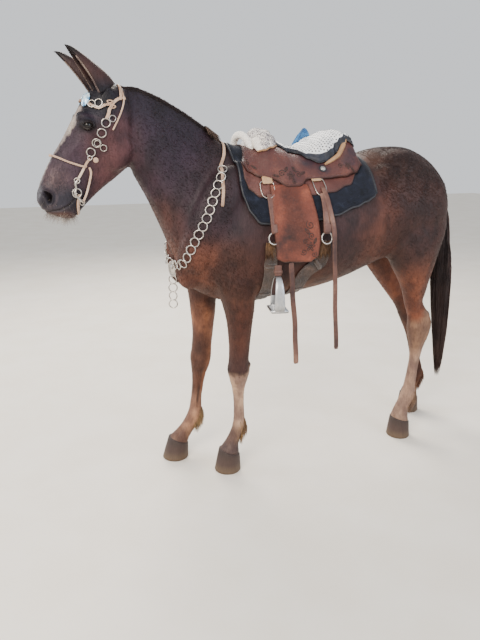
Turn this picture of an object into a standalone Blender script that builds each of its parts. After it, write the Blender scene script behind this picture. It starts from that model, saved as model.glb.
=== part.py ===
# A life-size riding mule standing in its bridle, breast collar and saddle.
# Metres, +Z up. It faces -X and its near (left) side is towards -Y.
import math
import random

import bmesh
import bpy
from mathutils import Vector
from mathutils.bvhtree import BVHTree
import numpy as np

# Driving sizes of the animal
EAR_LENGTH = 0.235
EAR_WIDTH = 0.036
EAR_WALL = 0.0045
EYE_RADIUS = 0.0215
EYE_PLACE = Vector((-0.575, 0.084, 1.566))
NOSTRIL_PLACE = Vector((-0.741, 0.046, 1.289))
MOUTH_LINE = ((-0.622, 1.287), (-0.652, 1.252), (-0.692, 1.234), (-0.735, 1.229), (-0.790, 1.236))
MOUTH_GAP = 0.004

# Sizes of the tack
RING_RADIUS = 0.0190
RING_WIRE = 0.0030
STRAP = 0.018
STRAP_THICK = 0.004
CONCHO_X, CONCHO_Z = 0.420, 1.388
STIRRUP_TURN = 0.24
HEAD_LIFT = 0.0030
BODY_LIFT = 0.0040
PAD_THICK = 0.014
LEATHER = 0.005

# Making sizes
GAP = 0.0004
HEAD_VOXEL = 0.0075
BODY_VOXEL = 0.012
HEAD_FACES = 950
BODY_FACES = 2000
SEED = 11

# Sections of the flesh: upper or fore point (x, z), lower or hind point (x, z), y, half width, egg.
# A positive egg makes the upper or fore end the narrower one.
TORSO = (
    (-0.218, 1.10, -0.212, 0.99, 0.0, 0.050, 0.0),
    (-0.192, 1.24, -0.182, 0.905, 0.0, 0.125, 0.0),
    (-0.130, 1.37, -0.125, 0.850, 0.0, 0.170, 0.05),
    (-0.050, 1.45, -0.045, 0.805, 0.0, 0.198, 0.15),
    (0.040, 1.472, 0.040, 0.785, 0.0, 0.218, 0.25),
    (0.130, 1.458, 0.130, 0.787, 0.0, 0.240, 0.22),
    (0.240, 1.418, 0.240, 0.797, 0.0, 0.268, 0.15),
    (0.360, 1.390, 0.360, 0.812, 0.0, 0.288, 0.08),
    (0.480, 1.384, 0.480, 0.832, 0.0, 0.294, 0.04),
    (0.590, 1.405, 0.590, 0.862, 0.0, 0.286, 0.06),
    (0.690, 1.447, 0.690, 0.895, 0.0, 0.268, 0.10),
    (0.790, 1.478, 0.790, 0.925, 0.0, 0.250, 0.12),
    (0.880, 1.489, 0.890, 0.960, 0.0, 0.250, 0.10),
    (0.970, 1.482, 0.980, 0.985, 0.0, 0.240, 0.10),
    (1.055, 1.445, 1.060, 1.010, 0.0, 0.215, 0.10),
    (1.125, 1.392, 1.120, 1.050, 0.0, 0.170, 0.10),
    (1.178, 1.335, 1.165, 1.120, 0.0, 0.100, 0.0),
    (1.190, 1.290, 1.182, 1.190, 0.0, 0.040, 0.0),
)
NECK = (
    (-0.440, 1.715, -0.385, 1.440, 0.0, 0.060, 0.30),
    (-0.386, 1.724, -0.385, 1.380, 0.0, 0.068, 0.40),
    (-0.320, 1.704, -0.362, 1.330, 0.0, 0.074, 0.45),
    (-0.250, 1.672, -0.332, 1.275, 0.0, 0.083, 0.45),
    (-0.174, 1.630, -0.302, 1.212, 0.0, 0.094, 0.45),
    (-0.100, 1.583, -0.272, 1.145, 0.0, 0.108, 0.42),
    (-0.030, 1.533, -0.242, 1.075, 0.0, 0.126, 0.40),
    (0.040, 1.482, -0.212, 1.000, 0.0, 0.146, 0.35),
    (0.120, 1.440, -0.150, 0.940, 0.0, 0.150, 0.20),
)
HEAD = (
    (-0.425, 1.728, -0.372, 1.560, 0.0, 0.060, 0.0),
    (-0.480, 1.735, -0.372, 1.492, 0.0, 0.082, -0.05),
    (-0.530, 1.722, -0.380, 1.442, 0.0, 0.090, -0.10),
    (-0.568, 1.686, -0.404, 1.402, 0.0, 0.092, -0.12),
    (-0.602, 1.634, -0.428, 1.380, 0.0, 0.088, -0.12),
    (-0.636, 1.574, -0.462, 1.352, 0.0, 0.074, -0.05),
    (-0.668, 1.515, -0.502, 1.322, 0.0, 0.062, 0.02),
    (-0.702, 1.460, -0.544, 1.286, 0.0, 0.053, 0.05),
    (-0.736, 1.400, -0.588, 1.243, 0.0, 0.048, 0.05),
    (-0.760, 1.345, -0.622, 1.206, 0.0, 0.050, 0.0),
    (-0.775, 1.300, -0.655, 1.192, 0.0, 0.055, -0.05),
    (-0.777, 1.268, -0.700, 1.202, 0.0, 0.050, -0.05),
    (-0.765, 1.246, -0.736, 1.216, 0.0, 0.030, 0.0),
)
LEGS = {
    "fore_near": (
        (-0.100, 1.06, 0.130, 1.04, -0.130, 0.070, 0.0),
        (-0.075, 0.93, 0.125, 0.91, -0.138, 0.078, 0.0),
        (-0.048, 0.84, 0.117, 0.83, -0.138, 0.074, 0.0),
        (-0.027, 0.78, 0.111, 0.775, -0.136, 0.066, 0.0),
        (-0.009, 0.70, 0.105, 0.70, -0.132, 0.056, 0.0),
        (0.000, 0.60, 0.098, 0.60, -0.127, 0.047, 0.0),
        (0.000, 0.53, 0.094, 0.53, -0.122, 0.045, 0.0),
        (-0.002, 0.485, 0.100, 0.49, -0.120, 0.048, 0.0),
        (0.005, 0.445, 0.092, 0.45, -0.118, 0.046, 0.0),
        (0.017, 0.400, 0.080, 0.41, -0.116, 0.036, 0.0),
        (0.024, 0.350, 0.074, 0.36, -0.115, 0.029, 0.0),
        (0.027, 0.280, 0.077, 0.28, -0.113, 0.028, 0.0),
        (0.027, 0.235, 0.081, 0.235, -0.110, 0.032, 0.0),
        (0.022, 0.200, 0.080, 0.200, -0.108, 0.036, 0.0),
        (0.006, 0.165, 0.062, 0.160, -0.107, 0.033, 0.0),
        (-0.016, 0.130, 0.050, 0.120, -0.106, 0.036, 0.0),
        (-0.038, 0.100, 0.053, 0.070, -0.105, 0.047, 0.0),
        (-0.040, 0.070, 0.050, 0.045, -0.105, 0.044, 0.0),
    ),
    "fore_far": (
        (-0.135, 1.06, 0.090, 1.04, 0.130, 0.070, 0.0),
        (-0.135, 0.93, 0.060, 0.91, 0.135, 0.076, 0.0),
        (-0.118, 0.84, 0.035, 0.83, 0.134, 0.072, 0.0),
        (-0.108, 0.78, 0.026, 0.775, 0.130, 0.064, 0.0),
        (-0.099, 0.70, 0.018, 0.69, 0.126, 0.055, 0.0),
        (-0.096, 0.61, 0.005, 0.60, 0.120, 0.047, 0.0),
        (-0.102, 0.54, -0.004, 0.54, 0.115, 0.045, 0.0),
        (-0.108, 0.485, -0.008, 0.49, 0.112, 0.048, 0.0),
        (-0.108, 0.445, -0.017, 0.45, 0.110, 0.046, 0.0),
        (-0.105, 0.400, -0.036, 0.405, 0.108, 0.036, 0.0),
        (-0.106, 0.350, -0.048, 0.355, 0.106, 0.029, 0.0),
        (-0.115, 0.280, -0.060, 0.285, 0.103, 0.028, 0.0),
        (-0.123, 0.235, -0.062, 0.235, 0.101, 0.032, 0.0),
        (-0.136, 0.200, -0.066, 0.185, 0.100, 0.036, 0.0),
        (-0.163, 0.160, -0.098, 0.135, 0.099, 0.033, 0.0),
        (-0.193, 0.128, -0.126, 0.095, 0.099, 0.036, 0.0),
        (-0.224, 0.098, -0.138, 0.065, 0.099, 0.047, 0.0),
        (-0.230, 0.068, -0.145, 0.045, 0.099, 0.044, 0.0),
    ),
    "hind_near": (
        (0.800, 1.20, 1.135, 1.25, -0.125, 0.085, 0.0),
        (0.800, 1.09, 1.135, 1.11, -0.145, 0.100, 0.0),
        (0.810, 0.98, 1.100, 1.01, -0.152, 0.098, 0.0),
        (0.850, 0.90, 1.075, 0.93, -0.150, 0.086, 0.0),
        (0.893, 0.83, 1.055, 0.86, -0.146, 0.072, 0.0),
        (0.922, 0.77, 1.040, 0.79, -0.140, 0.059, 0.0),
        (0.945, 0.70, 1.036, 0.715, -0.133, 0.049, 0.0),
        (0.965, 0.645, 1.080, 0.655, -0.128, 0.045, 0.0),
        (0.970, 0.585, 1.103, 0.600, -0.124, 0.048, 0.0),
        (0.980, 0.530, 1.092, 0.540, -0.121, 0.046, 0.0),
        (0.996, 0.470, 1.064, 0.475, -0.118, 0.037, 0.0),
        (0.999, 0.400, 1.048, 0.400, -0.115, 0.030, 0.0),
        (0.985, 0.310, 1.040, 0.310, -0.111, 0.029, 0.0),
        (0.973, 0.245, 1.036, 0.250, -0.109, 0.034, 0.0),
        (0.958, 0.205, 1.038, 0.200, -0.108, 0.038, 0.0),
        (0.936, 0.165, 1.012, 0.155, -0.106, 0.034, 0.0),
        (0.918, 0.130, 1.000, 0.115, -0.105, 0.037, 0.0),
        (0.910, 0.100, 1.003, 0.070, -0.105, 0.047, 0.0),
        (0.910, 0.070, 0.998, 0.045, -0.105, 0.044, 0.0),
    ),
    "hind_far": (
        (0.810, 1.20, 1.140, 1.25, 0.125, 0.085, 0.0),
        (0.815, 1.09, 1.145, 1.11, 0.145, 0.100, 0.0),
        (0.835, 0.97, 1.135, 1.01, 0.152, 0.098, 0.0),
        (0.885, 0.88, 1.125, 0.93, 0.152, 0.086, 0.0),
        (0.938, 0.81, 1.118, 0.86, 0.150, 0.072, 0.0),
        (0.985, 0.75, 1.120, 0.79, 0.148, 0.059, 0.0),
        (1.033, 0.69, 1.132, 0.72, 0.146, 0.049, 0.0),
        (1.075, 0.635, 1.195, 0.655, 0.145, 0.045, 0.0),
        (1.105, 0.585, 1.238, 0.600, 0.145, 0.048, 0.0),
        (1.130, 0.530, 1.243, 0.540, 0.145, 0.046, 0.0),
        (1.160, 0.470, 1.235, 0.475, 0.145, 0.037, 0.0),
        (1.183, 0.400, 1.238, 0.400, 0.144, 0.030, 0.0),
        (1.203, 0.310, 1.258, 0.310, 0.143, 0.029, 0.0),
        (1.212, 0.245, 1.275, 0.250, 0.142, 0.034, 0.0),
        (1.203, 0.205, 1.283, 0.200, 0.142, 0.038, 0.0),
        (1.183, 0.165, 1.259, 0.155, 0.141, 0.034, 0.0),
        (1.165, 0.130, 1.246, 0.115, 0.141, 0.037, 0.0),
        (1.153, 0.100, 1.248, 0.070, 0.140, 0.047, 0.0),
        (1.153, 0.070, 1.243, 0.045, 0.140, 0.044, 0.0),
    ),
}

# Muscles and bony points: centre (x, |y|, z), radii, lean about Y in degrees. Both sides have them.
MUSCLES = (
    (-0.055, 0.125, 1.200, 0.115, 0.082, 0.230, 28.0),
    (-0.128, 0.108, 1.060, 0.088, 0.080, 0.130, 15.0),
    (-0.150, 0.060, 0.975, 0.072, 0.076, 0.110, 10.0),
    (0.060, 0.150, 0.985, 0.105, 0.065, 0.140, -20.0),
    (0.765, 0.150, 1.325, 0.095, 0.080, 0.085, 0.0),
    (0.890, 0.098, 1.335, 0.175, 0.120, 0.140, 10.0),
    (0.975, 0.140, 1.160, 0.160, 0.108, 0.220, 15.0),
    (1.075, 0.105, 1.205, 0.078, 0.085, 0.150, 8.0),
)
HEAD_BONES = (
    (-0.580, 0.068, 1.590, 0.046, 0.032, 0.030, 35.0),
    (-0.455, 0.048, 1.478, 0.078, 0.040, 0.105, 38.0),
    (-0.600, 0.052, 1.505, 0.080, 0.022, 0.014, -52.0),
    (-0.744, 0.034, 1.290, 0.024, 0.024, 0.036, 20.0),
    (-0.655, 0.014, 1.212, 0.034, 0.028, 0.020, 0.0),
)

# How far each leg takes in the body: fore x, hind x, inner |y|, top z at its fore and hind ends.
LEG_CUTS = {
    "fore_near": (-0.20, 0.20, 0.030, 0.880, 0.790),
    "fore_far": (-0.25, 0.16, 0.030, 0.900, 0.790),
    "hind_near": (0.74, 1.30, 0.020, 0.935, 1.080),
    "hind_far": (0.76, 1.30, 0.020, 0.935, 1.080),
}
# Each leg is parted above the knee or the hock at this height.
LEG_SPLITS = {"fore_near": 0.565, "fore_far": 0.565, "hind_near": 0.665, "hind_far": 0.665}
# Hooves: toe x, heel x, y, coronet fore (x, z), coronet hind (x, z).
HOOVES = {
    "fore_near": (-0.066, 0.060, -0.105, (-0.040, 0.104), (0.056, 0.074)),
    "fore_far": (-0.262, -0.134, 0.099, (-0.227, 0.104), (-0.134, 0.070)),
    "hind_near": (0.889, 1.010, -0.105, (0.910, 0.104), (1.006, 0.074)),
    "hind_far": (1.130, 1.252, 0.140, (1.152, 0.104), (1.250, 0.074)),
}
HOOF_WIDTH = 0.061
CORONET_WIDTH = 0.052

POLL_CUT = (Vector((-0.402, 0.0, 1.745)), Vector((-0.372, 0.0, 1.395)))
SHOULDER_CUT = (Vector((0.025, 0.0, 1.505)), Vector((-0.222, 0.0, 1.050)))

# The clipped mane's reach along the crest and its height above it.
MANE_FIRST = -0.385
MANE_LAST = -0.052
MANE_HEIGHT = 0.024
# The tail's middle line (x, z), and its tiers of locks: root height, count, height of the tips.
TAIL_LINE = ((1.140, 1.345), (1.190, 1.315), (1.225, 1.230), (1.245, 1.080), (1.258, 0.880),
             (1.268, 0.640), (1.275, 0.430), (1.275, 0.250))
TAIL_TIERS = ((1.270, 4, 0.64, 0.044), (1.110, 5, 0.46, 0.052), (0.930, 5, 0.300, 0.048))
# Fetlock hair: middle y, back of the fetlock x, height of the roots.
TUFTS = {
    "fore_near": (-0.108, 0.080, 0.205),
    "fore_far": (0.100, -0.064, 0.200),
    "hind_near": (-0.108, 1.038, 0.205),
    "hind_far": (0.142, 1.283, 0.205),
}

COLOURS = {
    "coat_bay": ((0.105, 0.050, 0.036), 0.55, 0.0),
    "coat_dark": ((0.050, 0.034, 0.036), 0.60, 0.0),
    "hair_black": ((0.020, 0.016, 0.015), 0.50, 0.0),
    "hoof_horn": ((0.115, 0.085, 0.070), 0.45, 0.0),
    "eye_wet": ((0.010, 0.007, 0.006), 0.08, 0.0),
    "strap_leather": ((0.470, 0.330, 0.240), 0.60, 0.0),
    "ring_steel": ((0.620, 0.610, 0.600), 0.25, 1.0),
    "saddle_leather": ((0.150, 0.050, 0.034), 0.50, 0.0),
    "fender_leather": ((0.240, 0.062, 0.034), 0.50, 0.0),
    "pad_felt": ((0.024, 0.030, 0.048), 0.90, 0.0),
    "hide_white": ((0.800, 0.790, 0.760), 0.85, 0.0),
    "cushion_white": ((0.720, 0.740, 0.760), 0.70, 0.0),
    "welt_tan": ((0.470, 0.260, 0.110), 0.60, 0.0),
    "cloth_blue": ((0.030, 0.200, 0.480), 0.80, 0.0),
    "girth_cord": ((0.400, 0.250, 0.130), 0.85, 0.0),
    "stirrup_alloy": ((0.640, 0.650, 0.660), 0.30, 1.0),
}


def clear_scene():
    for item in list(bpy.data.objects):
        bpy.data.objects.remove(item, do_unlink=True)


def collection(name):
    group = bpy.data.collections.new(name)
    bpy.context.scene.collection.children.link(group)
    return group


def material(name):
    found = bpy.data.materials.get(name)
    if found:
        return found
    colour, rough, metal = COLOURS[name]
    made = bpy.data.materials.new(name)
    made.use_nodes = True
    shader = made.node_tree.nodes["Principled BSDF"]
    shader.inputs["Base Color"].default_value = (*colour, 1.0)
    shader.inputs["Roughness"].default_value = rough
    shader.inputs["Metallic"].default_value = metal
    made.diffuse_color = (*colour, 1.0)
    return made


def add_object(name, mesh, group):
    item = bpy.data.objects.new(name, mesh)
    group.objects.link(item)
    return item


def mesh_from(name, points, faces):
    mesh = bpy.data.meshes.new(name)
    mesh.from_pydata([tuple(p) for p in points], [], faces)
    mesh.update()
    return mesh


def applied(item):
    # The evaluated mesh takes the object's place, so that later steps work on plain geometry.
    graph = bpy.context.evaluated_depsgraph_get()
    mesh = bpy.data.meshes.new_from_object(item.evaluated_get(graph))
    item.modifiers.clear()
    item.data = mesh
    return item


def discard(items):
    for item in items:
        bpy.data.objects.remove(item, do_unlink=True)


def edit(item, work):
    # Runs one piece of bmesh work on an object's mesh.
    mesh = bmesh.new()
    mesh.from_mesh(item.data)
    work(mesh)
    mesh.to_mesh(item.data)
    mesh.free()
    item.data.update()
    return item


def triangulate(mesh):
    bmesh.ops.triangulate(mesh, faces=mesh.faces[:])


def outward(mesh):
    bmesh.ops.recalc_face_normals(mesh, faces=mesh.faces[:])


def keep_largest(mesh):
    # Only the closed surface with the most room inside stays.
    mesh.faces.index_update()
    seen = [False] * len(mesh.faces)
    shells = []
    for start in mesh.faces:
        if seen[start.index]:
            continue
        seen[start.index] = True
        stack = [start]
        shell = [start]
        while stack:
            face = stack.pop()
            for edge in face.edges:
                for other in edge.link_faces:
                    if not seen[other.index]:
                        seen[other.index] = True
                        stack.append(other)
                        shell.append(other)
        shells.append(shell)
    if len(shells) < 2:
        return

    def room(shell):
        total = 0.0
        for face in shell:
            first = face.verts[0].co
            for a, b in zip(face.verts[1:-1], face.verts[2:]):
                total += first.dot(a.co.cross(b.co))
        return total / 6.0

    best = max(range(len(shells)), key=lambda index: room(shells[index]))
    loose = [face for index, shell in enumerate(shells) if index != best for face in shell]
    bmesh.ops.delete(mesh, geom=loose, context="FACES")
    stray = [vert for vert in mesh.verts if not vert.link_faces]
    bmesh.ops.delete(mesh, geom=stray, context="VERTS")


def tidy(item, weld=0.00003, flat=0.0):
    # Welds slivers that a cut leaves, keeps one closed surface and makes it triangles.
    def work(mesh):
        if weld:
            bmesh.ops.remove_doubles(mesh, verts=mesh.verts[:], dist=weld)
            bmesh.ops.dissolve_degenerate(mesh, edges=mesh.edges[:], dist=weld)
        keep_largest(mesh)
        if flat:
            bmesh.ops.dissolve_limit(mesh, angle_limit=flat, verts=mesh.verts[:], edges=mesh.edges[:])
        triangulate(mesh)
    return edit(item, work)


def is_closed(item):
    # True where every edge joins two faces.
    mesh = bmesh.new()
    mesh.from_mesh(item.data)
    sound = bool(mesh.faces) and all(edge.is_manifold for edge in mesh.edges)
    mesh.free()
    return sound


def boolean(item, group, operation):
    # The manifold solver takes over where the exact one leaves the surface open.
    start = item.data
    for solver, weld, flat in (("EXACT", 0.00003, 0.0015), ("EXACT", 0.00003, 0.0),
                               ("MANIFOLD", 0.00003, 0.0), ("MANIFOLD", 0.0, 0.0)):
        item.data = start.copy()
        change = item.modifiers.new("join", "BOOLEAN")
        change.operand_type = "COLLECTION"
        change.collection = group
        change.operation = operation
        change.solver = solver
        tidy(applied(item), weld, flat)
        if is_closed(item):
            break
    else:
        print("open", item.name)
    discard(list(group.objects))
    bpy.data.collections.remove(group)
    return item


def union(name, pieces):
    # Joins overlapping closed pieces into one body.
    base = pieces[0]
    base.name = name
    if len(pieces) > 1:
        group = collection(name + " pieces")
        for piece in pieces[1:]:
            for home in piece.users_collection:
                home.objects.unlink(piece)
            group.objects.link(piece)
        boolean(base, group, "UNION")
    return base


def thinned(item, ratio):
    # Fewer faces where unions left slivers, as long as the surface stays closed.
    start = item.data
    item.data = start.copy()
    thin = item.modifiers.new("thin", "DECIMATE")
    thin.ratio = ratio
    thin.use_collapse_triangulate = True
    tidy(applied(item))
    if not is_closed(item):
        item.data = start
    return item


def cut(item, tools, operation="DIFFERENCE"):
    group = collection(item.name + " cutters")
    for tool in tools:
        tool.hide_render = True
        tool.display_type = "WIRE"
        for home in tool.users_collection:
            home.objects.unlink(tool)
        group.objects.link(tool)
    return boolean(item, group, operation)


def inflated(item, by):
    # A copy with every face moved out by the same amount.
    copy = add_object(item.name + " room", item.data.copy(), bpy.context.scene.collection)

    def work(mesh):
        mesh.normal_update()
        for vert in mesh.verts:
            vert.co += vert.normal * by * min(vert.calc_shell_factor(), 2.0)
    return edit(copy, work)


def tree_of(item):
    points = [vert.co.copy() for vert in item.data.vertices]
    return BVHTree.FromPolygons(points, [tuple(face.vertices) for face in item.data.polygons])


def clear_of(item, neighbours, by=GAP):
    # Trims a piece so that it meets its neighbours face to face with a hair's gap.
    for neighbour in neighbours:
        room = inflated(neighbour, by)
        if tree_of(item).overlap(tree_of(room)):
            cut(item, [room])
        else:
            discard([room])
    return item


def smooth_rows(rows, steps):
    # Catmull-Rom rows between the given ones.
    rows = [np.array(row, dtype=float) for row in rows]
    out = []
    for index in range(len(rows) - 1):
        before = rows[max(index - 1, 0)]
        first, second = rows[index], rows[index + 1]
        after = rows[min(index + 2, len(rows) - 1)]
        for step in range(steps):
            t = step / steps
            out.append(0.5 * (2 * first + (second - before) * t
                              + (2 * before - 5 * first + 4 * second - after) * t * t
                              + (3 * first - before - 3 * second + after) * t ** 3))
    out.append(rows[-1])
    return out


def section(row, sides, full=2.15):
    # One closed ring of points round a section row.
    ux, uz, lx, lz, y, half_width, egg = row
    middle = Vector(((ux + lx) / 2, y, (uz + lz) / 2))
    reach = Vector(((ux - lx) / 2, 0.0, (uz - lz) / 2))
    points = []
    for step in range(sides):
        angle = 2 * math.pi * step / sides
        along = math.copysign(abs(math.cos(angle)) ** (2 / full), math.cos(angle))
        across = math.copysign(abs(math.sin(angle)) ** (2 / full), math.sin(angle))
        points.append(middle + reach * along + Vector((0, half_width * across * (1 - egg * along), 0)))
    return points


def loft_mesh(name, rings):
    # Skins a list of equal rings and closes both ends.
    sides = len(rings[0])
    points = [point for ring in rings for point in ring]
    faces = []
    for row in range(len(rings) - 1):
        for side in range(sides):
            a = row * sides + side
            b = row * sides + (side + 1) % sides
            faces.append((a, b, b + sides, a + sides))
    faces.append(tuple(range(sides - 1, -1, -1)))
    last = (len(rings) - 1) * sides
    faces.append(tuple(range(last, last + sides)))
    return mesh_from(name, points, faces)


def loft(name, rows, group, sides=24, steps=3):
    rings = [section(row, sides) for row in smooth_rows(rows, steps)]
    return edit(add_object(name, loft_mesh(name, rings), group), outward)


def blob(name, values, side, group, rings=16):
    x, y, z, rx, ry, rz, lean = values
    item = add_object(name, bpy.data.meshes.new(name), group)
    turn = math.radians(lean)

    def work(mesh):
        bmesh.ops.create_uvsphere(mesh, u_segments=rings * 2, v_segments=rings, radius=1.0)
        for vert in mesh.verts:
            px, py, pz = vert.co.x * rx, vert.co.y * ry, vert.co.z * rz
            vert.co = Vector((x + px * math.cos(turn) + pz * math.sin(turn),
                              side * y + py,
                              z - px * math.sin(turn) + pz * math.cos(turn)))
    return edit(item, work)


def relax(item, rounds):
    # Smooths without shrinking: each inward pass is followed by an outward one.
    mesh = item.data
    count = len(mesh.vertices)
    places = np.empty(count * 3)
    mesh.vertices.foreach_get("co", places)
    places = places.reshape(-1, 3)
    ends = np.empty(len(mesh.edges) * 2, dtype=np.int64)
    mesh.edges.foreach_get("vertices", ends)
    ends = ends.reshape(-1, 2)
    degree = np.bincount(ends.ravel(), minlength=count)[:, None]
    for strength in (0.52, -0.53) * rounds:
        total = np.empty_like(places)
        for axis in range(3):
            total[:, axis] = (np.bincount(ends[:, 0], places[ends[:, 1], axis], count)
                              + np.bincount(ends[:, 1], places[ends[:, 0], axis], count))
        places += strength * (total / degree - places)
    mesh.vertices.foreach_set("co", places.ravel())
    mesh.update()


def fused_skin(name, pieces, voxel, rounds, faces):
    # One soft closed skin over overlapping forms, thinned to a number of faces.
    mesh = bmesh.new()
    for piece in pieces:
        mesh.from_mesh(piece.data)
    data = bpy.data.meshes.new(name)
    mesh.to_mesh(data)
    mesh.free()
    item = add_object(name, data, bpy.context.scene.collection)
    grid = item.modifiers.new("skin", "REMESH")
    grid.mode = "VOXEL"
    grid.voxel_size = voxel
    applied(item)
    relax(item, rounds)
    thin = item.modifiers.new("thin", "DECIMATE")
    thin.ratio = faces / (2 * len(item.data.polygons))
    thin.use_collapse_triangulate = True
    applied(item)
    return tidy(item)


def half_space(item, name, line, keep_front, shift):
    # The part of a closed mesh on one side of a plane that holds the Y axis and the given line.
    copy = add_object(name, item.data.copy(), bpy.context.scene.collection)
    along = (line[1] - line[0]).normalized()
    normal = Vector((-along.z, 0.0, along.x))
    if normal.x > 0:
        normal = -normal
    away = normal if keep_front else -normal
    spot = line[0] + away * shift

    def work(mesh):
        geometry = mesh.verts[:] + mesh.edges[:] + mesh.faces[:]
        bmesh.ops.bisect_plane(mesh, geom=geometry, dist=1e-6, plane_co=spot, plane_no=-away,
                               clear_outer=True)
        rim = [edge for edge in mesh.edges if edge.is_boundary]
        bmesh.ops.holes_fill(mesh, edges=rim, sides=0)
        outward(mesh)
    edit(copy, work)
    return tidy(copy)


def box(name, corners):
    # Eight corners: lower four in turn, then the four above them.
    faces = ((3, 2, 1, 0), (4, 5, 6, 7), (0, 1, 5, 4), (1, 2, 6, 5), (2, 3, 7, 6), (3, 0, 4, 7))
    item = add_object(name, mesh_from(name, corners, faces), bpy.context.scene.collection)
    return edit(item, outward)


def leg_box(key, grow):
    fore, hind, inner, top_fore, top_hind = LEG_CUTS[key]
    side = -1.0 if key.endswith("near") else 1.0
    near, far = side * (inner - grow), side * 0.45
    fore, hind = fore - grow, hind + grow
    corners = []
    for low_fore, low_hind in ((-0.1, -0.1), (top_fore + grow, top_hind + grow)):
        corners += [(fore, near, low_fore), (hind, near, low_hind),
                    (hind, far, low_hind), (fore, far, low_fore)]
    return box("cut " + key, corners)


def make_flesh(parts):
    # Head, neck, torso and legs come from one skin, parted by thin cuts.
    work = collection("forms")
    head = [loft("head form", HEAD, work)]
    for index, values in enumerate(HEAD_BONES):
        head += [blob("bone %d" % index, values, side, work) for side in (-1, 1)]
    neck = loft("neck form", NECK, work)
    fine = fused_skin("fine", head + [neck], HEAD_VOXEL, 5, HEAD_FACES * 1.6)
    body = [neck, loft("torso form", TORSO, work, sides=32)]
    body += [loft(key + " form", rows, work, sides=20) for key, rows in LEGS.items()]
    for index, values in enumerate(MUSCLES):
        body += [blob("muscle %d" % index, values, side, work) for side in (-1, 1)]
    coarse = fused_skin("coarse", head[:1] + body, BODY_VOXEL, 5, BODY_FACES)

    nodes = {"head": half_space(fine, "head", POLL_CUT, True, GAP / 2)}
    behind = half_space(coarse, "behind head", POLL_CUT, False, GAP / 2)
    nodes["neck"] = half_space(behind, "neck", SHOULDER_CUT, True, GAP / 2)
    torso = half_space(behind, "torso", SHOULDER_CUT, False, GAP / 2)
    for key in LEGS:
        leg = add_object("leg_" + key, torso.data.copy(), bpy.context.scene.collection)
        nodes["leg_" + key] = cut(leg, [leg_box(key, 0.0)], "INTERSECT")
    for key in LEGS:
        cut(torso, [leg_box(key, GAP)])
    nodes["torso"] = torso
    for key, height in LEG_SPLITS.items():
        whole = nodes["leg_" + key]
        whole.name = "whole"
        level = (Vector((0.0, 0.0, height)), Vector((1.0, 0.0, height)))
        nodes["leg_" + key] = half_space(whole, "leg_" + key, level, True, GAP / 2)
        nodes["shin_" + key] = half_space(whole, "shin_" + key, level, False, GAP / 2)
        discard([whole])
    discard([fine, coarse, behind] + list(work.objects))
    bpy.data.collections.remove(work)
    for name, node in nodes.items():
        move_to(node, parts)
        node.data.materials.clear()
        node.data.materials.append(material("coat_dark" if name == "head" else "coat_bay"))
    return nodes


def move_to(item, group):
    for home in item.users_collection:
        home.objects.unlink(item)
    group.objects.link(item)


def finish(item, name, finish_name, parts, smooth=True):
    # Names a finished node and gives it its material.
    move_to(item, parts)
    item.name = name
    item.data.name = name
    item.data.materials.clear()
    item.data.materials.append(material(finish_name))
    if smooth:
        item.data.shade_smooth()
        item.data.set_sharp_from_angle(angle=math.radians(50))
    return item


def make_hoof(key, nodes, parts):
    toe, heel, y, fore, hind = HOOVES[key]
    rows = ((fore[0], fore[1], hind[0], hind[1], y, CORONET_WIDTH, 0.05),
            (toe + 0.006, 0.012, heel, 0.012, y, HOOF_WIDTH, 0.02),
            (toe, 0.0, heel, 0.0, y, HOOF_WIDTH - 0.001, 0.02))
    rings = [section(row, 16, 2.0) for row in rows]
    hoof = add_object("hoof_" + key, loft_mesh("hoof", rings), parts)
    edit(hoof, lambda mesh: (outward(mesh), triangulate(mesh)))
    line = (Vector((fore[0], 0, fore[1])), Vector((hind[0], 0, hind[1])))
    trim_foot(nodes["shin_" + key], line)
    nodes["hoof_" + key] = finish(hoof, "hoof_" + key, "hoof_horn", parts)


def trim_foot(leg, line):
    # Ends the leg on the coronet plane, a hair above the hoof.
    along = (line[1] - line[0]).normalized()
    normal = Vector((along.z, 0.0, -along.x))
    if normal.z > 0:
        normal = -normal

    def work(mesh):
        geometry = mesh.verts[:] + mesh.edges[:] + mesh.faces[:]
        bmesh.ops.bisect_plane(mesh, geom=geometry, dist=1e-6, plane_co=line[0] - normal * GAP,
                               plane_no=normal, clear_outer=True)
        rim = [edge for edge in mesh.edges if edge.is_boundary]
        bmesh.ops.holes_fill(mesh, edges=rim, sides=0)
        outward(mesh)
    edit(leg, work)
    tidy(leg)


def tube(name, points, radii, group, sides=8):
    # A tube of changing radius along points, with closed ends.
    points = [Vector(point) for point in points]
    rings = []
    across = (points[1] - points[0]).orthogonal().normalized()
    for index, point in enumerate(points):
        ahead = points[min(index + 1, len(points) - 1)]
        behind = points[max(index - 1, 0)]
        along = (ahead - behind).normalized()
        across = (across - along * across.dot(along)).normalized()
        up = across.cross(along)
        rings.append([point + (across * math.cos(2 * math.pi * step / sides)
                               + up * math.sin(2 * math.pi * step / sides)) * radii[index]
                      for step in range(sides)])
    item = add_object(name, loft_mesh(name, rings), group)
    return edit(item, lambda mesh: (outward(mesh), triangulate(mesh)))


def loop_tube(name, points, radius, facing, group, sides=6):
    # A closed wire loop through points that lie round a facing direction.
    count = len(points)
    corners = []
    for index, point in enumerate(points):
        along = (points[(index + 1) % count] - points[index - 1]).normalized()
        out = along.cross(facing).normalized()
        up = out.cross(along)
        for turn in range(sides):
            tilt = 2 * math.pi * turn / sides
            corners.append(point + (out * math.cos(tilt) + up * math.sin(tilt)) * radius)
    faces = []
    for step in range(count):
        for turn in range(sides):
            a = step * sides + turn
            b = step * sides + (turn + 1) % sides
            c = ((step + 1) % count) * sides + (turn + 1) % sides
            d = ((step + 1) % count) * sides + turn
            faces.append((a, b, c, d))
    item = add_object(name, mesh_from(name, corners, faces), group)
    return edit(item, lambda mesh: (outward(mesh), triangulate(mesh)))


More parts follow.
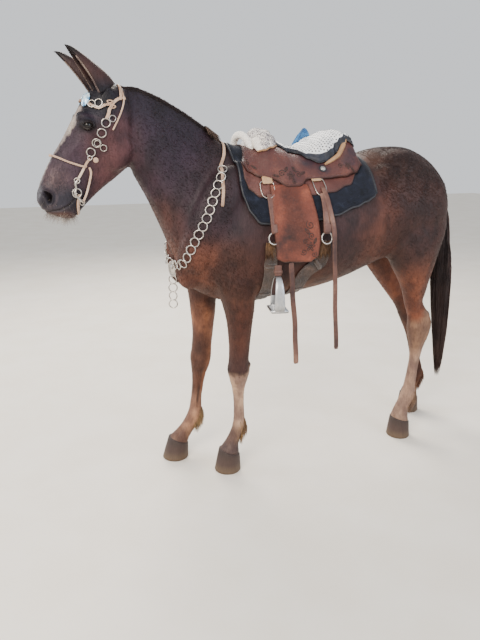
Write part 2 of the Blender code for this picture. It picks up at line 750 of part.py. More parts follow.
def make_eye(side, nodes, parts):
    # The ball sits in a socket between two lids that rise from the head.
    place = Vector((EYE_PLACE.x, side * EYE_PLACE.y, EYE_PLACE.z))
    ball = blob("eye", (place.x, EYE_PLACE.y, place.z, EYE_RADIUS, EYE_RADIUS, EYE_RADIUS, 0.0),
                side, parts, rings=5)
    edit(ball, triangulate)
    opening = []
    for step in range(12):
        angle = 2 * math.pi * step / 12
        dx = 0.0190 * math.cos(angle)
        dz = (0.0105 if math.sin(angle) > 0 else 0.0085) * math.sin(angle) - 0.06 * dx
        depth = math.sqrt(max((EYE_RADIUS + 0.0015) ** 2 - dx * dx - dz * dz, 1e-5))
        opening.append(place + Vector((dx, side * depth, dz)))
    rim = loop_tube("lids", opening, 0.0042, Vector((0, side, 0)), bpy.context.scene.collection, 5)
    head = union("head", [nodes["head"], rim])
    cut(head, [inflated(ball, GAP)])
    name = "eye_near" if side < 0 else "eye_far"
    nodes[name] = finish(ball, name, "eye_wet", parts)


def make_nostril(side, nodes):
    place = Vector((NOSTRIL_PLACE.x, side * NOSTRIL_PLACE.y, NOSTRIL_PLACE.z))
    rim_points = []
    for step in range(10):
        angle = 2 * math.pi * step / 10
        dx, dz = 0.012 * math.cos(angle), 0.019 * math.sin(angle)
        rim_points.append(place + Vector((dx - 0.3 * dz, side * (0.003 + 0.35 * dx), dz)))
    rim = loop_tube("nostril rim", rim_points, 0.006, Vector((0, side, 0)),
                    bpy.context.scene.collection, 5)
    hole = blob("nostril", (place.x, NOSTRIL_PLACE.y, place.z, 0.010, 0.030, 0.017, -15.0), side,
                bpy.context.scene.collection, rings=6)
    head = union("head", [nodes["head"], rim])
    cut(head, [hole])


def make_mouth(nodes):
    # A groove between the lips on each side and round the front.
    for low, high in ((-0.100, -0.020), (0.020, 0.100)):
        points = []
        for x, z in MOUTH_LINE:
            points += [(x, low, z - MOUTH_GAP / 2), (x, high, z - MOUTH_GAP / 2),
                       (x, high, z + MOUTH_GAP / 2), (x, low, z + MOUTH_GAP / 2)]
        rings = [[Vector(point) for point in points[4 * i:4 * i + 4]] for i in range(len(MOUTH_LINE))]
        plate = add_object("mouth", loft_mesh("mouth", rings), bpy.context.scene.collection)
        edit(plate, outward)
        cut(nodes["head"], [plate])


def make_ear(side, tip, nodes, parts):
    # A leaf-shaped cup that opens forward and a little outward.
    root = Vector((-0.487, side * 0.052, 1.688))
    tip = Vector(tip)
    axis = (tip - root).normalized()
    opening = Vector((-0.80, side * 0.45, -0.42))
    opening = (opening - axis * opening.dot(axis)).normalized()
    across = axis.cross(opening).normalized()
    rings = []
    spans = 6
    for row in range(spans + 1):
        t = row / spans
        width = EAR_WIDTH * (0.62 + 1.55 * t - 2.12 * t * t) if t > 0.02 else EAR_WIDTH * 0.62
        width = max(width, 0.0035)
        depth = width * (1.0 - 0.25 * t)
        spread = math.radians(150 - 55 * min(1.0, t * 2.2))
        bend = opening * (-0.020 * math.sin(math.pi * t))
        middle = root.lerp(tip, t) + bend
        wall = min(EAR_WALL, width * 0.6)
        outer = []
        inner = []
        for step in range(7):
            angle = -spread + 2 * spread * step / 6
            outer.append(middle + across * width * math.sin(angle) - opening * depth * math.cos(angle))
            inner.append(middle + across * (width - wall) * math.sin(angle)
                         - opening * (depth - wall) * math.cos(angle))
        rings.append(outer + inner[::-1])
    shell = add_object("ear shell", loft_mesh("ear", rings), parts)
    edit(shell, lambda mesh: (outward(mesh), triangulate(mesh)))
    bulb = blob("ear bulb", (root.x, abs(root.y), root.z, 0.030, 0.026, 0.040, -40.0), side, parts, 5)
    edit(bulb, triangulate)
    name = "ear_near" if side < 0 else "ear_far"
    ear = union(name, [shell, bulb])
    clear_of(ear, [nodes["head"], nodes["neck"]])
    nodes[name] = finish(ear, name, "coat_dark", parts)


def lock(points, widths, thick, across, group):
    # A flat lock of hair that follows points and thins with its widths.
    rings = []
    for index, point in enumerate(points):
        ahead = points[min(index + 1, len(points) - 1)]
        behind = points[max(index - 1, 0)]
        along = (ahead - behind).normalized()
        side = (across - along * across.dot(along)).normalized()
        face = along.cross(side)
        half = widths[index] / 2
        deep = thick * (0.35 + 0.65 * widths[index] / max(widths)) / 2
        rings.append([point - side * half, point - face * deep, point + side * half,
                      point + face * deep])
    item = add_object("lock", loft_mesh("lock", rings), group)
    return edit(item, lambda mesh: (outward(mesh), triangulate(mesh)))


def make_mane(nodes):
    # A clipped mane: short locks that overlap along the crest, longer at the withers.
    group = bpy.context.scene.collection
    draw = random.Random(SEED)
    crest = [(row[0], row[1]) for row in smooth_rows(NECK, 6)]
    crest = [place for place in crest if MANE_FIRST < place[0] < MANE_LAST]
    locks = []
    count = 24
    for index in range(count):
        spot = index / (count - 1) * (len(crest) - 1.001)
        first, second = crest[int(spot)], crest[int(spot) + 1]
        t = spot - int(spot)
        x, z = first[0] + (second[0] - first[0]) * t, first[1] + (second[1] - first[1]) * t
        along = Vector((second[0] - first[0], 0, second[1] - first[1])).normalized()
        up = Vector((-along.z, 0, along.x))
        tall = MANE_HEIGHT * draw.uniform(0.85, 1.15)
        lean = Vector((0, -0.25 + draw.uniform(-0.12, 0.12), 0)) + along * 0.35
        root = Vector((x, draw.uniform(-0.004, 0.004), z)) - up * 0.022
        points = [root, root + up * (0.022 + tall * 0.35) + lean * 0.006,
                  root + up * (0.022 + tall) + lean * 0.024]
        locks.append(lock(points, (0.034, 0.040, 0.012), 0.014, along, group))
    for index in range(4):
        # Longer hair falls to the near side where the mane meets the withers.
        x, z = crest[-1 - index * 3]
        root = Vector((x, 0.0, z - 0.016))
        fall = draw.uniform(0.050, 0.080)
        points = [root, Vector((x + 0.006, -0.030, z + 0.004)), Vector((x + 0.014, -0.060, z - 0.022)),
                  Vector((x + 0.020, -0.070 - fall * 0.25, z - 0.030 - fall * 0.6))]
        locks.append(lock(points, (0.020, 0.024, 0.018, 0.004), 0.010, Vector((1, 0, 0)), group))
    nodes["neck"] = thinned(union("neck", [nodes["neck"]] + locks), 0.82)
    clear_of(nodes["neck"], [nodes["head"], nodes["torso"]])


def make_tail(nodes, parts):
    # The dock leaves the croup, and locks hang from it in tiers round a short core.
    group = bpy.context.scene.collection
    draw = random.Random(SEED + 1)
    line = table_points(TAIL_LINE)
    core = tube("tail", [line(z) for z in (1.345, 1.315, 1.23, 1.08, 0.94, 0.82)],
                (0.024, 0.027, 0.027, 0.025, 0.022, 0.012), parts, sides=6)
    locks = []
    for tier, (top, count, end, wide_at) in enumerate(TAIL_TIERS):
        for index in range(count):
            turn = 2 * math.pi * (index + 0.5 * (tier % 2)) / count + draw.uniform(-0.15, 0.15)
            out = Vector((math.cos(turn), math.sin(turn), 0))
            across = Vector((-math.sin(turn), math.cos(turn), 0))
            tip = end + draw.uniform(-0.02, 0.09)
            points = []
            for share, reach in ((0.0, 0.16), (0.18, 0.70), (0.62, 1.0), (1.0, 0.62)):
                z = top + (tip - top) * share
                points.append(line(z) + out * reach * wide_at)
            wide = draw.uniform(0.9, 1.15)
            locks.append(lock(points, [width * wide for width in (0.034, 0.056, 0.052, 0.008)], 0.020,
                              across, group))
    tail = thinned(union("tail", [core] + locks), 0.62)
    clear_of(tail, [nodes["torso"], nodes["leg_hind_near"], nodes["leg_hind_far"]])
    clear_of(tail, [nodes["shin_hind_near"], nodes["shin_hind_far"]])
    nodes["tail"] = finish(tail, "tail", "hair_black", parts)


def make_tufts(key, nodes):
    # Feather hair hangs behind the fetlock and ends above the floor.
    group = bpy.context.scene.collection
    draw = random.Random(SEED + 2 + len(key))
    side_y, back_x, top = TUFTS[key]
    locks = []
    for index in range(3):
        spread = index - 1
        root = Vector((back_x - 0.024 - 0.010 * abs(spread), side_y + 0.020 * spread, top))
        fall = draw.uniform(0.062, 0.080) * (1 - 0.25 * abs(spread))
        points = [root, root + Vector((0.029, 0.006 * spread, -0.30 * fall)),
                  root + Vector((0.028, 0.003 * spread, -fall))]
        locks.append(lock(points, (0.024, 0.027, 0.006), 0.010, Vector((0.25 * spread, 1, 0)), group))
    nodes["shin_" + key] = union("shin_" + key, [nodes["shin_" + key]] + locks)
    clear_of(nodes["shin_" + key], [nodes["hoof_" + key]])


def surface_of(nodes, names):
    # A search tree over some nodes, for laying tack on them.
    points, faces = [], []
    for name in names:
        mesh = nodes[name].data
        start = len(points)
        points += [vert.co.copy() for vert in mesh.vertices]
        faces += [tuple(start + index for index in face.vertices) for face in mesh.polygons]
    return BVHTree.FromPolygons(points, faces)


def table_points(line):
    # A point on the middle plane at a height, along (x, z) pairs from top to bottom.
    def at(z):
        for (x1, z1), (x2, z2) in zip(line, line[1:]):
            if z >= z2:
                t = min(max((z1 - z) / (z1 - z2), 0.0), 1.0)
                return Vector((x1 + (x2 - x1) * t, 0.0, z))
        return Vector((line[-1][0], 0.0, z))
    return at


def touch(surface, outer, inner):
    # Where a straight look from an outer point towards an inner one meets the surface.
    outer, inner = Vector(outer), Vector(inner)
    aim = (inner - outer).normalized()
    spot, normal, _, _ = surface.ray_cast(outer, aim, 3.0)
    if spot is None:
        return inner, -aim
    if normal.dot(aim) > 0:
        normal = -normal
    return spot, normal


def lay(surface, route, count=0, pitch=0.0):
    # Evenly spaced spots and normals on the surface along a route of (outer, inner) point pairs.
    rows = smooth_rows([tuple(outer) + tuple(inner) for outer, inner in route], 12)
    spots = []
    for row in rows:
        spots.append(touch(surface, row[:3], row[3:]))
    reach = [0.0]
    for (a, _), (b, _) in zip(spots, spots[1:]):
        reach.append(reach[-1] + (b - a).length)
    if pitch:
        count = round(reach[-1] / pitch) + 1
    laid = []
    for step in range(count):
        goal = reach[-1] * step / (count - 1)
        index = max(i for i in range(len(reach)) if reach[i] <= goal + 1e-9)
        index = min(index, len(spots) - 2)
        span = reach[index + 1] - reach[index]
        t = (goal - reach[index]) / span if span > 1e-9 else 0.0
        spot = spots[index][0].lerp(spots[index + 1][0], t)
        normal = spots[index][1].lerp(spots[index + 1][1], t).normalized()
        laid.append((spot, normal))
    normals = [laid[max(i - 1, 0)][1] + laid[i][1] * 2 + laid[min(i + 1, count - 1)][1]
               for i in range(count)]
    return [(spot, normal.normalized()) for (spot, _), normal in zip(laid, normals)]


def band(name, laid, width, thick, lift, group):
    # A flat strap along laid spots.
    rings = []
    for index, (spot, normal) in enumerate(laid):
        ahead = laid[min(index + 1, len(laid) - 1)][0]
        behind = laid[max(index - 1, 0)][0]
        along = (ahead - behind).normalized()
        across = along.cross(normal).normalized()
        low, high = spot + normal * lift, spot + normal * (lift + thick)
        rings.append([low - across * width / 2, low + across * width / 2,
                      high + across * width / 2, high - across * width / 2])
    item = add_object(name, loft_mesh(name, rings), group)
    return edit(item, lambda mesh: (outward(mesh), triangulate(mesh)))


def ring(name, centre, normal, radius, wire, group, around=8, sides=4, along=None):
    # A wire ring whose hole faces along its normal.
    normal = normal.normalized()
    guide = along if along is not None else Vector((0, 0, 1))
    first = (guide - normal * guide.dot(normal)).normalized()
    second = normal.cross(first)
    points = []
    for step in range(around):
        angle = 2 * math.pi * step / around
        out = first * math.cos(angle) + second * math.sin(angle)
        middle = centre + out * radius
        for turn in range(sides):
            tilt = 2 * math.pi * (turn + 0.5) / sides
            points.append(middle + (out * math.cos(tilt) + normal * math.sin(tilt)) * wire)
    faces = []
    for step in range(around):
        for turn in range(sides):
            a = step * sides + turn
            b = step * sides + (turn + 1) % sides
            c = ((step + 1) % around) * sides + (turn + 1) % sides
            d = ((step + 1) % around) * sides + turn
            faces.append((a, b, c, d))
    item = add_object(name, mesh_from(name, points, faces), group)
    return edit(item, lambda mesh: (outward(mesh), triangulate(mesh)))


def chain(name, laid, radius, wire, group, lift=0.0105):
    # Rings side by side along laid spots, each biting a little into the next.
    links = []
    for index, (spot, normal) in enumerate(laid):
        ahead = laid[min(index + 1, len(laid) - 1)][0]
        behind = laid[max(index - 1, 0)][0]
        along = (ahead - behind).normalized()
        tilt = 0.10 if index % 2 else -0.10
        facing = (normal + along.cross(normal) * tilt).normalized()
        links.append(ring(name + " link", spot + normal * (wire + lift), facing, radius, wire, group,
                          around=8, sides=3, along=along))
    return thinned(union(name, links), 0.85)


def mirrored(route, side):
    return [((a[0], side * a[1], a[2]), (b[0], side * b[1], b[2])) for a, b in route]


def side_route(points, reach=0.5):
    # Pairs that look straight in from the side at points (x, z).
    return [((x, reach, z), (x, 0.0, z)) for x, z in points]


def make_bridle(nodes, parts):
    flesh = surface_of(nodes, ("head", "neck"))
    group = bpy.context.scene.collection
    poll = Vector((-0.440, 0, 1.62))
    cheek = (((-0.490, 0.35, 1.640), (-0.490, 0.0, 1.640)), ((-0.450, 0.35, 1.685), (-0.450, 0, 1.66)))
    crown = (mirrored(cheek, -1)
             + [((-0.432, -0.15, 1.80), tuple(poll)), ((-0.430, 0.0, 1.90), tuple(poll)),
                ((-0.432, 0.15, 1.80), tuple(poll))]
             + mirrored(cheek[::-1], 1))
    headstall = band("headstall", lay(flesh, crown, 15), STRAP, STRAP_THICK, HEAD_LIFT, group)
    pieces = [headstall]
    for side in (-1, 1):
        throat = mirrored(side_route(((-0.440, 1.715), (-0.428, 1.670), (-0.438, 1.620),
                                      (-0.458, 1.580), (-0.478, 1.545))), side)
        pieces.append(band("throat", lay(flesh, throat, 8), STRAP * 0.55, STRAP_THICK, HEAD_LIFT, group))
    nodes["headstall"] = union("headstall", pieces)

    brow = [((-0.490, -0.35, 1.650), (-0.49, 0, 1.650)), ((-0.545, -0.30, 1.660), (-0.52, 0, 1.62)),
            ((-0.66, -0.18, 1.72), (-0.52, 0, 1.62)), ((-0.72, 0.0, 1.76), (-0.52, 0, 1.62))]
    brow += [((a[0], -a[1], a[2]), (b[0], -b[1], b[2])) for a, b in brow[-2::-1]]
    laid = lay(flesh, brow, 17)
    pieces = [band("browband", laid, STRAP * 0.7, STRAP_THICK, HEAD_LIFT, group)]
    for index in (3, 5, 11, 13):
        spot, normal = laid[index]
        pieces.append(ring("brow ring", spot + normal * 0.008, normal, RING_RADIUS * 0.76,
                           RING_WIRE, group, sides=3))
    spot, normal = laid[8]
    pieces.append(blob("rosette", (spot.x, 0.0, spot.z, 0.012, 0.030, 0.026, -35.0), 1, group, 4))
    nodes["browband"] = thinned(union("browband", pieces), 0.8)

    for side, word in ((-1, "near"), (1, "far")):
        route = mirrored(side_route(((-0.500, 1.588), (-0.512, 1.556), (-0.538, 1.498),
                                     (-0.566, 1.458))), side)
        laid = lay(flesh, route, pitch=2.1 * RING_RADIUS - 0.0004)
        pieces = [chain("cheek chain", laid, RING_RADIUS * 1.05, RING_WIRE, group)]
        for x, z in ((-0.482, 1.594), (-0.518, 1.482)):
            spot, normal = touch(flesh, (x, side * 0.5, z), (x, 0.0, z))
            pieces.append(ring("small ring", spot + normal * 0.0065, normal, RING_RADIUS * 0.62,
                               RING_WIRE, group, sides=3))
        spot, normal = touch(flesh, (-0.548, side * 0.5, 1.436), (-0.548, 0.0, 1.436))
        stud = blob("concho", (spot.x, abs(spot.y), spot.z, 0.014, 0.008, 0.014, 0.0), side, group, 4)
        pieces.append(stud)
        nodes["cheek_chain_" + word] = union("cheek_chain_" + word, pieces)

    muzzle = Vector((-0.63, 0, 1.40))
    nose = [((-0.556, -0.25, 1.425), (-0.585, 0, 1.40)), ((-0.640, -0.25, 1.452), (-0.63, 0, 1.41)),
            ((-0.80, -0.10, 1.52), tuple(muzzle)), ((-0.84, 0.0, 1.52), tuple(muzzle))]
    nose += [((a[0], -a[1], a[2]), (b[0], -b[1], b[2])) for a, b in nose[-2::-1]]
    nodes["noseband"] = band("noseband", lay(flesh, nose, 15), 0.011, 0.005, HEAD_LIFT, group)

    nodes["bit"] = make_bit(flesh, group)
    order = ("cheek_chain_near", "cheek_chain_far", "noseband", "browband", "headstall", "bit")
    finishes = ("ring_steel", "ring_steel", "strap_leather", "strap_leather", "strap_leather",
                "ring_steel")
    done = []
    for name, look in zip(order, finishes):
        item = nodes[name]
        clear_of(item, [nodes["head"], nodes["neck"], nodes["ear_near"], nodes["ear_far"]])
        clear_of(item, done)
        done.append(item)
        finish(item, name, look, parts)


def make_bit(flesh, group):
    # Side bars at the corners of the mouth, the straps that hold them and a strap under the chin.
    pieces = []
    for side in (-1, 1):
        drop = mirrored(side_route(((-0.574, 1.412), (-0.596, 1.378), (-0.616, 1.348))), side)
        pieces.append(band("bit hanger", lay(flesh, drop, 5), 0.014, 0.004, HEAD_LIFT, group))
        back = mirrored(side_route(((-0.568, 1.405), (-0.566, 1.372), (-0.578, 1.325),
                                    (-0.592, 1.290))), side)
        pieces.append(band("back strap", lay(flesh, back, 5), 0.012, 0.004, HEAD_LIFT, group))
        bar = mirrored(side_route(((-0.616, 1.352), (-0.628, 1.325), (-0.620, 1.290),
                                   (-0.596, 1.262))), side)
        laid = lay(flesh, bar, 6)
        pieces.append(tube("bit bar", [spot + normal * 0.0075 for spot, normal in laid], [0.006] * 6,
                           group, sides=4))
        spot, normal = laid[1]
        pieces.append(ring("bit ring", spot + normal * 0.006, normal, 0.014, 0.0035, group, sides=3))
    chin = [((-0.590, -0.20, 1.275), (-0.62, 0, 1.30)), ((-0.585, -0.08, 1.10), (-0.64, 0, 1.30)),
            ((-0.585, 0.08, 1.10), (-0.64, 0, 1.30)), ((-0.590, 0.20, 1.275), (-0.62, 0, 1.30))]
    pieces.append(band("chin strap", lay(flesh, chin, 9), 0.014, 0.004, HEAD_LIFT, group))
    return thinned(union("bit", pieces), 0.72)


def make_breast_collar(nodes, parts):
    flesh = surface_of(nodes, ("neck", "torso"))
    group = bpy.context.scene.collection
    route = [((-0.040, -0.55, 1.240), (-0.040, 0, 1.240)), ((-0.030, -0.5, 1.320), (-0.030, 0, 1.31)),
             ((-0.012, -0.5, 1.430), (-0.012, 0, 1.38)), ((0.005, -0.25, 1.62), (0.0, 0, 1.38)),
             ((0.015, 0.0, 1.75), (0.01, 0, 1.38))]
    route += [((a[0], -a[1], a[2]), (b[0], -b[1], b[2])) for a, b in route[-2::-1]]
    strap = band("breast_strap", lay(flesh, route, 19), STRAP * 1.1, STRAP_THICK, BODY_LIFT, group)
    nodes["breast_strap"] = strap
    for side, word in ((-1, "near"), (1, "far")):
        points = mirrored(side_route(((-0.062, 1.376), (-0.076, 1.345), (-0.102, 1.280),
                                      (-0.131, 1.205), (-0.164, 1.130), (-0.190, 1.070))), side)
        points += [((-0.50, side * 0.12, 1.000), (-0.10, side * 0.02, 1.010)),
                   ((-0.50, side * 0.045, 0.970), (-0.10, side * 0.02, 0.985))]
        laid = lay(flesh, points, pitch=2 * RING_RADIUS - 0.0004)
        nodes["breast_chain_" + word] = chain("breast_chain_" + word, laid, RING_RADIUS, RING_WIRE,
                                              group)
    spot, normal = touch(flesh, (-0.6, 0.0, 0.955), (0.0, 0.0, 0.955))
    front = spot.x - 0.014
    plate = box("plate", [(front - 0.006, -0.020, 0.915), (front, -0.020, 0.915),
                          (front, 0.020, 0.915), (front - 0.006, 0.020, 0.915),
                          (front - 0.006, -0.024, 0.985), (front, -0.024, 0.985),
                          (front, 0.024, 0.985), (front - 0.006, 0.024, 0.985)])
    pieces = [plate]
    for index in range(4):
        centre = Vector((front - 0.003, 0.0, 0.902 - index * 0.0370))
        facing = Vector((1.0, 0.25 if index % 2 else -0.25, 0.0))
        pieces.append(ring("drop link", centre, facing, RING_RADIUS * 0.97, RING_WIRE, group,
                           sides=3))
    nodes["breast_drop"] = union("breast_drop", pieces)
    done = []
    for name, look in (("breast_drop", "ring_steel"), ("breast_chain_near", "ring_steel"),
                       ("breast_chain_far", "ring_steel"), ("breast_strap", "strap_leather")):
        clear_of(nodes[name], [nodes["neck"], nodes["torso"]] + done)
        done.append(nodes[name])
        finish(nodes[name], name, look, parts)


AXIS_HEIGHT = 1.12


def over_back(surface, x, angle):
    # The body's radius in a slice across the back, at an angle from straight up.
    aim = Vector((0, math.sin(angle), math.cos(angle)))
    centre = Vector((x, 0, AXIS_HEIGHT))
    spot, _, _, _ = surface.ray_cast(centre + aim * 0.8, -aim, 0.8)
    return (spot - centre).length if spot is not None else 0.25


def angle_at(surface, x, z):
    # The angle from straight up at which the body's side reaches a height.
    low, high = 0.0, math.radians(150)
    for _ in range(24):
        middle = (low + high) / 2
        height = AXIS_HEIGHT + over_back(surface, x, middle) * math.cos(middle)
        if height > z:
            low = middle
        else:
            high = middle
    return (low + high) / 2


def slab(name, inner, outer, group):
    # A closed solid between two grids of points that match.
    rows, columns = len(inner), len(inner[0])
    points = [point for row in inner for point in row] + [point for row in outer for point in row]
    half = rows * columns
    faces = []
    for i in range(rows - 1):
        for j in range(columns - 1):
            a, b = i * columns + j, i * columns + j + 1
            c, d = a + columns, b + columns
            faces += [(a, b, d), (a, d, c)]
            faces += [(half + a, half + d, half + b), (half + a, half + c, half + d)]
    for i in range(rows - 1):
        for j in (0, columns - 1):
            a, b = i * columns + j, (i + 1) * columns + j
            faces += [(a, b, half + b), (a, half + b, half + a)]
    for j in range(columns - 1):
        for i in (0, rows - 1):
            a, b = i * columns + j, i * columns + j + 1
            faces += [(a, b, half + b), (a, half + b, half + a)]
    item = add_object(name, mesh_from(name, points, faces), group)
    return edit(item, outward)


def drape(name, surface, xs, low_edge, lift, group, columns=13, reach=(-1.0, 1.0), sweep=None):
    # A sheet over the back. low_edge(x) gives its lower height, lift(x, share) its two lifts,
    # reach the shares of its width that it covers and sweep(x, share) how far a point moves along.
    inner, outer = [], []
    for x in xs:
        widest = angle_at(surface, x, low_edge(x))
        rows = ([], [])
        for step in range(columns):
            share = reach[0] + (reach[1] - reach[0]) * step / (columns - 1)
            angle = widest * share
            aim = Vector((0, math.sin(angle), math.cos(angle)))
            here = x + (sweep(x, share) if sweep else 0.0)
            base = over_back(surface, here, angle)
            for row, height in zip(rows, lift(x, share)):
                row.append(Vector((here, 0, AXIS_HEIGHT)) + aim * (base + height))
        inner.append(rows[0])
        outer.append(rows[1])
    return slab(name, inner, outer, group)


def table(pairs):
    # A smooth value between the named (x, value) pairs.
    def at(x):
        if x <= pairs[0][0]:
            return pairs[0][1]
        for (a, first), (b, second) in zip(pairs, pairs[1:]):
            if x <= b:
                t = (x - a) / (b - a)
                t = t * t * (3 - 2 * t)
                return first + (second - first) * t
        return pairs[-1][1]
    return at


def hang(name, surface, side, heights, left, right, lift, thick, group, columns=5):
    # A leather sheet down the side, standing off the widest body above it.
    inner, outer = [], []
    furthest = [0.0] * columns
    for z in heights:
        rows = ([], [])
        for step in range(columns):
            x = left(z) + (right(z) - left(z)) * step / (columns - 1)
            spot, normal, _, _ = surface.ray_cast(Vector((x, side * 0.7, z)), Vector((0, -side, 0)), 0.7)
            reach = abs(spot.y) + lift / max(abs(normal.y), 0.5) if spot is not None else 0.0
            furthest[step] = max(furthest[step], reach)
            for row, y in zip(rows, (furthest[step], furthest[step] + thick)):
                row.append(Vector((x, side * y, z)))
        inner.append(rows[0])
        outer.append(rows[1])
    return slab(name, inner, outer, group)


def steps_between(first, last, count):
    return [first + (last - first) * step / (count - 1) for step in range(count)]


def make_saddle(nodes, parts):
    body = surface_of(nodes, ("neck", "torso"))
    group = bpy.context.scene.collection
    pad_low = table(((0.03, 1.31), (0.06, 1.21), (0.11, 1.150), (0.18, 1.145), (0.45, 1.180),
                     (0.60, 1.230), (0.66, 1.285), (0.675, 1.33)))
    pad = drape("saddle_pad", body, steps_between(0.03, 0.675, 9), pad_low,
                lambda x, share: (0.008, 0.008 + PAD_THICK), group, columns=11)

    seat_low = table(((0.040, 1.385), (0.070, 1.350), (0.12, 1.328), (0.17, 1.320), (0.235, 1.290),
                      (0.285, 1.292), (0.34, 1.318), (0.42, 1.320), (0.52, 1.326), (0.58, 1.340),
                      (0.63, 1.370)))
    seat_rise = table(((0.040, 0.030), (0.10, 0.030), (0.165, 0.068), (0.20, 0.076), (0.25, 0.080),
                       (0.30, 0.064), (0.40, 0.068), (0.50, 0.095), (0.560, 0.136), (0.585, 0.130),
                       (0.63, 0.050)))

    def seat_lift(x, share):
        # Leather lies over the skirt and fender at the side, and the tree fills the middle.
        rim = 0.025 + 0.010 * min(1.0, max(0.0, (abs(share) - 0.2) / 0.25))
        crown = max(0.0, 1.0 - abs(share) ** 2.6)
        return rim, rim + LEATHER + (seat_rise(x) - 0.030) * crown

    def seat_sweep(x, share):
        # The fork stands further back than the leather's front corners.
        return 0.050 * (1 - abs(share) ** 1.6) * max(0.0, 1 - (x - 0.040) / 0.25)

    seat = drape("saddle_seat", body, steps_between(0.040, 0.63, 13), seat_low, seat_lift, group, 11,
                 sweep=seat_sweep)
    nodes["saddle_pad"], nodes["saddle_seat"] = pad, seat

    cover_rise = table(((0.30, 0.006), (0.36, 0.026), (0.44, 0.044), (0.52, 0.044), (0.57, 0.022),
                        (0.60, 0.006)))
    seat_cover_low = table(((0.30, 1.430), (0.38, 1.405), (0.46, 1.400), (0.54, 1.420),
                            (0.60, 1.470)))

    def cover_lift(x, share):
        return 0.0055, 0.0110 + cover_rise(x) * max(0.0, 1 - share ** 4)

    seat_top = tree_of(seat)
    nodes["seat_cover"] = drape("seat_cover", seat_top, steps_between(0.30, 0.60, 8),
                                seat_cover_low, cover_lift, group, 9)
    nodes["pommel_handle"] = make_handle(group)
    nodes["pommel_cover"] = make_pommel_cover(seat_top, group)
    nodes["blue_cloth"] = make_blue_cloth(group)

    for side, word in ((-1, "near"), (1, "far")):
        skirt_low = table(((0.045, 1.335), (0.070, 1.285), (0.11, 1.258), (0.34, 1.264),
                           (0.44, 1.274), (0.53, 1.300), (0.60, 1.350)))
        nodes["saddle_skirt_" + word] = drape(
            "saddle_skirt", body, steps_between(0.045, 0.60, 9), skirt_low,
            lambda x, share: (0.0230, 0.0230 + LEATHER), group, 4, (side * 0.66, side * 1.0))
        fender_x = (table(((0.995, 0.190), (1.02, 0.156), (1.19, 0.144), (1.345, 0.156))),
                    table(((0.995, 0.300), (1.03, 0.340), (1.09, 0.348), (1.345, 0.330))))
        nodes["fender_" + word] = hang("fender", body, side, steps_between(1.325, 1.000, 8),
                                       fender_x[0], fender_x[1], 0.0290, LEATHER, group, columns=4)
        nodes["concho_" + word] = make_concho(side, seat_top, group)
        make_rigging(side, word, body, nodes, group)
        make_stirrup(side, word, nodes, group)
    make_cinches(nodes, group)

    looks = {"saddle_pad": "pad_felt", "saddle_seat": "saddle_leather", "seat_cover": "cushion_white",
             "pommel_cover": "hide_white", "pommel_handle": "hide_white",
             "blue_cloth": "cloth_blue", "cinch_fore": "girth_cord", "cinch_hind": "girth_cord"}
    for word in ("near", "far"):
        looks["saddle_skirt_" + word] = "saddle_leather"
        looks["fender_" + word] = "fender_leather"
        looks["concho_" + word] = "ring_steel"
        looks["rigging_fore_" + word] = "strap_leather"
        looks["rigging_hind_" + word] = "strap_leather"
        looks["latigo_fore_" + word] = "saddle_leather"
        looks["latigo_hind_" + word] = "saddle_leather"
        looks["stirrup_strap_" + word] = "saddle_leather"
        looks["stirrup_" + word] = "stirrup_alloy"
    done = [nodes[name] for name in ("neck", "torso", "breast_strap", "breast_chain_near",
                                     "breast_chain_far")]
    done += [nodes["leg_" + key] for key in LEGS]
    for name, look in looks.items():
        clear_of(nodes[name], done)
        done.append(nodes[name])
        finish(nodes[name], name, look, parts)


def make_pommel_cover(seat_top, group):
    # A white hide laid over the fork, lumpy, with a fold drawn out towards the seat.
    rise = table(((0.140, 0.010), (0.16, 0.030), (0.19, 0.038), (0.23, 0.034), (0.26, 0.022),
                  (0.280, 0.008)))
    low = table(((0.140, 1.445), (0.17, 1.440), (0.22, 1.450), (0.280, 1.452)))

    def lift(x, share):
        lump = 1 + 0.25 * math.sin(31 * x + 5 * share)
        return 0.0060, 0.0110 + rise(x) * lump * max(0.0, 1 - share ** 4)

    return drape("pommel_cover", seat_top, steps_between(0.140, 0.280, 7), low, lift, group, 9)


def make_concho(side, seat_top, group):
    # A domed silver button on the rear corner of the seat leather.
    spot, normal = touch(seat_top, (CONCHO_X, side * 0.7, CONCHO_Z), (CONCHO_X, 0.0, CONCHO_Z))
    across = normal.cross(Vector((1, 0, 0))).normalized()
    along = across.cross(normal)
    rings = []
    for radius, rise in ((0.014, 0.0010), (0.014, 0.0030), (0.008, 0.0065)):
        rings.append([spot + normal * rise + (along * math.cos(turn) + across * math.sin(turn)) * radius
                      for turn in (2 * math.pi * step / 10 for step in range(10))])
    item = add_object("concho", loft_mesh("concho", rings), group)
    return edit(item, lambda mesh: (outward(mesh), triangulate(mesh)))


def make_handle(group):
    # The hand hold, wrapped in hide, arches over the fork from side to side.
    points = []
    radii = []
    for step in range(9):
        angle = math.pi * (step - 0.5) / 7
        points.append((0.112 - 0.012 * math.sin(angle), -0.052 * math.cos(angle),
                       1.472 + 0.060 * math.sin(angle)))
        radii.append(0.011 + 0.002 * math.sin(angle))
    return tube("pommel_handle", points, radii, group, sides=6)


def make_blue_cloth(group):
    # A folded cloth tucked at the far side of the seat, one corner up.
    outline = ((0.395, 1.445), (0.520, 1.455), (0.512, 1.545), (0.490, 1.575), (0.455, 1.535))
    near, far = [], []
    for x, z in outline:
        y = 0.200 - 0.35 * (z - 1.445)
        near.append(Vector((x, y, z)))
        far.append(Vector((x, y + 0.012, z)))
    item = add_object("blue_cloth", loft_mesh("blue_cloth", [near, far]), group)
    return edit(item, lambda mesh: (outward(mesh), triangulate(mesh)))


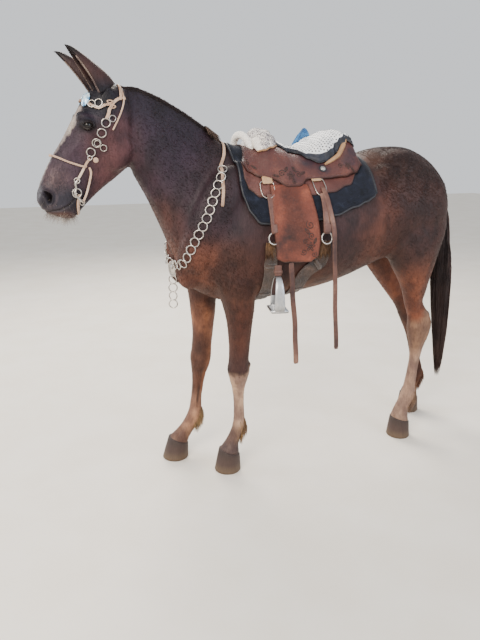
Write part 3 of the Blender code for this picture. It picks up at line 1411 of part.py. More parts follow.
def make_rigging(side, word, body, nodes, group):
    # Two billets a side end in big rings.
    for end, left, width, bottom in (("fore", 0.092, 0.026, 1.140), ("hind", 0.356, 0.032, 1.135)):
        name = "rigging_%s_%s" % (end, word)
        strap = hang(name, body, side, steps_between(1.318, bottom, 5), table(((1.0, left),)),
                     table(((1.0, left + width),)), 0.0290, LEATHER, group, columns=2)
        last = max(vert.co.z for vert in strap.data.vertices)
        outer = max(abs(vert.co.y) for vert in strap.data.vertices if vert.co.z < last)
        centre = Vector((left + width / 2, side * (outer - LEATHER / 2), bottom - 0.018))
        loop = ring(name + " ring", centre, Vector((0, side, 0)), 0.025, 0.0042, group, around=12,
                    sides=4)
        nodes[name] = thinned(union(name, [strap, loop]), 0.9)


def make_stirrup(side, word, nodes, group):
    # The leather's end, and below it an open bell-shaped stirrup with a flat tread.
    x, top = 0.146, 1.002
    y = side * 0.322
    strap = box("stirrup_strap", [(x - 0.016, y - 0.004, 0.952), (x + 0.016, y - 0.004, 0.952),
                                  (x + 0.016, y + 0.004, 0.952), (x - 0.016, y + 0.004, 0.952),
                                  (x - 0.016, y - 0.004, top - 0.004), (x + 0.016, y - 0.004, top - 0.004),
                                  (x + 0.016, y + 0.004, top - 0.004), (x - 0.016, y + 0.004, top - 0.004)])
    nodes["stirrup_strap_" + word] = strap
    pieces = []
    height, half_low, depth = 0.140, 0.050, 0.028
    base = 0.952 - 0.0008
    rings = []
    for step in range(9):
        angle = math.pi * (step / 8)
        spread = half_low * math.cos(angle)
        rise = base - height * (1 - math.sin(angle) ** 0.55)
        deep = depth * (1.0 - 0.45 * math.sin(angle))
        rings.append((Vector((0, spread, rise)), deep))
    frame = []
    for index, (point, deep) in enumerate(rings):
        ahead = rings[min(index + 1, 8)][0]
        behind = rings[max(index - 1, 0)][0]
        along = (ahead - behind).normalized()
        out = Vector((0, along.z, -along.y))
        if out.dot(point - Vector((0, 0, base - height * 0.6))) < 0:
            out = -out
        inner, outer = point - out * 0.006, point
        frame.append([Vector((x - deep, y + inner.y, inner.z)), Vector((x + deep, y + inner.y, inner.z)),
                      Vector((x + deep, y + outer.y, outer.z)), Vector((x - deep, y + outer.y, outer.z))])
    bow = add_object("stirrup bow", loft_mesh("bow", frame), group)
    edit(bow, lambda mesh: (outward(mesh), triangulate(mesh)))
    low = base - height
    tread = box("tread", [(x - 0.038, y - half_low, low - 0.008), (x + 0.038, y - half_low, low - 0.008),
                          (x + 0.038, y + half_low, low - 0.008), (x - 0.038, y + half_low, low - 0.008),
                          (x - 0.034, y - half_low, low + 0.006), (x + 0.034, y - half_low, low + 0.006),
                          (x + 0.034, y + half_low, low + 0.006), (x - 0.034, y + half_low, low + 0.006)])
    whole = union("stirrup_" + word, [bow, tread])
    turn = side * STIRRUP_TURN
    for vert in whole.data.vertices:
        dx, dy = vert.co.x - x, vert.co.y - y
        vert.co.x = x + dx * math.cos(turn) - dy * math.sin(turn)
        vert.co.y = y + dx * math.sin(turn) + dy * math.cos(turn)
    nodes["stirrup_" + word] = whole


def make_cinches(nodes, group):
    # Two girths pass under the belly from ring to ring.
    body = surface_of(nodes, ("torso",))
    for name, top_x, low_x, width in (("cinch_fore", 0.121, 0.150, 0.055),
                                      ("cinch_hind", 0.367, 0.300, 0.065)):
        half = [((top_x, -0.6, 1.085), (top_x, 0, 1.085)), ((top_x, -0.6, 1.000), (top_x, 0, 1.000)),
                ((low_x, -0.5, 0.860), (low_x, 0, 1.000)), ((low_x, -0.2, 0.60), (low_x, 0, 1.0)),
                ((low_x, 0.0, 0.50), (low_x, 0, 1.0))]
        route = half + [((a[0], -a[1], a[2]), (b[0], -b[1], b[2])) for a, b in half[-2::-1]]
        nodes[name] = band(name, lay(body, route, 19), width, 0.010, BODY_LIFT, group)


def make_latigos(nodes, parts):
    # Spare strap ends hang past the belly.
    group = bpy.context.scene.collection
    body = surface_of(nodes, ("torso",))
    for side, word in ((-1, "near"), (1, "far")):
        runs = {"latigo_fore_": ((1.0, 0.215), (0.55, 0.245), 0.012),
                "latigo_hind_": ((1.312, 0.398), (0.60, 0.432), 0.011)}
        for name, (first, last, half) in runs.items():
            top, low = first[0], last[0]
            left = table(((low, last[1] - half), (top, first[1] - half)))
            right = table(((low, last[1] + half), (top, first[1] + half)))
            lift = 0.040 if "fore" in name else 0.033
            nodes[name + word] = hang(name + word, body, side, steps_between(top, low, 8), left, right,
                                      lift, 0.004, group, columns=2)


def settle(parts):
    # Moves the whole mule so that the middle of its box stands on the origin.
    low = Vector((1e9, 1e9, 1e9))
    high = -low
    for item in parts.objects:
        for vert in item.data.vertices:
            for axis in range(3):
                low[axis] = min(low[axis], vert.co[axis])
                high[axis] = max(high[axis], vert.co[axis])
    shift = Vector(((low.x + high.x) / 2, (low.y + high.y) / 2, low.z))
    for item in parts.objects:
        for vert in item.data.vertices:
            vert.co -= shift
        item.data.update()
    print("box", [round(value, 4) for value in high - low], "shift", [round(v, 5) for v in shift])


def main():
    clear_scene()
    parts = collection("mule")
    nodes = make_flesh(parts)
    for key in LEGS:
        make_hoof(key, nodes, parts)
    for side in (-1, 1):
        make_nostril(side, nodes)
        make_eye(side, nodes, parts)
    make_mouth(nodes)
    make_ear(-1, (-0.640, -0.062, 1.866), nodes, parts)
    make_ear(1, (-0.668, 0.062, 1.858), nodes, parts)
    make_mane(nodes)
    for key in LEGS:
        make_tufts(key, nodes)
    make_tail(nodes, parts)
    make_bridle(nodes, parts)
    make_breast_collar(nodes, parts)
    make_latigos(nodes, parts)
    make_saddle(nodes, parts)
    settle(parts)
    for item in parts.objects:
        print("node", item.name, len(item.data.polygons))
    print("total", sum(len(item.data.polygons) for item in parts.objects))


main()
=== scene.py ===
# Looks for a life-size riding mule in its bridle, breast collar and saddle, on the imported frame.
# The mule faces -X and its near (left) side is towards -Y. Lengths are metres.
import math

import bmesh
import bpy
import numpy as np
from mathutils import Matrix, Vector, noise
from mathutils.bvhtree import BVHTree


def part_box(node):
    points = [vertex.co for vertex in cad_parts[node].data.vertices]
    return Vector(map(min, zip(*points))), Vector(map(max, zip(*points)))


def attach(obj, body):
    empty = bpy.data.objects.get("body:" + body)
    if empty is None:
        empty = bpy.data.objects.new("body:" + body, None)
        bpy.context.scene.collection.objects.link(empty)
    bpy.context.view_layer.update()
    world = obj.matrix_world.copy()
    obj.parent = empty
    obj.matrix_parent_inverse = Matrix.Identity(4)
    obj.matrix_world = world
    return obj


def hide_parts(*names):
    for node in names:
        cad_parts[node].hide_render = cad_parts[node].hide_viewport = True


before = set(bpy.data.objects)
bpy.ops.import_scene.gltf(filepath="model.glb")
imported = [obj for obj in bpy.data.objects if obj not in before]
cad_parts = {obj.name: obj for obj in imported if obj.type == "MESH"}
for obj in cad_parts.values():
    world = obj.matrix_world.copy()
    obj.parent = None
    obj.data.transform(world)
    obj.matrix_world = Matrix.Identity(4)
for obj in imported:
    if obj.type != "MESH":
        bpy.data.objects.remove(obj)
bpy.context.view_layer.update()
toeOfHoof = -0.066
# Pieces are worked out with the near fore hoof under x = 0, then moved by this much.
shift = Vector((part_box("hoof_fore_near")[0].x - toeOfHoof, 0.0, 0.0))
nearAndFar = ((-1, "near"), (1, "far"))
print("stage: frame loaded, shift", round(shift.x, 4))

camera = {"place": (-0.8985, -2.5461, 1.470), "turn": (80.0, 0.0, -21.449), "lens": 33.75,
          "shiftUp": -0.1003}
view = bpy.data.cameras.new("photoView")
view.lens = camera["lens"]
view.sensor_width = 36.0
view.shift_y = camera["shiftUp"]
view.clip_start = 0.05
view.clip_end = 60.0
viewObject = bpy.data.objects.new("photoView", view)
bpy.context.scene.collection.objects.link(viewObject)
viewObject.location = Vector(camera["place"]) + shift
viewObject.rotation_euler = [math.radians(angle) for angle in camera["turn"]]
bpy.context.scene.camera = viewObject


def linear(code):
    # A six-digit sRGB colour becomes linear values.
    values = [int(code[start:start + 2], 16) / 255 for start in (0, 2, 4)]
    return [v / 12.92 if v <= 0.04045 else ((v + 0.055) / 1.055) ** 2.4 for v in values]


def colour(code):
    return (*linear(code), 1.0)


def add(tree, kind, inputs=None, **settings):
    # Adds one node; an input may be a value or another node's output.
    made = tree.nodes.new(kind)
    for key, value in settings.items():
        setattr(made, key, value)
    for key, value in (inputs or {}).items():
        if isinstance(value, bpy.types.NodeSocket):
            tree.links.new(value, made.inputs[key])
        else:
            made.inputs[key].default_value = value
    return made


def ramp(tree, source, stops):
    # A colour ramp over a value: stops are (position, sRGB code) or (position, grey).
    made = add(tree, "ShaderNodeValToRGB", {0: source})
    made.color_ramp.interpolation = "EASE"
    points = made.color_ramp.elements
    while len(points) < len(stops):
        points.new(0.5)
    for point, (position, tone) in zip(points, stops):
        point.position = position
        point.color = colour(tone) if isinstance(tone, str) else (tone, tone, tone, 1.0)
    return made.outputs["Color"]


def blend(tree, share, first, second, way="MIX"):
    made = add(tree, "ShaderNodeMix", data_type="RGBA", blend_type=way)
    for index, value in ((0, share), (6, first), (7, second)):
        if isinstance(value, bpy.types.NodeSocket):
            tree.links.new(value, made.inputs[index])
        else:
            made.inputs[index].default_value = value
    return made.outputs[2]


def maths(tree, operation, first, second=0.0):
    return add(tree, "ShaderNodeMath", {0: first, 1: second}, operation=operation).outputs[0]


def objectPlace(tree, scale=(1.0, 1.0, 1.0)):
    # Object coordinates, stretched for a pattern.
    place = add(tree, "ShaderNodeTexCoord").outputs["Object"]
    return add(tree, "ShaderNodeMapping", {"Vector": place, "Scale": scale}).outputs[0]


def speckle(tree, place, scale, detail=4.0, rough=0.55):
    return add(tree, "ShaderNodeTexNoise", {"Vector": place, "Scale": scale, "Detail": detail,
                                            "Roughness": rough}).outputs["Fac"]


def startMaterial(name, fixed):
    # A material with its shader's fixed values; returns the node tree and the shader.
    made = bpy.data.materials.new(name)
    made.use_nodes = True
    shader = made.node_tree.nodes["Principled BSDF"]
    for key, value in fixed.items():
        shader.inputs[key].default_value = value
    return made, made.node_tree, shader


def bump(tree, shader, height, depth, strength=1.0):
    made = add(tree, "ShaderNodeBump", {"Height": height, "Distance": depth, "Strength": strength})
    tree.links.new(made.outputs[0], shader.inputs["Normal"])
    return made


def makeMesh(name, points, faces):
    # Builds a mesh fast from equal-sided faces, moved to the frame's place.
    points = np.asarray(points, dtype=float).reshape(-1, 3) + np.array(shift)
    faces = np.asarray(faces, dtype=np.int64)
    mesh = bpy.data.meshes.new(name)
    mesh.vertices.add(len(points))
    mesh.vertices.foreach_set("co", points.ravel())
    mesh.loops.add(faces.size)
    mesh.loops.foreach_set("vertex_index", faces.ravel().astype(np.int32))
    mesh.polygons.add(len(faces))
    mesh.polygons.foreach_set("loop_start", np.arange(0, faces.size, faces.shape[1], dtype=np.int32))
    mesh.update(calc_edges=True)
    mesh.validate()
    return mesh


def addPiece(name, mesh, material, smooth=True, outward=True):
    if outward:
        shaping = bmesh.new()
        shaping.from_mesh(mesh)
        bmesh.ops.recalc_face_normals(shaping, faces=shaping.faces[:])
        shaping.to_mesh(mesh)
        shaping.free()
    mesh.materials.clear()
    mesh.materials.append(material)
    if smooth:
        mesh.shade_smooth()
    piece = bpy.data.objects.new(name, mesh)
    bpy.context.scene.collection.objects.link(piece)
    return piece


def dress(piece, slot, *replaced):
    # Every piece rides on the one body, and takes the place of the solids it stands for.
    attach(piece, "root")
    if replaced:
        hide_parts(*replaced)
    return piece


def finished(piece):
    # Live modifiers become plain mesh.
    graph = bpy.context.evaluated_depsgraph_get()
    mesh = bpy.data.meshes.new_from_object(piece.evaluated_get(graph))
    piece.modifiers.clear()
    piece.data = mesh
    return piece


# Floor and soft studio light
studio = {"floor": "e4ddd2", "world": "eef1f5", "worldStrength": 1.05,
          "lights": (((-3.2, -3.4, 3.6), 3.0, 330.0, "fff4e6"), ((2.6, -4.2, 2.6), 3.2, 110.0, "eaf1ff"),
                     ((0.6, 3.4, 3.9), 2.8, 300.0, "fff6ea"), ((-3.6, 2.2, 2.2), 2.0, 90.0, "ffffff"))}
floorMaterial, tree, shader = startMaterial("studioFloorPaint", {"Roughness": 0.85})
# Matt rolled paint: even and pale, with a hardly visible mottle.
mottle = speckle(tree, objectPlace(tree), 3.0)
tree.links.new(ramp(tree, mottle, ((0.3, "e2dbcf"), (0.7, "e7e1d7"))), shader.inputs["Base Color"])
floorMesh = bpy.data.meshes.new("floor")
floorMesh.from_pydata([(-14, -14, 0), (14, -14, 0), (14, 14, 0), (-14, 14, 0)], [], [(0, 1, 2, 3)])
floor = addPiece("floor", floorMesh, floorMaterial, smooth=False)
for index, (place, size, power, tint) in enumerate(studio["lights"]):
    lamp = bpy.data.lights.new("softBox%d" % index, "AREA")
    lamp.shape = "DISK"
    lamp.size = size
    lamp.energy = power
    lamp.color = linear(tint)
    lampObject = bpy.data.objects.new("softBox%d" % index, lamp)
    bpy.context.scene.collection.objects.link(lampObject)
    lampObject.location = Vector(place)
    aim = Vector((0.0, 0.0, 0.95)) - lampObject.location
    lampObject.rotation_euler = aim.to_track_quat("-Z", "Y").to_euler()
world = bpy.data.worlds.new("paleStudio")
world.use_nodes = True
world.node_tree.nodes["Background"].inputs["Color"].default_value = colour(studio["world"])
world.node_tree.nodes["Background"].inputs["Strength"].default_value = studio["worldStrength"]
bpy.context.scene.world = world
print("stage: camera, floor and light")

# Sections of the flesh: upper or fore point (x, z), lower or hind point (x, z), y, half width, egg.
torsoRows = (
    (-0.218, 1.10, -0.212, 0.99, 0.0, 0.050, 0.0),
    (-0.192, 1.24, -0.182, 0.905, 0.0, 0.125, 0.0),
    (-0.130, 1.37, -0.125, 0.850, 0.0, 0.170, 0.05),
    (-0.050, 1.45, -0.045, 0.805, 0.0, 0.198, 0.15),
    (0.040, 1.472, 0.040, 0.785, 0.0, 0.218, 0.25),
    (0.130, 1.458, 0.130, 0.787, 0.0, 0.240, 0.22),
    (0.240, 1.418, 0.240, 0.797, 0.0, 0.268, 0.15),
    (0.360, 1.390, 0.360, 0.812, 0.0, 0.288, 0.08),
    (0.480, 1.384, 0.480, 0.832, 0.0, 0.294, 0.04),
    (0.590, 1.405, 0.590, 0.862, 0.0, 0.286, 0.06),
    (0.690, 1.447, 0.690, 0.895, 0.0, 0.268, 0.10),
    (0.790, 1.478, 0.790, 0.925, 0.0, 0.250, 0.12),
    (0.880, 1.489, 0.890, 0.960, 0.0, 0.250, 0.10),
    (0.970, 1.482, 0.980, 0.985, 0.0, 0.240, 0.10),
    (1.055, 1.445, 1.060, 1.010, 0.0, 0.215, 0.10),
    (1.125, 1.392, 1.120, 1.050, 0.0, 0.170, 0.10),
    (1.178, 1.335, 1.165, 1.120, 0.0, 0.100, 0.0),
    (1.190, 1.290, 1.182, 1.190, 0.0, 0.040, 0.0),
)
neckRows = (
    (-0.440, 1.715, -0.385, 1.440, 0.0, 0.060, 0.30),
    (-0.386, 1.724, -0.385, 1.380, 0.0, 0.068, 0.40),
    (-0.320, 1.704, -0.362, 1.330, 0.0, 0.074, 0.45),
    (-0.250, 1.672, -0.332, 1.275, 0.0, 0.083, 0.45),
    (-0.174, 1.630, -0.302, 1.212, 0.0, 0.094, 0.45),
    (-0.100, 1.583, -0.272, 1.145, 0.0, 0.108, 0.42),
    (-0.030, 1.533, -0.242, 1.075, 0.0, 0.126, 0.40),
    (0.040, 1.482, -0.212, 1.000, 0.0, 0.146, 0.35),
    (0.120, 1.440, -0.150, 0.940, 0.0, 0.150, 0.20),
)
headRows = (
    (-0.425, 1.728, -0.372, 1.560, 0.0, 0.060, 0.0),
    (-0.480, 1.735, -0.372, 1.492, 0.0, 0.082, -0.05),
    (-0.530, 1.722, -0.380, 1.442, 0.0, 0.090, -0.10),
    (-0.568, 1.686, -0.404, 1.402, 0.0, 0.092, -0.12),
    (-0.602, 1.634, -0.428, 1.380, 0.0, 0.088, -0.12),
    (-0.636, 1.574, -0.462, 1.352, 0.0, 0.074, -0.05),
    (-0.668, 1.515, -0.502, 1.322, 0.0, 0.062, 0.02),
    (-0.702, 1.460, -0.544, 1.286, 0.0, 0.053, 0.05),
    (-0.736, 1.400, -0.588, 1.243, 0.0, 0.048, 0.05),
    (-0.760, 1.345, -0.622, 1.206, 0.0, 0.050, 0.0),
    (-0.775, 1.300, -0.655, 1.192, 0.0, 0.055, -0.05),
    (-0.777, 1.268, -0.700, 1.202, 0.0, 0.050, -0.05),
    (-0.765, 1.246, -0.736, 1.216, 0.0, 0.030, 0.0),
)
legRows = {
    "fore_near": (
        (-0.100, 1.06, 0.130, 1.04, -0.130, 0.070, 0.0),
        (-0.075, 0.93, 0.125, 0.91, -0.138, 0.078, 0.0),
        (-0.048, 0.84, 0.117, 0.83, -0.138, 0.074, 0.0),
        (-0.027, 0.78, 0.111, 0.775, -0.136, 0.066, 0.0),
        (-0.009, 0.70, 0.105, 0.70, -0.132, 0.056, 0.0),
        (0.000, 0.60, 0.098, 0.60, -0.127, 0.047, 0.0),
        (0.000, 0.53, 0.094, 0.53, -0.122, 0.045, 0.0),
        (-0.002, 0.485, 0.100, 0.49, -0.120, 0.048, 0.0),
        (0.005, 0.445, 0.092, 0.45, -0.118, 0.046, 0.0),
        (0.017, 0.400, 0.080, 0.41, -0.116, 0.036, 0.0),
        (0.024, 0.350, 0.074, 0.36, -0.115, 0.029, 0.0),
        (0.027, 0.280, 0.077, 0.28, -0.113, 0.028, 0.0),
        (0.027, 0.235, 0.081, 0.235, -0.110, 0.032, 0.0),
        (0.022, 0.200, 0.080, 0.200, -0.108, 0.036, 0.0),
        (0.006, 0.165, 0.062, 0.160, -0.107, 0.033, 0.0),
        (-0.016, 0.130, 0.050, 0.120, -0.106, 0.036, 0.0),
        (-0.038, 0.100, 0.053, 0.070, -0.105, 0.047, 0.0),
        (-0.040, 0.070, 0.050, 0.045, -0.105, 0.044, 0.0),
    ),
    "fore_far": (
        (-0.135, 1.06, 0.090, 1.04, 0.130, 0.070, 0.0),
        (-0.135, 0.93, 0.060, 0.91, 0.135, 0.076, 0.0),
        (-0.118, 0.84, 0.035, 0.83, 0.134, 0.072, 0.0),
        (-0.108, 0.78, 0.026, 0.775, 0.130, 0.064, 0.0),
        (-0.099, 0.70, 0.018, 0.69, 0.126, 0.055, 0.0),
        (-0.096, 0.61, 0.005, 0.60, 0.120, 0.047, 0.0),
        (-0.102, 0.54, -0.004, 0.54, 0.115, 0.045, 0.0),
        (-0.108, 0.485, -0.008, 0.49, 0.112, 0.048, 0.0),
        (-0.108, 0.445, -0.017, 0.45, 0.110, 0.046, 0.0),
        (-0.105, 0.400, -0.036, 0.405, 0.108, 0.036, 0.0),
        (-0.106, 0.350, -0.048, 0.355, 0.106, 0.029, 0.0),
        (-0.115, 0.280, -0.060, 0.285, 0.103, 0.028, 0.0),
        (-0.123, 0.235, -0.062, 0.235, 0.101, 0.032, 0.0),
        (-0.136, 0.200, -0.066, 0.185, 0.100, 0.036, 0.0),
        (-0.163, 0.160, -0.098, 0.135, 0.099, 0.033, 0.0),
        (-0.193, 0.128, -0.126, 0.095, 0.099, 0.036, 0.0),
        (-0.224, 0.098, -0.138, 0.065, 0.099, 0.047, 0.0),
        (-0.230, 0.068, -0.145, 0.045, 0.099, 0.044, 0.0),
    ),
    "hind_near": (
        (0.800, 1.20, 1.135, 1.25, -0.125, 0.085, 0.0),
        (0.800, 1.09, 1.135, 1.11, -0.145, 0.100, 0.0),
        (0.810, 0.98, 1.100, 1.01, -0.152, 0.098, 0.0),
        (0.850, 0.90, 1.075, 0.93, -0.150, 0.086, 0.0),
        (0.893, 0.83, 1.055, 0.86, -0.146, 0.072, 0.0),
        (0.922, 0.77, 1.040, 0.79, -0.140, 0.059, 0.0),
        (0.945, 0.70, 1.036, 0.715, -0.133, 0.049, 0.0),
        (0.965, 0.645, 1.080, 0.655, -0.128, 0.045, 0.0),
        (0.970, 0.585, 1.103, 0.600, -0.124, 0.048, 0.0),
        (0.980, 0.530, 1.092, 0.540, -0.121, 0.046, 0.0),
        (0.996, 0.470, 1.064, 0.475, -0.118, 0.037, 0.0),
        (0.999, 0.400, 1.048, 0.400, -0.115, 0.030, 0.0),
        (0.985, 0.310, 1.040, 0.310, -0.111, 0.029, 0.0),
        (0.973, 0.245, 1.036, 0.250, -0.109, 0.034, 0.0),
        (0.958, 0.205, 1.038, 0.200, -0.108, 0.038, 0.0),
        (0.936, 0.165, 1.012, 0.155, -0.106, 0.034, 0.0),
        (0.918, 0.130, 1.000, 0.115, -0.105, 0.037, 0.0),
        (0.910, 0.100, 1.003, 0.070, -0.105, 0.047, 0.0),
        (0.910, 0.070, 0.998, 0.045, -0.105, 0.044, 0.0),
    ),
    "hind_far": (
        (0.810, 1.20, 1.140, 1.25, 0.125, 0.085, 0.0),
        (0.815, 1.09, 1.145, 1.11, 0.145, 0.100, 0.0),
        (0.835, 0.97, 1.135, 1.01, 0.152, 0.098, 0.0),
        (0.885, 0.88, 1.125, 0.93, 0.152, 0.086, 0.0),
        (0.938, 0.81, 1.118, 0.86, 0.150, 0.072, 0.0),
        (0.985, 0.75, 1.120, 0.79, 0.148, 0.059, 0.0),
        (1.033, 0.69, 1.132, 0.72, 0.146, 0.049, 0.0),
        (1.075, 0.635, 1.195, 0.655, 0.145, 0.045, 0.0),
        (1.105, 0.585, 1.238, 0.600, 0.145, 0.048, 0.0),
        (1.130, 0.530, 1.243, 0.540, 0.145, 0.046, 0.0),
        (1.160, 0.470, 1.235, 0.475, 0.145, 0.037, 0.0),
        (1.183, 0.400, 1.238, 0.400, 0.144, 0.030, 0.0),
        (1.203, 0.310, 1.258, 0.310, 0.143, 0.029, 0.0),
        (1.212, 0.245, 1.275, 0.250, 0.142, 0.034, 0.0),
        (1.203, 0.205, 1.283, 0.200, 0.142, 0.038, 0.0),
        (1.183, 0.165, 1.259, 0.155, 0.141, 0.034, 0.0),
        (1.165, 0.130, 1.246, 0.115, 0.141, 0.037, 0.0),
        (1.153, 0.100, 1.248, 0.070, 0.140, 0.047, 0.0),
        (1.153, 0.070, 1.243, 0.045, 0.140, 0.044, 0.0),
    ),
}
# Muscles and bony points: centre (x, |y|, z), radii, lean about Y in degrees.
muscles = (
    (-0.055, 0.125, 1.200, 0.115, 0.082, 0.230, 28.0),
    (-0.128, 0.108, 1.060, 0.088, 0.080, 0.130, 15.0),
    (-0.150, 0.060, 0.975, 0.072, 0.076, 0.110, 10.0),
    (0.060, 0.150, 0.985, 0.105, 0.065, 0.140, -20.0),
    (0.765, 0.150, 1.325, 0.095, 0.080, 0.085, 0.0),
    (0.890, 0.098, 1.335, 0.175, 0.120, 0.140, 10.0),
    (0.975, 0.140, 1.160, 0.160, 0.108, 0.220, 15.0),
    (1.075, 0.105, 1.205, 0.078, 0.085, 0.150, 8.0),
)
headBones = (
    (-0.580, 0.063, 1.588, 0.044, 0.031, 0.028, 35.0),
    (-0.455, 0.048, 1.478, 0.078, 0.040, 0.105, 38.0),
    (-0.600, 0.044, 1.505, 0.080, 0.022, 0.014, -52.0),
    (-0.744, 0.034, 1.290, 0.024, 0.024, 0.036, 20.0),
    (-0.655, 0.014, 1.212, 0.034, 0.028, 0.020, 0.0),
)
skin = {"voxel": 0.0115, "fullness": 2.15, "relax": 5, "inset": 0.0012, "fineRelax": 2,
        "eye": (-0.575, 0.084, 1.566), "eyeRadius": 0.0215, "nostril": (-0.733, 0.046, 1.287),
        "mouth": ((-0.622, 1.287), (-0.652, 1.252), (-0.692, 1.234), (-0.735, 1.229), (-0.790, 1.236))}


def smoothRows(rows, steps):
    # Catmull-Rom rows between the given ones.
    rows = [np.array(row, dtype=float) for row in rows]
    out = []
    for index in range(len(rows) - 1):
        before = rows[max(index - 1, 0)]
        first, second = rows[index], rows[index + 1]
        after = rows[min(index + 2, len(rows) - 1)]
        for step in range(steps):
            t = step / steps
            out.append(0.5 * (2 * first + (second - before) * t
                              + (2 * before - 5 * first + 4 * second - after) * t * t
                              + (3 * first - before - 3 * second + after) * t ** 3))
    out.append(rows[-1])
    return out


def sectionRing(row, sides):
    full = skin["fullness"]
    ux, uz, lx, lz, y, halfWidth, egg = row
    middle = Vector(((ux + lx) / 2, y, (uz + lz) / 2))
    reach = Vector(((ux - lx) / 2, 0.0, (uz - lz) / 2))
    ring = []
    for step in range(sides):
        angle = 2 * math.pi * step / sides
        along = math.copysign(abs(math.cos(angle)) ** (2 / full), math.cos(angle))
        across = math.copysign(abs(math.sin(angle)) ** (2 / full), math.sin(angle))
        ring.append(middle + reach * along + Vector((0, halfWidth * across * (1 - egg * along), 0)))
    return ring


def evenTurns(count):
    # Even angles round a circle.
    return np.linspace(0, 2 * math.pi, count, endpoint=False)


def addRings(mesh, rings, closeEnds=True):
    # Skins equal rings into a bmesh.
    rows = [[mesh.verts.new(point) for point in ring] for ring in rings]
    sides = len(rings[0])
    for first, second in zip(rows, rows[1:]):
        for side in range(sides):
            other = (side + 1) % sides
            mesh.faces.new((first[side], first[other], second[other], second[side]))
    if closeEnds:
        mesh.faces.new(rows[0][::-1])
        mesh.faces.new(rows[-1])


def addBlob(mesh, values, side):
    x, y, z, rx, ry, rz, lean = values
    turn = math.radians(lean)
    made = bmesh.ops.create_uvsphere(mesh, u_segments=32, v_segments=16, radius=1.0)
    for vert in made["verts"]:
        px, py, pz = vert.co.x * rx, vert.co.y * ry, vert.co.z * rz
        vert.co = Vector((x + px * math.cos(turn) + pz * math.sin(turn), side * y + py,
                          z - px * math.sin(turn) + pz * math.cos(turn)))


def relaxed(mesh, rounds, chosen=None):
    # Smooths without shrinking, all over or where chosen says.
    count = len(mesh.vertices)
    places = np.empty(count * 3)
    mesh.vertices.foreach_get("co", places)
    places = places.reshape(-1, 3)
    ends = np.empty(len(mesh.edges) * 2, dtype=np.int64)
    mesh.edges.foreach_get("vertices", ends)
    ends = ends.reshape(-1, 2)
    degree = np.maximum(np.bincount(ends.ravel(), minlength=count), 1)[:, None]
    for strength in (0.52, -0.53) * rounds:
        total = np.empty_like(places)
        for axis in range(3):
            total[:, axis] = (np.bincount(ends[:, 0], places[ends[:, 1], axis], count)
                              + np.bincount(ends[:, 1], places[ends[:, 0], axis], count))
        change = strength * (total / degree - places)
        places += change if chosen is None else change * chosen[:, None]
    mesh.vertices.foreach_set("co", places.ravel())
    mesh.update()


def arrays(mesh):
    # Vertex places and normals as arrays, in the mule's own frame.
    count = len(mesh.vertices)
    places, normals = np.empty(count * 3), np.empty(count * 3)
    mesh.vertices.foreach_get("co", places)
    mesh.vertices.foreach_get("normal", normals)
    return places.reshape(-1, 3), normals.reshape(-1, 3)


def fleshForms():
    forms = bmesh.new()
    for rows, sides in ((headRows, 28), (neckRows, 28), (torsoRows, 36)):
        addRings(forms, [sectionRing(row, sides) for row in smoothRows(rows, 4)])
    for rows in legRows.values():
        addRings(forms, [sectionRing(row, 24) for row in smoothRows(rows, 4)])
    for side in (-1, 1):
        for values in muscles + headBones:
            addBlob(forms, values, side)
        addBlob(forms, (-0.487, 0.052, 1.692, 0.030, 0.026, 0.038, -40.0), side)
    mesh = bpy.data.meshes.new("fleshForms")
    forms.to_mesh(mesh)
    forms.free()
    piece = bpy.data.objects.new("fleshForms", mesh)
    bpy.context.scene.collection.objects.link(piece)
    grid = piece.modifiers.new("grid", "REMESH")
    grid.mode = "VOXEL"
    grid.voxel_size = skin["voxel"]
    finished(piece)
    relaxed(piece.data, skin["relax"])
    return piece


def refine(piece, near):
    # Halves the faces whose middle passes the test.
    shaping = bmesh.new()
    shaping.from_mesh(piece.data)
    edges = {edge for face in shaping.faces if near(face.calc_center_median()) for edge in face.edges}
    bmesh.ops.subdivide_edges(shaping, edges=list(edges), cuts=1, use_grid_fill=True)
    shaping.to_mesh(piece.data)
    shaping.free()


def isHead(p):
    return p.x < -0.40 and p.z > 1.15


def isShin(p):
    return p.z < 0.70


def isFace(p):
    # The muzzle, the mouth and round the eyes.
    if p.z < 1.15 or p.x > -0.40:
        return False
    muzzle = p.z < 1.335 and p.x < -0.585
    eye = skin["eye"]
    return muzzle or math.dist((p.x, abs(p.y), p.z), eye) < 0.048


def lineDistance(places, a, b):
    a, b = np.array(a), np.array(b)
    along = b - a
    t = np.clip(((places - a) @ along) / (along @ along), 0, 1)
    return np.linalg.norm(places - a - t[:, None] * along, axis=1)


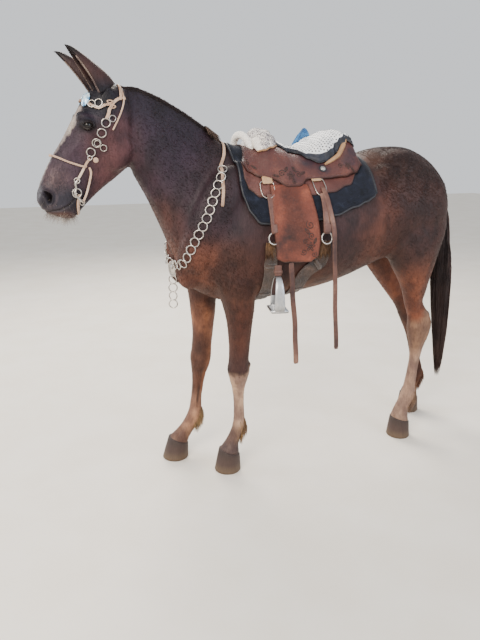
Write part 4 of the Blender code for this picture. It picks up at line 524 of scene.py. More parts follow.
# Soft swellings (positive) and hollows (negative): centre (x, |y|, z), radii, lean, height.
swellings = (
    ((-0.577, 0.086, 1.594), (0.028, 0.020, 0.011), 35, 0.0050),
    ((-0.535, 0.075, 1.645), (0.026, 0.030, 0.022), 30, -0.0060),
    ((-0.470, 0.090, 1.492), (0.072, 0.050, 0.090), 38, 0.0050),
    ((-0.600, 0.066, 1.440), (0.040, 0.030, 0.026), -50, -0.0050),
    ((-0.672, 0.045, 1.335), (0.040, 0.030, 0.030), -50, -0.0025),
    ((-0.655, 0.000, 1.208), (0.026, 0.022, 0.016), 0, 0.0040),
    ((-0.735, 0.030, 1.232), (0.026, 0.030, 0.012), 0, 0.0030),
    ((-0.575, 0.000, 1.680), (0.040, 0.035, 0.040), 0, 0.0030),
    ((-0.385, 0.070, 1.560), (0.020, 0.040, 0.080), 10, -0.0050),
    ((0.030, 0.200, 1.080), (0.090, 0.070, 0.085), -20, 0.0100),
    ((0.085, 0.190, 0.965), (0.045, 0.060, 0.045), 0, -0.0080),
    ((0.705, 0.250, 1.290), (0.055, 0.070, 0.075), 0, -0.0110),
    ((0.735, 0.240, 1.090), (0.050, 0.060, 0.070), 20, -0.0060),
    ((0.930, 0.220, 1.150), (0.060, 0.060, 0.120), 15, 0.0060),
    ((0.845, 0.215, 1.010), (0.030, 0.050, 0.035), 0, 0.0060),
    ((0.040, 0.060, 1.475), (0.080, 0.030, 0.030), 0, 0.0030),
)
# Long grooves and ridges: ends (x, |y|, z), radius, height.
furrows = (
    ((-0.592, 0.082, 1.530), (-0.655, 0.062, 1.452), 0.010, 0.0040),
    ((-0.640, 0.048, 1.560), (-0.738, 0.036, 1.385), 0.014, -0.0025),
    ((-0.560, 0.085, 1.520), (-0.480, 0.085, 1.425), 0.016, -0.0022),
    ((-0.385, 0.070, 1.420), (-0.205, 0.090, 1.120), 0.020, -0.0070),
    ((-0.300, 0.095, 1.560), (-0.060, 0.140, 1.400), 0.035, 0.0045),
    ((-0.020, 0.190, 1.420), (-0.170, 0.150, 1.130), 0.020, -0.0055),
    ((0.060, 0.210, 1.360), (0.010, 0.215, 1.160), 0.022, -0.0040),
    ((-0.205, 0.000, 1.060), (-0.175, 0.000, 0.920), 0.016, -0.0110),
    ((1.025, 0.205, 1.330), (1.050, 0.170, 0.980), 0.016, -0.0070),
    ((0.930, 0.240, 1.360), (0.960, 0.235, 1.120), 0.022, -0.0035),
    ((0.790, 0.000, 1.490), (1.070, 0.000, 1.450), 0.018, -0.0040),
    ((0.690, 0.220, 0.990), (0.800, 0.190, 0.930), 0.014, 0.0060),
)
# Bumps and hollows of each leg: height, share fore (-1) to hind (1), share inner and outer, radius, height.
foreNotes = (
    (0.490, -0.9, 0.0, 0.026, 0.0040), (0.510, 1.0, 0.3, 0.013, 0.0080), (0.480, 0.2, 1.0, 0.018, 0.0030),
    (0.480, 0.2, -1.0, 0.018, 0.0030), (0.700, -0.4, 1.0, 0.050, 0.0050), (0.760, 0.6, 1.0, 0.040, 0.0040),
    (0.600, 0.2, 1.0, 0.035, -0.0030), (0.165, 0.9, 0.0, 0.020, -0.0050), (0.215, 0.9, 0.0, 0.018, 0.0040),
    (0.215, -0.2, 1.0, 0.018, 0.0030), (0.215, -0.2, -1.0, 0.018, 0.0030), (0.108, -0.2, 0.9, 0.030, 0.0018))
hindNotes = (
    (0.650, 1.0, 0.0, 0.017, 0.0080), (0.720, 0.45, 1.0, 0.028, -0.0100), (0.720, 0.45, -1.0, 0.028, -0.0100),
    (0.590, -0.4, 1.0, 0.022, 0.0050), (0.590, -0.4, -1.0, 0.022, 0.0050), (0.570, -0.9, 0.0, 0.020, 0.0040),
    (0.820, -0.3, 1.0, 0.050, 0.0060), (0.165, 0.9, 0.0, 0.020, -0.0050), (0.215, 0.9, 0.0, 0.018, 0.0040),
    (0.215, -0.2, 1.0, 0.018, 0.0030), (0.215, -0.2, -1.0, 0.018, 0.0030), (0.108, -0.2, 0.9, 0.030, 0.0018))


def legAt(key, height):
    # The leg's middle, its reach fore and hind, and its half width at a height.
    rows = legRows[key]
    for first, second in zip(rows, rows[1:]):
        a, b = (first[1] + first[3]) / 2, (second[1] + second[3]) / 2
        if b <= height <= a or second is rows[-1]:
            t = min(max((a - height) / (a - b), 0.0), 1.0)
            row = [p + (q - p) * t for p, q in zip(first, second)]
            return (row[0] + row[2]) / 2, row[4], (row[2] - row[0]) / 2, row[5]


def shapeSkin(piece):
    # Anatomy as smooth moves along the normals.
    places, normals = arrays(piece.data)
    start = places.copy()
    move = np.full(len(places), -skin["inset"])
    folded = places.copy()
    folded[:, 1] = np.abs(folded[:, 1])
    for centre, radii, lean, height in swellings:
        turn = math.radians(lean)
        d = folded - np.array(centre)
        along = d[:, 0] * math.cos(turn) - d[:, 2] * math.sin(turn)
        up = d[:, 0] * math.sin(turn) + d[:, 2] * math.cos(turn)
        far = (along / radii[0]) ** 2 + (d[:, 1] / radii[1]) ** 2 + (up / radii[2]) ** 2
        move += height * np.exp(-far)
    for a, b, radius, height in furrows:
        move += height * np.exp(-(lineDistance(folded, a, b) / radius) ** 2)
    for key in legRows:
        side = -1 if key.endswith("near") else 1
        for height, along, out, radius, rise in (foreNotes if "fore" in key else hindNotes):
            x, y, reach, half = legAt(key, height)
            centre = np.array((x + along * reach, y + side * out * half, height))
            move += rise * np.exp(-(np.linalg.norm(places - centre, axis=1) / radius) ** 2)
        # Tendons stand apart from the cannon bone.
        top, low = (0.43, 0.25) if "fore" in key else (0.52, 0.27)
        for out in (-1, 1):
            ends = []
            for height in (top, low):
                x, y, reach, half = legAt(key, height)
                ends.append((x + 0.22 * reach, y + out * half, height))
            move -= 0.0045 * np.exp(-(lineDistance(places, *ends) / 0.010) ** 2)
    places += normals * move[:, None]
    shapeFace(places, start)
    piece.data.vertices.foreach_set("co", places.ravel())
    piece.data.update()


def shapeFace(places, start):
    # Nostrils, mouth and eye sockets.
    for side in (-1, 1):
        x, y, z = skin["nostril"]
        d = start - np.array((x, side * y, z))
        mask = np.linalg.norm(d, axis=1) < 0.065
        turn = math.radians(-22)
        along = d[:, 0] * math.cos(turn) - d[:, 2] * math.sin(turn)
        up = d[:, 0] * math.sin(turn) + d[:, 2] * math.cos(turn)
        hooked = along + 0.34 * np.abs(up) - 0.003
        far = np.sqrt((hooked / 0.0122) ** 2 + (up / 0.0245) ** 2)
        sideways = np.exp(-((np.abs(start[:, 1]) - y) / 0.030) ** 2) * (start[:, 1] * side > 0)
        rim = 0.0068 * np.exp(-((far - 1.32) / 0.36) ** 2) * sideways * mask
        hole = np.clip((1.12 - far) / 0.5, 0, 1) * sideways * mask
        places[:, 1] += side * rim
        places[:, 0] -= rim * 0.4
        places[:, 1] -= side * 0.026 * hole
        places[:, 0] += 0.016 * hole
        places[:, 2] += 0.010 * hole
        ex, ey, ez = skin["eye"]
        centre = np.array((ex, side * ey, ez))
        d = places - centre
        dist = np.linalg.norm(d, axis=1)
        inPlane = np.sqrt((d[:, 0] / 0.0235) ** 2 + (d[:, 2] / 0.0155) ** 2)
        socket = np.clip((1.15 - inPlane) / 0.35, 0, 1) * (dist < 0.040) * (d[:, 1] * side > -0.004)
        inward = np.maximum(d[:, 1] * side - 0.0080, 0) * socket
        places[:, 1] -= side * inward
    line = [(x, 0.0, z) for x, z in skin["mouth"]]
    flat = start * np.array((1, 0, 1))
    near = np.full(len(places), 9.0)
    for a, b in zip(line, line[1:]):
        near = np.minimum(near, lineDistance(flat, a, b))
    lips = (start[:, 0] < -0.612) & (start[:, 2] < 1.30)
    inwards = start - np.array((-0.690, 0.0, 1.245))
    inwards /= np.maximum(np.linalg.norm(inwards, axis=1), 1e-6)[:, None]
    groove = 0.0042 * np.exp(-(near / 0.0030) ** 2) - 0.0012 * np.exp(-((near - 0.009) / 0.005) ** 2)
    places -= inwards * (groove * lips)[:, None]


ears = {"near": (-0.640, -0.066, 1.866), "far": (-0.668, 0.062, 1.858)}
earRoots = {"near": (-0.524, -0.053, 1.686), "far": (-0.532, 0.053, 1.690)}
# Share up the ear, its depth from front to back, its half width.
earSpans = ((0.0, 0.086, 0.026), (0.15, 0.081, 0.031), (0.30, 0.070, 0.034), (0.50, 0.052, 0.031),
            (0.70, 0.036, 0.025), (0.85, 0.024, 0.017), (0.95, 0.014, 0.009), (1.0, 0.004, 0.002))


def earWays(side, word):
    # Which way an ear points, and which way its cup opens.
    axis = (Vector(ears[word]) - Vector(earRoots[word])).normalized()
    opening = Vector((-0.92, side * 0.20, -0.36))
    return axis, (opening - axis * opening.dot(axis)).normalized()


def earRings(side, word):
    # A leaf-shaped cup, deep from front to back, that opens forward and a little outward.
    spans, around = 30, 20
    upward = list(zip(*earSpans))
    root, tip = Vector(earRoots[word]), Vector(ears[word])
    axis, opening = earWays(side, word)
    across = axis.cross(opening).normalized()
    spread = math.radians(112)
    rings = []
    for row in range(spans + 1):
        t = row / spans
        extent, half = (float(np.interp(t, upward[0], upward[i])) for i in (1, 2))
        depth = extent / (1 - math.cos(spread))
        middle = (root.lerp(tip, t) + opening * depth * math.cos(spread)
                  - opening * 0.006 * math.sin(math.pi * t))
        wall = min(0.0042, half * 0.5)
        outer, inner = [], []
        for step in range(around):
            angle = -spread + 2 * spread * step / (around - 1)
            edge = 1.0 - 0.60 * abs(2 * step / (around - 1) - 1) ** 8
            outer.append(middle + across * half * math.sin(angle) - opening * depth * math.cos(angle))
            inner.append(middle + across * (half - wall * edge) * math.sin(angle)
                         - opening * (depth - wall * edge) * math.cos(angle))
        rings.append(outer + inner[::-1])
    return rings


def lidRings(side):
    # Lids as rings from the wet edge on the ball out to the face.
    ex, ey, ez = skin["eye"]
    centre = Vector((ex, side * ey, ez))
    radius = skin["eyeRadius"]
    rings = []
    around = 56
    for share, lift in ((0.93, -0.0030), (0.97, 0.0002), (1.00, 0.0016), (1.06, 0.0024), (1.13, 0.0024),
                        (1.22, 0.0014), (1.30, 0.0018), (1.42, 0.0010), (1.55, -0.0010), (1.72, -0.0050)):
        ring = []
        for step in range(around):
            angle = 2 * math.pi * step / around
            tall = 0.0108 if math.sin(angle) > 0 else 0.0080
            corner = abs(math.cos(angle)) ** 6
            dx = (0.0188 + 0.0016 * corner) * math.cos(angle)
            dz = tall * math.sin(angle) * (1 - 0.25 * corner)
            dx, dz = dx * share, (dz - 0.10 * dx / share) * share
            if math.sin(angle) > 0:
                dz += 0.0022 * (share - 1) * 4
            flat = math.hypot(dx, dz)
            depth = math.sqrt(max((radius + 0.0012) ** 2 - flat * flat, 0.0))
            depth = max(depth, 0.0075) + lift
            ring.append(centre + Vector((dx, side * depth, dz)))
        rings.append(ring)
    return rings


def makeSkin():
    piece = fleshForms()
    refine(piece, isHead)
    refine(piece, isShin)
    refine(piece, isFace)
    centres = arrays(piece.data)[0]
    fine = ((centres[:, 0] < -0.39) & (centres[:, 2] > 1.15)) | (centres[:, 2] < 0.71)
    relaxed(piece.data, skin["fineRelax"], fine.astype(float))
    shapeSkin(piece)
    shaping = bmesh.new()
    shaping.from_mesh(piece.data)
    for side, word in nearAndFar:
        addRings(shaping, earRings(side, word))
        addRings(shaping, lidRings(side), closeEnds=False)
    bmesh.ops.recalc_face_normals(shaping, faces=shaping.faces[:])
    shaping.to_mesh(piece.data)
    shaping.free()
    return piece


# The coat's tones by region: place (x, z), reach, colour.
coatTones = {
    "crest": ((-0.22, 1.62), 0.10, "2c2634"), "neckMiddle": ((-0.27, 1.45), 0.12, "37283a"),
    "neckFront": ((-0.36, 1.38), 0.07, "47313b"), "neckLow": ((-0.17, 1.24), 0.12, "40303b"),
    "jaw": ((-0.46, 1.46), 0.08, "6c494c"), "neckRust": ((-0.27, 1.19), 0.06, "6a463c"),
    "loinTop": ((0.70, 1.50), 0.07, "64463a"), "forehead": ((-0.55, 1.63), 0.055, "1f1d2d"),
    "nose": ((-0.66, 1.45), 0.07, "4c3c49"), "muzzle": ((-0.70, 1.25), 0.05, "32323f"),
    "shoulder": ((-0.05, 1.30), 0.12, "3d2c33"), "chest": ((-0.17, 1.00), 0.09, "774c3d"),
    "barrel": ((0.35, 1.20), 0.22, "422a2b"), "belly": ((0.35, 0.86), 0.10, "66402f"),
    "withers": ((0.04, 1.45), 0.07, "3a2c30"), "flank": ((0.70, 1.10), 0.11, "6c4438"),
    "croup": ((0.90, 1.47), 0.10, "4b3936"), "rump": ((1.02, 1.30), 0.13, "48302d"),
    "thigh": ((0.95, 1.05), 0.14, "462e2c"), "gaskin": ((0.98, 0.82), 0.10, "8a5743"),
    "elbow": ((0.04, 0.95), 0.09, "54362f"), "forearm": ((0.04, 0.72), 0.12, "5c382d"),
}
legTones = {
    "brown": "623a2d", "knee": "453030", "white": "dcbca2", "pale": "cda184", "dark": "3b2a2a",
    "grey": "7d6255", "orange": "8a5a34", "foreCoronet": "5d5256", "sunlit": "b07c60",
    "farKnee": "4c332e", "redBrown": "9a5f38", "hock": "a3826c", "hindWhite": "c4a590",
    "hockPoint": "2c2122", "hindCoronet": "a98d7d", "farHind": "7c4c33", "farHock": "4a302a",
    "farCoronet": "a58670",
}


def grain(places, scale, seed):
    # Smooth seeded noise from -1 to 1 at many places.
    offset = Vector((seed * 7.3, seed * 3.1, seed * 5.7))
    return np.array([noise.noise(Vector(p) * scale + offset) for p in places])


def step(values, first, last):
    t = np.clip((values - first) / (last - first), 0, 1)
    return t * t * (3 - 2 * t)


def legLines(key, heights):
    # A leg's middle, its reach fore and hind, and its place across, at many heights.
    rows = np.array(legRows[key])
    levels = ((rows[:, 1] + rows[:, 3]) / 2)[::-1]
    values = ((rows[:, 0] + rows[:, 2]) / 2, (rows[:, 2] - rows[:, 0]) / 2, rows[:, 4])
    return [np.interp(heights, levels, value[::-1]) for value in values]


def onLeg(key, x, y):
    return ((y < 0) if key.endswith("near") else (y >= 0)) & ((x < 0.5) if "fore" in key else (x >= 0.5))


def paintLeg(paint, key, x, y, z, ragged):
    # Each leg has its own white, with ragged edges.
    mine = onLeg(key, x, y) & (z < (0.80 if "fore" in key else 0.95))
    middle, reach, _ = legLines(key, z)
    back = np.clip((x - middle) / reach, -1.2, 1.2)
    if key == "fore_near":
        paint(mine * step(z, 0.80, 0.66) * 0.8, legTones["brown"])
        paint(mine * step(z, 0.66, 0.50) * 0.75, legTones["knee"])
        paint(mine * step(ragged - 0.034 * step(back, 0.1, 1.0), 0.486, 0.450), legTones["white"])
        paint(mine * step(ragged, 0.25, 0.19) * 0.75, legTones["grey"])
        paint(mine * step(ragged, 0.30, 0.20) * step(back, 0.4, 0.9) * 0.8, legTones["dark"])
        paint(mine * step(ragged, 0.16, 0.11) * 0.6, legTones["foreCoronet"])
    elif key == "fore_far":
        paint(mine * step(z, 0.80, 0.68) * 0.9, legTones["sunlit"])
        paint(mine * step(z, 0.68, 0.54) * step(back, 0.8, 0.0) * 0.75, legTones["farKnee"])
        # Painted sunlight: red-brown down the back edge from the knee to the white.
        paint(mine * step(z, 0.60, 0.50) * step(back, 0.3, 0.9) * 0.8, legTones["redBrown"])
        paint(mine * step(ragged, 0.345, 0.285), legTones["pale"])
        paint(mine * step(np.abs(back + 0.05), 0.32, 0.12) * step(ragged, 0.23, 0.29)
              * step(ragged, 0.39, 0.32) * 0.7, legTones["dark"])
        paint(mine * step(ragged, 0.17, 0.12) * 0.6, legTones["grey"])
    elif key == "hind_near":
        edge = ragged - 0.065 * step(back, -0.6, 0.9)
        paint(mine * step(edge, 0.655, 0.600), legTones["hock"])
        paint(mine * step(edge, 0.500, 0.400), legTones["hindWhite"])
        # Painted sunlight: an orange strip along the back edge of the white.
        paint(mine * step(edge, 0.600, 0.560) * step(back, 0.35, 0.9) * step(z, 0.30, 0.36) * 0.55,
              legTones["orange"])
        paint(mine * step(z, 0.60, 0.64) * step(z, 0.73, 0.70) * step(back, 0.75, 1.05),
              legTones["hockPoint"])
        paint(mine * step(ragged, 0.20, 0.13) * 0.45, legTones["hindCoronet"])
    else:
        paint(mine * step(z, 0.75, 0.60) * 0.9, legTones["farHind"])
        paint(mine * step(z, 0.70, 0.60) * step(back, 0.5, -0.6) * 0.6, legTones["farHock"])
        paint(mine * step(ragged, 0.19, 0.14) * 0.7, legTones["farCoronet"])


def paintTrunk(paint, x, y, z):
    # The mealy underside and the dark line along the back.
    under = (z < 0.95) & (x > -0.16) & (x < 0.85) & (z > 0.78)
    paint(under * step(z, 0.93, 0.85) * step(z, 0.78, 0.85) * 0.5, "7a5240")
    paint((z > 0.9) * step(np.abs(y), 0.035, 0.0) * step(x, 0.05, 0.20) * step(z, 1.30, 1.38)
          * step(x, 1.15, 1.05) * 0.6, "2f2325")


def paintNostril(paint, head, x, y, z):
    # A comma-shaped opening painted nearly black as the shade inside it, with a paler rim behind it.
    nx, _, nz = skin["nostril"]
    down, over = 0.45 * (x - nx) - 0.89 * (z - nz), 0.89 * (x - nx) + 0.45 * (z - nz)
    apart = np.abs(y) > 0.022
    wide = 0.0125 + 0.10 * np.clip(-down, 0, 0.02)
    nostril = np.exp(-((over / wide) ** 2 + (down / 0.026) ** 2) ** 1.5) * apart
    ring = np.sqrt(((x - nx - 0.004) / 0.022) ** 2 + ((z - nz) / 0.030) ** 2)
    paint(head * np.exp(-((ring - 1.25) / 0.22) ** 2) * apart * (x > nx) * 0.35, "857678")
    # Painted shade: the nostril's opening nearly black.
    paint(head * nostril * 0.97, "120f12")


def paintFace(paint, places, soft):
    # Blaze, roan band over the muzzle, dark lips, painted shade nearly black in the nostrils, darker round
    # the eye.
    x, y, z = places.T
    head = (x < -0.40) & (z > 1.15)
    axisX = np.interp(z, (1.20, 1.30, 1.46, 1.57, 1.63, 1.70),
                      (-0.79, -0.775, -0.702, -0.638, -0.604, -0.555))
    frontness = step(x - axisX, 0.085, 0.045)
    wide = np.interp(z, (1.44, 1.50, 1.57, 1.62, 1.645), (0.010, 0.022, 0.042, 0.056, 0.034))
    blaze = step(np.abs(y) + 0.009 * soft, wide + 0.006, wide - 0.006) * frontness
    blaze = blaze * step(z, 1.425, 1.455) * step(z + 0.008 * soft, 1.652, 1.632)
    roan = head * np.exp(-(((x + 0.705) / 0.050) ** 2 + ((z - 1.352) / 0.048) ** 2))
    flecks = np.clip(0.5 + 1.3 * grain(places, 230.0, 3), 0, 1)
    paint(roan * (0.15 + 0.65 * flecks), "947d7b")
    paint(head * step(z, 1.300, 1.262) * step(x, -0.60, -0.66) * 0.6, "38333c")
    paint(head * step(z, 1.262, 1.215) * step(x, -0.60, -0.66) * (0.18 + 0.20 * flecks), "8d7d7c")
    paintNostril(paint, head, x, y, z)
    paint(head * step(z, 1.232, 1.212) * step(x, -0.62, -0.66) * 0.45, "9a6a52")
    lips = np.full(len(places), 9.0)
    line = [(a, 0.0, b) for a, b in skin["mouth"]]
    for a, b in zip(line, line[1:]):
        lips = np.minimum(lips, lineDistance(places * np.array((1, 0, 1)), a, b))
    paint(head * (x < -0.612) * np.exp(-(lips / 0.0035) ** 2) * 0.8, "241d20")
    ex, _, ez = skin["eye"]
    eye = np.sqrt(((x - ex) / 0.034) ** 2 + ((z - ez) / 0.022) ** 2) * (1 + 9.0 * (np.abs(y) < 0.04))
    paint(head * step(eye, 1.12, 0.80) * 0.75, "1d171b")
    paint(head * np.exp(-((eye - 1.75) / 0.35) ** 2) * 0.18, "6d5560")
    paint(head * blaze * (0.82 + 0.18 * flecks), "d9cdbf")
    paint(head * frontness * step(np.abs(y) + 0.003 * soft, 0.012, 0.005) * step(z, 1.30, 1.34)
          * step(z, 1.47, 1.43) * 0.8, "cfc2b5")


def coatColours(places):
    # The mule's markings, the same for the skin and for every hair.
    places = np.asarray(places, dtype=float)
    x, y, z = places.T
    total, weight = np.zeros((len(places), 3)), np.zeros(len(places))
    for (cx, cz), reach, code in coatTones.values():
        share = np.exp(-((x - cx) ** 2 + (z - cz) ** 2) / reach ** 2) + 1e-9
        total += share[:, None] * np.array(linear(code))
        weight += share
    tone = total / weight[:, None]
    soft, coarse = grain(places, 55.0, 1), grain(places, 9.0, 2)
    tone *= (1 + 0.10 * coarse + 0.08 * soft)[:, None]

    def paint(share, code):
        nonlocal tone
        share = np.clip(share, 0, 1)[:, None]
        tone = tone * (1 - share) + np.array(linear(code)) * share

    for key in legRows:
        paintLeg(paint, key, x, y, z, z + 0.010 * soft + 0.012 * coarse)
    paintTrunk(paint, x, y, z)
    paintFace(paint, places, soft)
    # Ears: browner middles and dark tips.
    ear = step(z, 1.700, 1.760) * (x < -0.45)
    paint(ear * 0.85, "4b302d")
    paint(ear * step(z, 1.815, 1.855), "161214")
    # A little more depth and warmth all over.
    middle = tone.mean(axis=1, keepdims=True)
    tone = np.clip(middle + (tone - middle) * 1.12, 0.002, 1.0)
    return np.clip(tone ** 1.08 * 1.12, 0.002, 1.0)


def giveColours(mesh, colours):
    layer = mesh.attributes.new("coatColour", "FLOAT_COLOR", "POINT")
    full = np.ones((len(colours), 4))
    full[:, :3] = colours
    layer.data.foreach_set("color", full.ravel())


def giveMap(mesh, name, uv):
    # A UV map from one place for each vertex.
    layer = mesh.uv_layers.new(name=name)
    order = np.empty(len(mesh.loops), dtype=np.int32)
    mesh.loops.foreach_get("vertex_index", order)
    layer.data.foreach_set("uv", uv.reshape(-1, 2)[order].ravel())


def hairMaterial(name, rough, sheen, shine, depth, length):
    # Real hair: a soft sheen along the lie of the coat, fine streaks one to two millimetres
    # apart drawn a little coarse so that they show, and no hard highlight.
    made, tree, shader = startMaterial(name, {"Roughness": rough, "Sheen Weight": sheen,
                                              "Sheen Roughness": 0.45, "Sheen Tint": colour("9a7466"),
                                              "Specular IOR Level": shine})
    base = add(tree, "ShaderNodeAttribute", attribute_name="coatColour").outputs["Color"]
    streaks = speckle(tree, objectPlace(tree, length), 160.0, 5.0, 0.65)
    broad = speckle(tree, objectPlace(tree, (1.0, 1.0, 0.7)), 14.0, 3.0)
    light = ramp(tree, streaks, ((0.30, 0.52), (0.72, 1.0)))
    tone = blend(tree, 0.55, base, light, "MULTIPLY")
    patch = ramp(tree, broad, ((0.35, "8d8399"), (0.65, "ffffff")))
    tone = blend(tree, 0.75, tone, patch, "MULTIPLY")
    lift = blend(tree, 1.0, tone, (0.62, 0.61, 0.60, 1.0), "MULTIPLY")
    tree.links.new(lift, shader.inputs["Base Color"])
    tree.links.new(ramp(tree, streaks, ((0.3, rough + 0.12), (0.75, rough - 0.08))),
                   shader.inputs["Roughness"])
    bump(tree, shader, streaks, depth, 0.8)
    return made


shortCoat = hairMaterial("shortSummerCoat", 0.55, 0.12, 0.30, 0.0016, (1.0, 1.0, 0.22))
looseHair = hairMaterial("looseCoatHair", 0.50, 0.12, 0.30, 0.0004, (1.0, 1.0, 0.3))

skinPiece = makeSkin()
skinPiece.name = "skin"
places = arrays(skinPiece.data)[0]
giveColours(skinPiece.data, coatColours(places))
# The skin is shaped in the mule's own frame and moved last.
skinPiece.data.transform(Matrix.Translation(shift))
skinPiece.data.materials.clear()
skinPiece.data.materials.append(shortCoat)
skinPiece.data.shade_smooth()
legNodes = [part + key for key in legRows for part in ("leg_", "shin_")]
dress(skinPiece, "coat_bay", "head", "neck", "torso", "ear_near", "ear_far", *legNodes)
print("stage: skin", sum(len(face.vertices) - 2 for face in skinPiece.data.polygons))

# Coat hair: solid tapered blades over the skin, from arrays.
skinTree = BVHTree.FromPolygons([v.co - shift for v in skinPiece.data.vertices],
                                [tuple(f.vertices) for f in skinPiece.data.polygons])


def unwrapped(places):
    # Where places lie on an unwrap of the skin's own shape: a rolled-out body and four rolled-out legs.
    x, y, z = np.asarray(places, dtype=float).T
    axis = np.interp(x, (-0.80, -0.60, -0.40, -0.20, 0.0, 0.2, 1.2),
                     (1.26, 1.46, 1.58, 1.38, 1.15, 1.12, 1.15))
    u = 0.02 + 0.60 * np.clip((x + 0.82) / 2.10, 0, 1)
    v = 0.5 + 0.46 * np.arctan2(y, z - axis) / math.pi
    for index, key in enumerate(legRows):
        mine = onLeg(key, x, y) & (z < 0.80) & (x < 1.16 + 0.2 * (z < 0.7))
        middle, _, side = legLines(key, z)
        around = 0.5 + 0.5 * np.arctan2(y - side, x - middle) / math.pi
        u = np.where(mine, 0.65 + 0.085 * index + 0.07 * around, u)
        v = np.where(mine, 0.04 + 0.90 * np.clip(z / 0.80, 0, 1), v)
    return np.stack((u, v), axis=1)


def growHair(name, paths, across, widths, thick, colours, material, slot, *replaced):
    # paths: hairs x points x 3. Each hair is a three-sided blade that tapers to its tip.
    paths = np.asarray(paths, dtype=float)
    hairs, steps, _ = paths.shape
    along = np.gradient(paths, axis=1)
    along /= np.maximum(np.linalg.norm(along, axis=2, keepdims=True), 1e-9)
    across = np.asarray(across, dtype=float)[:, None, :]
    side = across - along * np.sum(across * along, axis=2, keepdims=True)
    side /= np.maximum(np.linalg.norm(side, axis=2, keepdims=True), 1e-9)
    face = np.cross(along, side)
    widths = np.asarray(widths, dtype=float)
    if widths.ndim == 1:
        widths = np.tile(widths, (hairs, 1))
    half = widths[:, :, None] / 2
    body = slice(0, steps - 1)
    left = paths[:, body] - side[:, body] * half[:, body]
    right = paths[:, body] + side[:, body] * half[:, body]
    ridge = paths[:, body] + face[:, body] * half[:, body] * 2 * thick
    points = np.concatenate((np.stack((left, right, ridge), axis=2).reshape(hairs, -1, 3),
                             paths[:, -1:, :]), axis=1)
    each = points.shape[1]
    faces = [(0, 2, 1)]
    for step in range(steps - 2):
        for a, b in ((0, 1), (1, 2), (2, 0)):
            low = step * 3
            faces += [(low + a, low + b, low + 3 + b), (low + a, low + 3 + b, low + 3 + a)]
    low = (steps - 2) * 3
    faces += [(low, low + 1, each - 1), (low + 1, low + 2, each - 1), (low + 2, low, each - 1)]
    faces = np.array(faces)
    allFaces = (faces[None] + (np.arange(hairs) * each)[:, None, None]).reshape(-1, 3)
    mesh = makeMesh(name, points.reshape(-1, 3), allFaces)
    reach = np.concatenate((np.repeat(np.linspace(0, 1, steps)[:-1], 3), (1.0,)))
    rootTone, tipTone = colours
    tones = (rootTone[:, None, :] * (1 - reach)[None, :, None] + tipTone[:, None, :] * reach[None, :, None])
    giveColours(mesh, tones.reshape(-1, 3))
    # Each hair has a patch of its own, 0.003 across, at its root's place on the unwrap.
    patch = 0.0030
    uv = unwrapped(paths[:, 0])[:, None, :] + np.stack(
        (np.concatenate((np.tile((-0.5, 0.5, 0.0), steps - 1), (0.0,))), reach - 0.5), axis=1)[None] * patch
    giveMap(mesh, "OFBake", uv)
    piece = addPiece(name, mesh, material, outward=False)
    print("stage: hair", name, hairs, len(allFaces))
    return dress(piece, slot, *replaced)


def sampledSkin(count, keep, seed):
    # Even random places on the skin where keep(places) gives a share from 0 to 1.
    mesh = skinPiece.data
    mesh.calc_loop_triangles()
    corners = np.empty(len(mesh.loop_triangles) * 3, dtype=np.int32)
    mesh.loop_triangles.foreach_get("vertices", corners)
    corners = corners.reshape(-1, 3)
    places, normals = arrays(mesh)
    places = places - np.array(shift)
    a, b, c = (places[corners[:, i]] for i in range(3))
    middle = (a + b + c) / 3
    facing = np.cross(b - a, c - a)
    area = np.linalg.norm(facing, axis=1) / 2
    facing /= np.maximum(area * 2, 1e-12)[:, None]
    weight = area * np.clip(keep(middle), 0, 1)
    draw = np.random.default_rng(seed)
    chosen = draw.choice(len(weight), count, p=weight / weight.sum())
    u, v = draw.random(count), draw.random(count)
    over = u + v > 1
    u[over], v[over] = 1 - u[over], 1 - v[over]
    spots = a[chosen] + (b - a)[chosen] * u[:, None] + (c - a)[chosen] * v[:, None]
    return spots, facing[chosen], draw


def lieOfCoat(places, normals):
    # The way hair points: down the face, back along the neck and trunk, down the legs.
    x, y, z = places.T
    lie = np.tile((0.80, 0.0, -0.60), (len(places), 1))
    lie[:, 2] -= 0.8 * step(z, 1.15, 0.95)
    legs = (z < 0.88)
    lie[legs] = (0.10, 0.0, -1.0)
    belly = (z < 0.95) & (x > 0.08) & (x < 0.78) & (z > 0.76)
    lie[belly] = (1.0, 0.0, -0.15)
    head = (x < -0.42) & (z > 1.15) & (z < 1.735)
    lie[head] = (-0.45, 0.0, -0.90)
    ear = (x < -0.46) & (z >= 1.735)
    lie[ear] = (-0.62, 0.0, 0.78)
    lie -= normals * np.sum(lie * normals, axis=1, keepdims=True)
    return lie / np.maximum(np.linalg.norm(lie, axis=1, keepdims=True), 1e-6)


# Tufts: how deep a root sits, how much they stray from the coat's lie, and their tones.
tuft = {"sunk": 0.0012, "stray": 0.16, "thick": 0.35, "tones": (0.94, 1.06), "root": 1.02, "tip": 1.25}


def coatTufts(name, count, keep, seed, length, width, stand, slot):
    # Short tufts that lie along the body and just lift their tips.
    spots, facing, draw = sampledSkin(count, keep, seed)
    lie = lieOfCoat(spots, facing)
    lie += draw.normal(0, tuft["stray"], lie.shape)
    lie -= facing * np.sum(lie * facing, axis=1, keepdims=True)
    lie /= np.linalg.norm(lie, axis=1, keepdims=True)
    long = length * draw.uniform(0.65, 1.25, count)[:, None]
    root = spots - facing * tuft["sunk"]
    middle = spots + lie * long * 0.5 + facing * long * stand * 0.5
    tip = spots + lie * long + facing * long * stand * 0.75
    paths = np.stack((root, middle, tip), axis=1)
    across = np.cross(lie, facing)
    wide = width * draw.uniform(0.7, 1.3, count)
    widths = np.stack((wide, wide * 0.85, wide * 0.1), axis=1)
    base = coatColours(spots) * draw.uniform(*tuft["tones"], count)[:, None]
    tones = (base * tuft["root"], np.clip(base * tuft["tip"], 0, 1))
    return growHair(name, paths, across, widths, tuft["thick"], tones, looseHair, slot)


saddleArea = {"x": (-0.02, 0.70), "low": 1.10}


